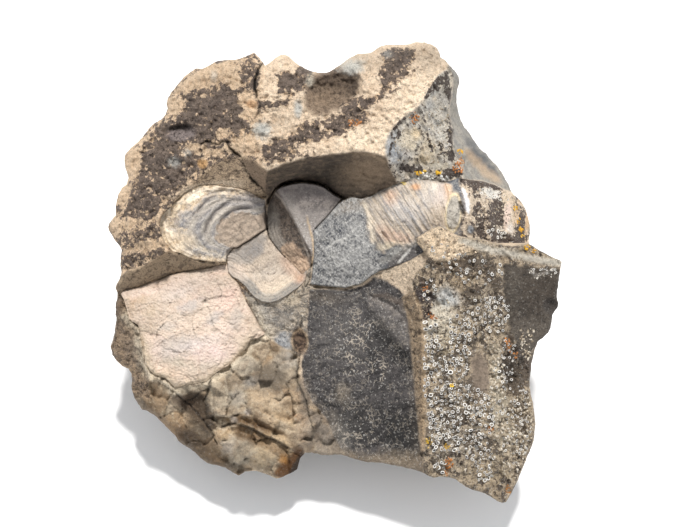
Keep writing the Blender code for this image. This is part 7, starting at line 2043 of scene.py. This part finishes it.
def paint_flank(p, pos, t):
    """Weathered sides and back of the block; pos in mm, t 0 at the rim."""
    x, y, zz = pos[:, 0], pos[:, 1], pos[:, 2]
    n1 = fbm(1, x / 26, y / 26, zz / 26, octaves=3)
    n2 = fbm(4, x / 9, y / 9, zz / 9, octaves=3)
    n3 = fbm(6, x / 3, y / 3, zz / 3, octaves=3)
    n4 = fbm(7, x / 15 + 5, y / 15, zz / 15, octaves=3)
    depth, joint, val = flank_facets(pos)
    a = np.tile(lin(188, 170, 146), (len(x), 1))
    b = np.tile(lin(108, 97, 86), (len(x), 1))
    a += (lin(150, 142, 130) - a) * smooth(0.5 + 1.8 * n1)[:, None]
    a += (lin(212, 194, 168) - a) * (smooth(0.2 + 1.6 * n3) * 0.5)[:, None]
    a += (lin(176, 148, 114) - a) * (smooth((val - 0.62) / 0.1) * 0.55)[:, None]
    a += (lin(124, 112, 98) - a) * (smooth((0.30 - val) / 0.1) * 0.5)[:, None]
    b += (CRUST - b) * smooth(0.5 + 1.8 * n4)[:, None]
    cov = 0.34 + 0.95 * np.clip(n4 + 0.35 * n2, -0.25, 0.7) + 0.25 * n3
    # grey and white lichen patches
    pale = smooth((fbm(2, x / 7 + 3, y / 7, zz / 7, octaves=4) - 0.20) / 0.05)
    a += (lin(190, 188, 180) - a) * (pale * 0.7)[:, None]
    cov = cov - 0.2 * pale
    # damp, darker foot; darker open joints
    foot = smooth((14.0 - zz + 5 * n2) / 12.0)
    a += (lin(132, 116, 98) - a) * (foot * 0.6)[:, None]
    f = smooth(t / 0.14 + 0.5 * n2 - 0.1)
    p.a += (a - p.a) * f[:, None]
    p.b += (b - p.b) * f[:, None]
    p.cov += (np.clip(cov, 0.03, 0.97) - p.cov) * f
    p.grain += (0.85 - p.grain) * f
    p.speck += (0.22 - p.speck) * f
    p.bump += (0.9 - p.bump) * f
    p.rough += (0.92 - p.rough) * f
    p.shade(f * joint * 0.5)
    p.shade(f * smooth((depth - 2.4) / 1.6) * 0.16)


def flank_relief(pos, t):
    x, y, z = pos[:, 0], pos[:, 1], pos[:, 2]
    # beds of uneven hardness, each broken back along a ragged edge
    layer = z + 0.14 * x - 0.05 * y + 4.0 * fbm(3, x / 24, y / 24, z / 24, octaves=4)
    saw = (layer / 9.5) % 1.0
    hard = 0.35 + 0.65 * (np.sin(np.floor(layer / 9.5) * 12.9898 + 4.1) * 0.5 + 0.5)
    ledge = 1.5 * hard * saw * smooth((1 - saw) / 0.13)
    depth, joint, val = flank_facets(pos)
    knobs = 0.8 * (fbm(2, x / 5, y / 5, z / 5, octaves=3) + 0.35) + 0.5 * (fbm(6, x / 2.2, y / 2.2, z / 2.2, octaves=2) + 0.35)
    return np.clip(ledge + depth + knobs, 0.0, 5.2) * smooth(t / 0.09) * smooth((1 - t) / 0.05 + 0.15)


def block_mesh():
    rim = jitter(resample(OUTLINE, RIM_FINE), 0.9)
    n = len(rim)
    g = grid_points(rim, FINE, FINE * 0.55)
    hid = under_fossils(g[:, 0], g[:, 1])
    # sparse under the pieces of ammonite, where nothing shows
    k = np.arange(len(g))
    keep = (hid < 2.0) | ((hid < 5.0) & (k % 4 == 0)) | (k % 24 == 0)
    xy, tris = triangulate(rim, g[keep])
    assert np.allclose(xy[:n], rim, atol=1e-3)
    x, y = xy[:, 0].copy(), xy[:, 1].copy()
    z = zones(x, y)
    w = surface(x, y, z)
    # the rim keeps the depth of the clean outline, so its crest runs smooth
    clean = resample(OUTLINE, RIM_FINE)
    w[:n] = surface(clean[:, 0], clean[:, 1], zones(clean[:, 0], clean[:, 1]))
    w[:n] = 0.5 * w[:n] + 0.25 * (np.roll(w[:n], 1) + np.roll(w[:n], -1))
    face = Paint(x, y)
    paint_face(face, z)
    verts = [np.stack(to_world(x, y, w), 1)]
    tris = [np.array(tris, dtype=np.int64)]
    planes = facet_planes()
    ts = np.concatenate([[0.008, 0.02, 0.036], np.linspace(0.055, 1.0, FLANK_LEVELS - 3)])
    prev, first = np.arange(n), len(x)
    inward = np.array(SEAT_CENTRE) - rim
    inward = np.stack([inward[:, 0], -inward[:, 1], np.zeros(n)], 1)
    inward /= np.linalg.norm(inward, axis=1, keepdims=True)
    pos_all, t_all = [], []
    for t, ring in zip(ts, flank_rings(rim, w[:n], ts)):
        ring = strike(ring, planes, t)
        ring = ring + inward * flank_relief(ring, np.full(n, t))[:, None] * (1.0 if t < 1.0 else 0.0)
        if t == 1.0:
            ring = ring + inward * 0.6
            ring[:, 2] = 0.0
        cur = np.arange(first, first + n)
        nxt, pnx = np.roll(cur, -1), np.roll(prev, -1)
        tris.append(np.stack([prev, pnx, nxt], 1))
        tris.append(np.stack([prev, nxt, cur], 1))
        verts.append(ring)
        pos_all.append(ring)
        t_all.append(np.full(n, t))
        prev, first = cur, first + n
    base = ring[:, :2]
    bxy, btris = triangulate(base, grid_points(base, 6.0, 3.0))
    bt = np.array(btris, dtype=np.int64)
    look = np.concatenate([prev, np.arange(first, first + len(bxy) - n)])
    under = np.stack([bxy[n:, 0], bxy[n:, 1], np.zeros(len(bxy) - n)], 1)
    verts.append(under)
    pos_all.append(under)
    t_all.append(np.ones(len(under)))
    bt = look[bt]
    # face triangles and seat triangles turn opposite ways in plan
    tris.append(bt)
    verts = np.concatenate(verts)
    pos, t = np.concatenate(pos_all), np.concatenate(t_all)
    # finish of the flanks starts from the rim's own
    full = Paint(np.concatenate([x, np.zeros(len(pos))]), np.concatenate([y, np.zeros(len(pos))]))
    m = len(x)
    rep = np.tile(np.arange(n), len(ts))
    rep = np.concatenate([rep, np.zeros(len(under), dtype=int)])
    side = Paint(np.zeros(len(pos)), np.zeros(len(pos)))
    for key in ("a", "b") + Paint.FIELDS:
        setattr(side, key, getattr(face, key)[rep].copy())
    paint_flank(side, pos, t)
    for key in ("a", "b") + Paint.FIELDS:
        setattr(full, key, np.concatenate([getattr(face, key), getattr(side, key)]))
    return verts, tris, full


def fossil_mesh(outline, sheets, cell, skirt, relief_fn, paint_fn):
    rim = resample(outline, cell * 1.2)
    n = len(rim)
    xy, tris = triangulate(rim, grid_points(rim, cell, cell * 0.6))
    assert np.allclose(xy[:n], rim, atol=1e-3)
    x, y = xy[:, 0].copy(), xy[:, 1].copy()
    edge = inset(x, y, outline)
    w = face_depth(x, y) + relief_fn(x, y) * smooth((edge + 0.3) / 1.6) + seam_cuts(x, y) * 0.8
    p = Paint(x, y)
    paint_fn(p)
    # painted shade along the open joints, darker where a joint is deeper
    for half, depth, pts in SEAMS:
        p.shade(stroke(x, y, pts, half * 0.9, wobble=1.2) * min(0.6, 0.3 * depth))
    m = len(x)
    low = np.stack(to_world(rim[:, 0], rim[:, 1], w[:n] - skirt), 1)
    verts = np.concatenate([np.stack(to_world(x, y, w), 1), low])
    cur, prev = np.arange(m, m + n), np.arange(n)
    nxt, pnx = np.roll(cur, -1), np.roll(prev, -1)
    cxy, ctris = triangulate(rim, np.zeros((0, 2)))
    cap = np.array(ctris, dtype=np.int64)[:, ::-1] + m
    tris = [np.array(tris, dtype=np.int64), np.stack([prev, pnx, nxt], 1), np.stack([prev, nxt, cur], 1), cap]
    # the skirt ring takes the rim's colours darkened to 0.8: painted shade on the piece's sides
    for key in ("a", "b") + Paint.FIELDS:
        v = getattr(p, key)
        setattr(p, key, np.concatenate([v, v[:n] * (0.8 if key in "ab" else 1.0)]))
    return verts, tris, p


def consistent(tris):
    """Turn each block of triangles so that shared edges run opposite ways."""
    out = [tris[0]]
    have = set()
    t0 = tris[0]
    for a, b in ((0, 1), (1, 2), (2, 0)):
        have.update(zip(t0[:, a].tolist(), t0[:, b].tolist()))
    for t in tris[1:]:
        e = []
        for a, b in ((0, 1), (1, 2), (2, 0)):
            e += list(zip(t[:, a].tolist(), t[:, b].tolist()))
        clash = sum(1 for q in e if q in have)
        if clash:
            t = t[:, ::-1]
            e = [(b, a) for a, b in e]
        have.update(e)
        out.append(t)
    return np.concatenate(out)


# ---------------------------------------------------------------- lichens
def rock_surface(x, y):
    """Visible depth anywhere on the face, the pieces of ammonite included."""
    x, y = np.asarray(x, float), np.asarray(y, float)
    z = zones(x, y)
    w = surface(x, y, z)
    i = np.nonzero(inside(x, y, WHORL))[0]
    if len(i):
        w[i] = face_depth(x[i], y[i]) + whorl_relief(x[i], y[i])
    return w


def frame_at(x, y, e=0.9):
    """Point (mm) and two tangents and the normal of the face."""
    c = np.stack(to_world(x, y, rock_surface(x, y)), 1)
    a = np.stack(to_world(x + e, y, rock_surface(x + e, y)), 1) - np.stack(to_world(x - e, y, rock_surface(x - e, y)), 1)
    b = np.stack(to_world(x, y - e, rock_surface(x, y - e)), 1) - np.stack(to_world(x, y + e, rock_surface(x, y + e)), 1)
    n = np.cross(a, b)
    n /= np.linalg.norm(n, axis=1, keepdims=True)
    # lean half-way to the view so that cups on rough ground still sit flat
    flat = np.stack(to_world(x * 0 + GX, y * 0 + GY, x * 0 + 1.0), 1) - np.stack(to_world(x * 0 + GX, y * 0 + GY, x * 0), 1)
    n = n * 0.75 + flat / np.linalg.norm(flat, axis=1, keepdims=True) * 0.25
    n /= np.linalg.norm(n, axis=1, keepdims=True)
    a -= n * np.sum(a * n, axis=1, keepdims=True)
    a /= np.linalg.norm(a, axis=1, keepdims=True)
    return c, a, np.cross(n, a), n


# where pale disc lichens grow: (outline, discs, radius range in grid units)
DISCS = [
    ([(424,322),(436,324),(440,345),(450,360),(452,384),(444,392),(424,390)], 150, (1.4,2.3)),
    ([(450,318),(466,312),(478,310),(476,330),(470,350),(468,372),(458,380),(452,364),(450,340)], 170, (1.1,2.0)),
    ([(474,300),(500,296),(510,306),(506,330),(490,334),(478,322)], 60, (1.0,1.8)),
    ([(424,386),(450,382),(474,386),(490,396),(496,420),(488,436),(456,440),(430,430)], 360, (1.2,2.1)),
    ([(428,428),(456,436),(484,436),(494,456),(492,480),(480,486),(474,460),(450,450),(434,452)], 170, (1.1,2.0)),
    ([(434,460),(446,462),(444,474),(434,474)], 12, (1.4,2.0)),
    ([(506,340),(516,344),(512,380),(516,420),(500,420),(490,400),(494,360)], 70, (0.9,1.6)),
    ([(520,380),(530,384),(532,420),(528,450),(510,470),(500,440),(512,410)], 70, (0.9,1.5)),
    ([(530,268),(556,268),(556,277),(532,277)], 9, (0.9,1.4)),
    ([(430,246),(446,244),(470,256),(500,262),(510,276),(480,290),(452,276),(434,262)], 46, (1.0,1.9)),
    ([(476,184),(500,190),(508,200),(480,200)], 16, (0.9,1.6)),
    ([(488,228),(506,232),(500,240),(488,236)], 8, (1.3,1.9)),
    ([(424,262),(430,262),(436,290),(432,306),(424,300)], 9, (1.2,2.0)),
    ([(428,110),(450,108),(450,150),(430,146)], 14, (0.8,1.4)),
]


def disc_lichens():
    rng = np.random.RandomState(7)
    xs, ys, rs = [], [], []
    for outline, count, (r0, r1) in DISCS:
        o = np.asarray(outline, dtype=float)
        k = count * 14
        cx, cy = rng.uniform(o[:, 0].min(), o[:, 0].max(), k), rng.uniform(o[:, 1].min(), o[:, 1].max(), k)
        cr, luck = rng.uniform(r0, r1, k), rng.uniform(-0.5, 0.4, k)
        ok = (fbm(2, cx / 9.0, cy / 9.0, octaves=2) > luck) & inside(cx, cy, o) & (inset(cx, cy, OUTLINE) > 4.0)
        got = 0
        for x, y, r in zip(cx[ok], cy[ok], cr[ok]):
            if got >= count:
                break
            if xs and np.min(np.hypot(np.array(xs) - x, np.array(ys) - y) - (np.array(rs) + r)) < 0.05:
                continue
            xs.append(x)
            ys.append(y)
            rs.append(r)
            got += 1
    x, y, r = np.array(xs), np.array(ys), np.array(rs) * UNIT * 1.12
    c, a, b, n = frame_at(x, y)
    seg = 10
    prof = [(0.85, -0.55), (1.0, 0.06), (0.94, 0.30), (0.72, 0.32), (0.56, 0.06)]
    verts, tris, cols = [], [], []
    for k in range(len(x)):
        first = len(verts)
        squash, turn = rng.uniform(0.8, 1.0), rng.uniform(0, math.pi)
        dark = lin(*[(70, 62, 58), (92, 82, 74), (132, 122, 110)][rng.randint(3)])
        pale = lin(*[(218, 216, 210), (196, 194, 190), (228, 226, 220)][rng.randint(3)])
        wob = 1.0 + 0.12 * np.sin(np.arange(seg) * 2 * math.pi / seg * 2 + rng.uniform(0, 6)) \
            + 0.06 * rng.uniform(-1, 1, seg)
        for q, (pr, ph) in enumerate(prof):
            for s in range(seg):
                t = s * 2 * math.pi / seg
                u, v = math.cos(t) * pr * wob[s], math.sin(t) * pr * wob[s] * squash
                u, v = u * math.cos(turn) - v * math.sin(turn), u * math.sin(turn) + v * math.cos(turn)
                verts.append(c[k] + (a[k] * u + b[k] * v) * r[k] + n[k] * ph * r[k] * 0.8)
                cols.append(pale if q < 4 else dark)
        top = len(verts)
        verts.append(c[k] + n[k] * 0.10 * r[k])
        cols.append(dark)
        for q in range(len(prof) - 1):
            for s in range(seg):
                i0, i1 = first + q * seg + s, first + q * seg + (s + 1) % seg
                tris += [(i0, i1, i1 + seg), (i0, i1 + seg, i0 + seg)]
        last = first + (len(prof) - 1) * seg
        for s in range(seg):
            tris.append((last + s, last + (s + 1) % seg, top))
        for s in range(1, seg - 1):
            tris.append((first, first + s + 1, first + s))
    p = Paint(np.zeros(len(verts)), np.zeros(len(verts)))
    p.a[:] = np.array(cols)
    p.b[:] = np.array(cols) * 0.72
    p.cov[:], p.grain[:], p.rough[:], p.bump[:] = 0.3, 0.35, 0.9, 0.3
    return np.array(verts), np.array(tris), p


# small crusts: (x, y, rx, ry, grains, colour)
CRUSTS = [
    (354,123,8,3.4,26,(176,120,74)),(414,118,4.5,6,22,(180,122,74)),(458,168,5.5,6,40,(178,118,70)),(462,160,3,4,10,(172,120,70)),
    (449,463,4.5,6,34,(170,112,62)),(447,472,3,4,14,(164,110,64)),(447,446,3.5,3,12,(186,148,66)),(429,442,3,6,16,(176,150,96)),(490,430,3.5,4,14,(172,116,66)),(452,385,2,2,5,(200,160,60)),(516,356,3,4,10,(158,108,66)),(509,346,3.4,6,16,(166,112,64)),(508,490,3,5,16,(160,112,66)),(431,315,3,3,8,(176,116,70)),(425,288,3,2.6,10,(176,116,70)),(508,340,3,3,8,(176,116,66)),(434,318,3,3,8,(168,108,66)),
    (418,173,4,2.4,18,(206,160,48)),(439,173,3.4,2.2,16,(208,164,52)),(460,152,3,2.4,10,(204,156,50)),(424,171,3,1.5,8,(214,176,70)),
    (515,208,2.6,2.4,12,(206,158,42)),(518.5,221,2.2,3,9,(202,152,42)),(521,229,2.4,2.4,12,(198,148,44)),(522.5,236,2,2,6,(196,156,70)),(527,247,3,2.6,12,(206,156,44)),
    (535,251,3,2,8,(204,152,50)),(428,440,2.4,3,8,(210,170,50)),(452,385,2.4,2.4,6,(214,176,60)),(404,183,3,1.6,8,(220,196,120)),
    (425,174,3,2,10,(222,218,210)),(431,177,4,2,14,(224,222,214)),(420,178,3,2,8,(218,216,208)),(444,178,4,2,12,(214,212,206)),
]


def crusts():
    rng = np.random.RandomState(19)
    ico = [(0,0,1)] + [(math.cos(t) * 0.9, math.sin(t) * 0.9, 0.35) for t in np.arange(6) * math.pi / 3] \
        + [(math.cos(t) * 0.9, math.sin(t) * 0.9, -0.45) for t in (np.arange(6) + 0.5) * math.pi / 3] + [(0,0,-0.9)]
    ico = np.array(ico)
    tri = []
    for i in range(6):
        j = (i + 1) % 6
        tri += [(0, 1 + i, 1 + j), (1 + i, 7 + i, 1 + j), (1 + j, 7 + i, 7 + j), (7 + i, 13, 7 + j)]
    tri = np.array(tri)
    xs, ys, cs, rr = [], [], [], []
    for cx, cy, rx, ry, count, colour in CRUSTS:
        for _ in range(count):
            r, t = math.sqrt(rng.rand()), rng.uniform(0, 2 * math.pi)
            shade, size = rng.uniform(0.75, 1.15), rng.uniform(0.14, 0.34)
            px, py = cx + rx * r * math.cos(t), cy + ry * r * math.sin(t)
            if inset(np.array([px]), np.array([py]), OUTLINE)[0] < 2.0:
                continue
            xs.append(px)
            ys.append(py)
            cs.append(lin(*colour) * shade)
            rr.append(size)
    c, a, b, n = frame_at(np.array(xs), np.array(ys))
    verts, tris, cols = [], [], []
    for k in range(len(xs)):
        shape = ico * (1 + 0.25 * rng.uniform(-1, 1, (len(ico), 1)))
        tris.append(tri + k * len(ico))
        verts.append(c[k] + rr[k] * (shape[:, :1] * a[k] * rng.uniform(0.9, 1.5) + shape[:, 1:2] * b[k] * rng.uniform(0.9, 1.5)
                                     + shape[:, 2:] * n[k] * 0.7))
        cols.append(np.tile(cs[k], (len(ico), 1)))
    p = Paint(np.zeros(len(ico) * len(xs)), np.zeros(len(ico) * len(xs)))
    p.a[:] = np.concatenate(cols)
    p.b[:] = p.a * 0.6
    p.cov[:], p.grain[:], p.rough[:], p.bump[:] = 0.3, 0.4, 0.9, 0.3
    return np.concatenate(verts), np.concatenate(tris), p


# small upstanding crumbs of lichen and rock: (outline, count, radius range in mm, colours)
PALE = [(184,172,152), (160,146,126), (200,190,174), (138,124,104)]
CRUMBS = [
    ([(488,346),(502,344),(506,380),(504,420),(510,450),(494,452),(490,400)], 330, (0.16,0.38), PALE),
    ([(508,398),(528,392),(534,420),(530,450),(514,484),(500,470),(506,430)], 330, (0.16,0.36), PALE),
    ([(520,330),(534,326),(534,350),(528,362),(520,352)], 70, (0.15,0.34), PALE),
    ([(528,268),(558,268),(556,275),(540,281),(530,278)], 46, (0.12,0.26), [(196,190,180), (160,152,140), (110,100,90)]),
    ([(436,300),(466,296),(492,290),(504,330),(492,352),(470,330),(440,334)], 190, (0.14,0.32), PALE),
    ([(428,396),(470,392),(492,430),(494,462),(474,480),(440,462),(428,440)], 160, (0.14,0.30), PALE + [(120,108,92)]),
    ([(426,326),(450,330),(456,384),(428,392)], 70, (0.14,0.30), PALE + [(120,108,92)]),
    ([(432,110),(450,104),(452,150),(444,168),(424,164),(428,140)], 130, (0.13,0.28), PALE),
    ([(392,130),(404,130),(404,164),(394,158)], 40, (0.12,0.24), PALE),
    ([(474,186),(500,190),(524,204),(528,236),(500,240),(476,226)], 120, (0.13,0.30), PALE + [(110,96,84)]),
    ([(418,240),(452,238),(478,252),(452,262),(430,262)], 120, (0.14,0.34), [(206,184,156), (150,132,112), (226,204,176)]),
    ([(430,262),(480,262),(500,276),(494,290),(462,286),(436,280)], 150, (0.14,0.32), [(120,104,88), (176,160,138), (92,80,68)]),
    ([(420,280),(432,276),(434,320),(424,322)], 50, (0.15,0.34), [(120,104,92), (196,176,150), (90,76,70)]),
]


def crumbs():
    rng = np.random.RandomState(31)
    ico = [(0,0,1)] + [(math.cos(t) * 0.9, math.sin(t) * 0.9, 0.30) for t in np.arange(5) * math.pi / 2.5] \
        + [(math.cos(t), math.sin(t), -0.5) for t in (np.arange(5) + 0.5) * math.pi / 2.5] + [(0,0,-0.9)]
    ico = np.array(ico)
    tri = []
    for i in range(5):
        j = (i + 1) % 5
        tri += [(0, 1 + i, 1 + j), (1 + i, 6 + i, 1 + j), (1 + j, 6 + i, 6 + j), (6 + i, 11, 6 + j)]
    tri = np.array(tri)
    xs, ys, rs, cs = [], [], [], []
    for outline, count, (r0, r1), colours in CRUMBS:
        o = np.asarray(outline, dtype=float)
        k = count * 8
        cx, cy = rng.uniform(o[:, 0].min(), o[:, 0].max(), k), rng.uniform(o[:, 1].min(), o[:, 1].max(), k)
        ok = (fbm(4, cx / 5.0, cy / 7.0, octaves=2) > rng.uniform(-0.4, 0.35, k)) & inside(cx, cy, o) & (inset(cx, cy, OUTLINE) > 3.0)
        cx, cy = cx[ok][:count], cy[ok][:count]
        xs.append(cx)
        ys.append(cy)
        rs.append(rng.uniform(r0, r1, len(cx)))
        cs.append(np.array([lin(*colours[i]) for i in rng.randint(0, len(colours), len(cx))]) * rng.uniform(0.8, 1.1, (len(cx), 1)))
    xs, ys, rs, cs = np.concatenate(xs), np.concatenate(ys), np.concatenate(rs), np.concatenate(cs)
    c, a, b, n = frame_at(xs, ys)
    count, m = len(xs), len(ico)
    shape = ico[None] * (1 + 0.28 * rng.uniform(-1, 1, (count, m, 1)))
    sx, sy, turn = rng.uniform(0.7, 1.6, (count, 1)), rng.uniform(0.7, 1.3, (count, 1)), rng.uniform(0, math.pi, (count, 1))
    u, v = shape[:, :, 0] * sx, shape[:, :, 1] * sy
    u, v = u * np.cos(turn) - v * np.sin(turn), u * np.sin(turn) + v * np.cos(turn)
    verts = c[:, None] + rs[:, None, None] * (a[:, None] * u[:, :, None] + b[:, None] * v[:, :, None] + n[:, None] * shape[:, :, 2:] * 0.75)
    tris = tri[None] + (np.arange(count) * m)[:, None, None]
    p = Paint(np.zeros(count * m), np.zeros(count * m))
    p.a[:] = np.repeat(cs, m, axis=0)
    p.b[:] = p.a * 0.6
    p.cov[:], p.grain[:], p.rough[:], p.bump[:] = 0.35, 0.5, 0.9, 0.4
    return verts.reshape(-1, 3), tris.reshape(-1, 3), p


# ---------------------------------------------------------------- the object
def build():
    rock = stone("weathered_mudstone")
    v, t, p = block_mesh()
    piece("rock_block", v, consistent(t), p, rock, "matrix_block")
    cell = 0.85
    for name, outline, node, slot, skirt, relief_fn, paint_fn, mat in [
            ("outer_whorl_shell", WHORL, "outer_whorl", "whorl_nacre", 1.8, whorl_relief, paint_whorl,
             stone("whorl_nacre", 0.9)),
            ("inner_whorl", LOBE, "inner_whorl_cast", "dark_cast", 2.2, lobe_relief, paint_lobe, stone("dark_cast", 0.8)),
            ("ribbed_flank", RIBBED, "ribbed_flank_shell", "ribbed_shell", 1.6, ribbed_relief, paint_ribbed,
             stone("ribbed_shell", 0.8)),
            ("inner_spoon", SPOON, "inner_shell_spoon", "growth_shell", 1.4, spoon_relief, paint_spoon,
             stone("growth_shell", 0.8)),
            ("pearl_plate", PLATE, "nacre_plate", "pearl_plate", 1.6, plate_relief, paint_plate,
             stone("pearl_plate", 0.9))]:
        v, t, p = fossil_mesh(outline, None, cell, skirt, relief_fn, paint_fn)
        piece(name, v, consistent(t), p, mat, node)
    v, t, p = disc_lichens()
    piece("disc_lichens", v, t, p, stone("disc_lichen", 0.5), None)
    v, t, p = crusts()
    piece("crust_lichens", v, t, p, stone("crust_lichen", 0.5), None)
    v, t, p = crumbs()
    piece("crumb_lichens", v, t, p, stone("crumb_lichen", 0.5), None)


def view_axes():
    s, c = math.sin(LEAN), math.cos(LEAN)
    return Vector((1, 0, 0)), Vector((0, s, c)), Vector((0, -c, s))


def camera():
    right, up, back = view_axes()
    at = Vector((-OFF_X, 0, 0)) / 1000.0
    x, y, z = to_world(np.array([GX]), np.array([GY]), np.array([TAPER - 1e-6]))
    cam = bpy.data.cameras.new("camera")
    cam.sensor_width = 36.0
    cam.lens = 36.0 * TAPER / (700.0 * UNIT)
    cam.clip_start, cam.clip_end = 0.01, 10.0
    obj = bpy.data.objects.new("camera", cam)
    m = Matrix((right, up, back)).transposed().to_4x4()
    m.translation = Vector((float(x[0]), float(y[0]), float(z[0]))) / 1000.0
    obj.matrix_world = m
    bpy.context.scene.collection.objects.link(obj)
    bpy.context.scene.camera = obj


def lights():
    right, up, back = view_axes()

    def sun(name, towards, strength, soft, colour):
        d = (right * towards[0] + up * towards[1] + back * towards[2]).normalized()
        lamp = bpy.data.lights.new(name, "SUN")
        lamp.energy = strength
        lamp.angle = math.radians(soft)
        lamp.color = colour
        obj = bpy.data.objects.new(name, lamp)
        obj.rotation_euler = d.to_track_quat("Z", "Y").to_euler()
        obj.location = d * 1.0
        bpy.context.scene.collection.objects.link(obj)

    sun("key", KEY_DIR, KEY_POWER, KEY_SOFT, (1.0, 0.985, 0.96))
    world = bpy.data.worlds.new("studio")
    world.use_nodes = True
    bg = world.node_tree.nodes["Background"]
    bg.inputs["Color"].default_value = (0.95, 0.97, 1.0, 1.0)
    bg.inputs["Strength"].default_value = FILL_POWER
    bpy.context.scene.world = world
    bpy.context.scene.view_settings.view_transform = "Standard"
    bpy.context.scene.view_settings.look = "None"


KEY_DIR = (0.06, 0.68, 0.73)     # towards the light: right, up the face, out of it
KEY_POWER, KEY_SOFT = 4.7, 6.0
FILL_POWER = 0.80


def floor():
    mesh = bpy.data.meshes.new("floor")
    s = 4.0
    mesh.from_pydata([(-s, -s, 0), (s, -s, 0), (s, s, 0), (-s, s, 0)], [], [(0, 1, 2, 3)])
    obj = bpy.data.objects.new("floor", mesh)
    obj.location.z = -0.0001
    bpy.context.scene.collection.objects.link(obj)
    mat = bpy.data.materials.new("floor")
    mat.use_nodes = True
    b = mat.node_tree.nodes["Principled BSDF"]
    b.inputs["Base Color"].default_value = (0.92, 0.92, 0.92, 1)
    b.inputs["Roughness"].default_value = 0.9
    b.inputs["Specular IOR Level"].default_value = 0.1
    mesh.materials.append(mat)


build()
camera()
lights()
floor()
bpy.context.view_layer.update()
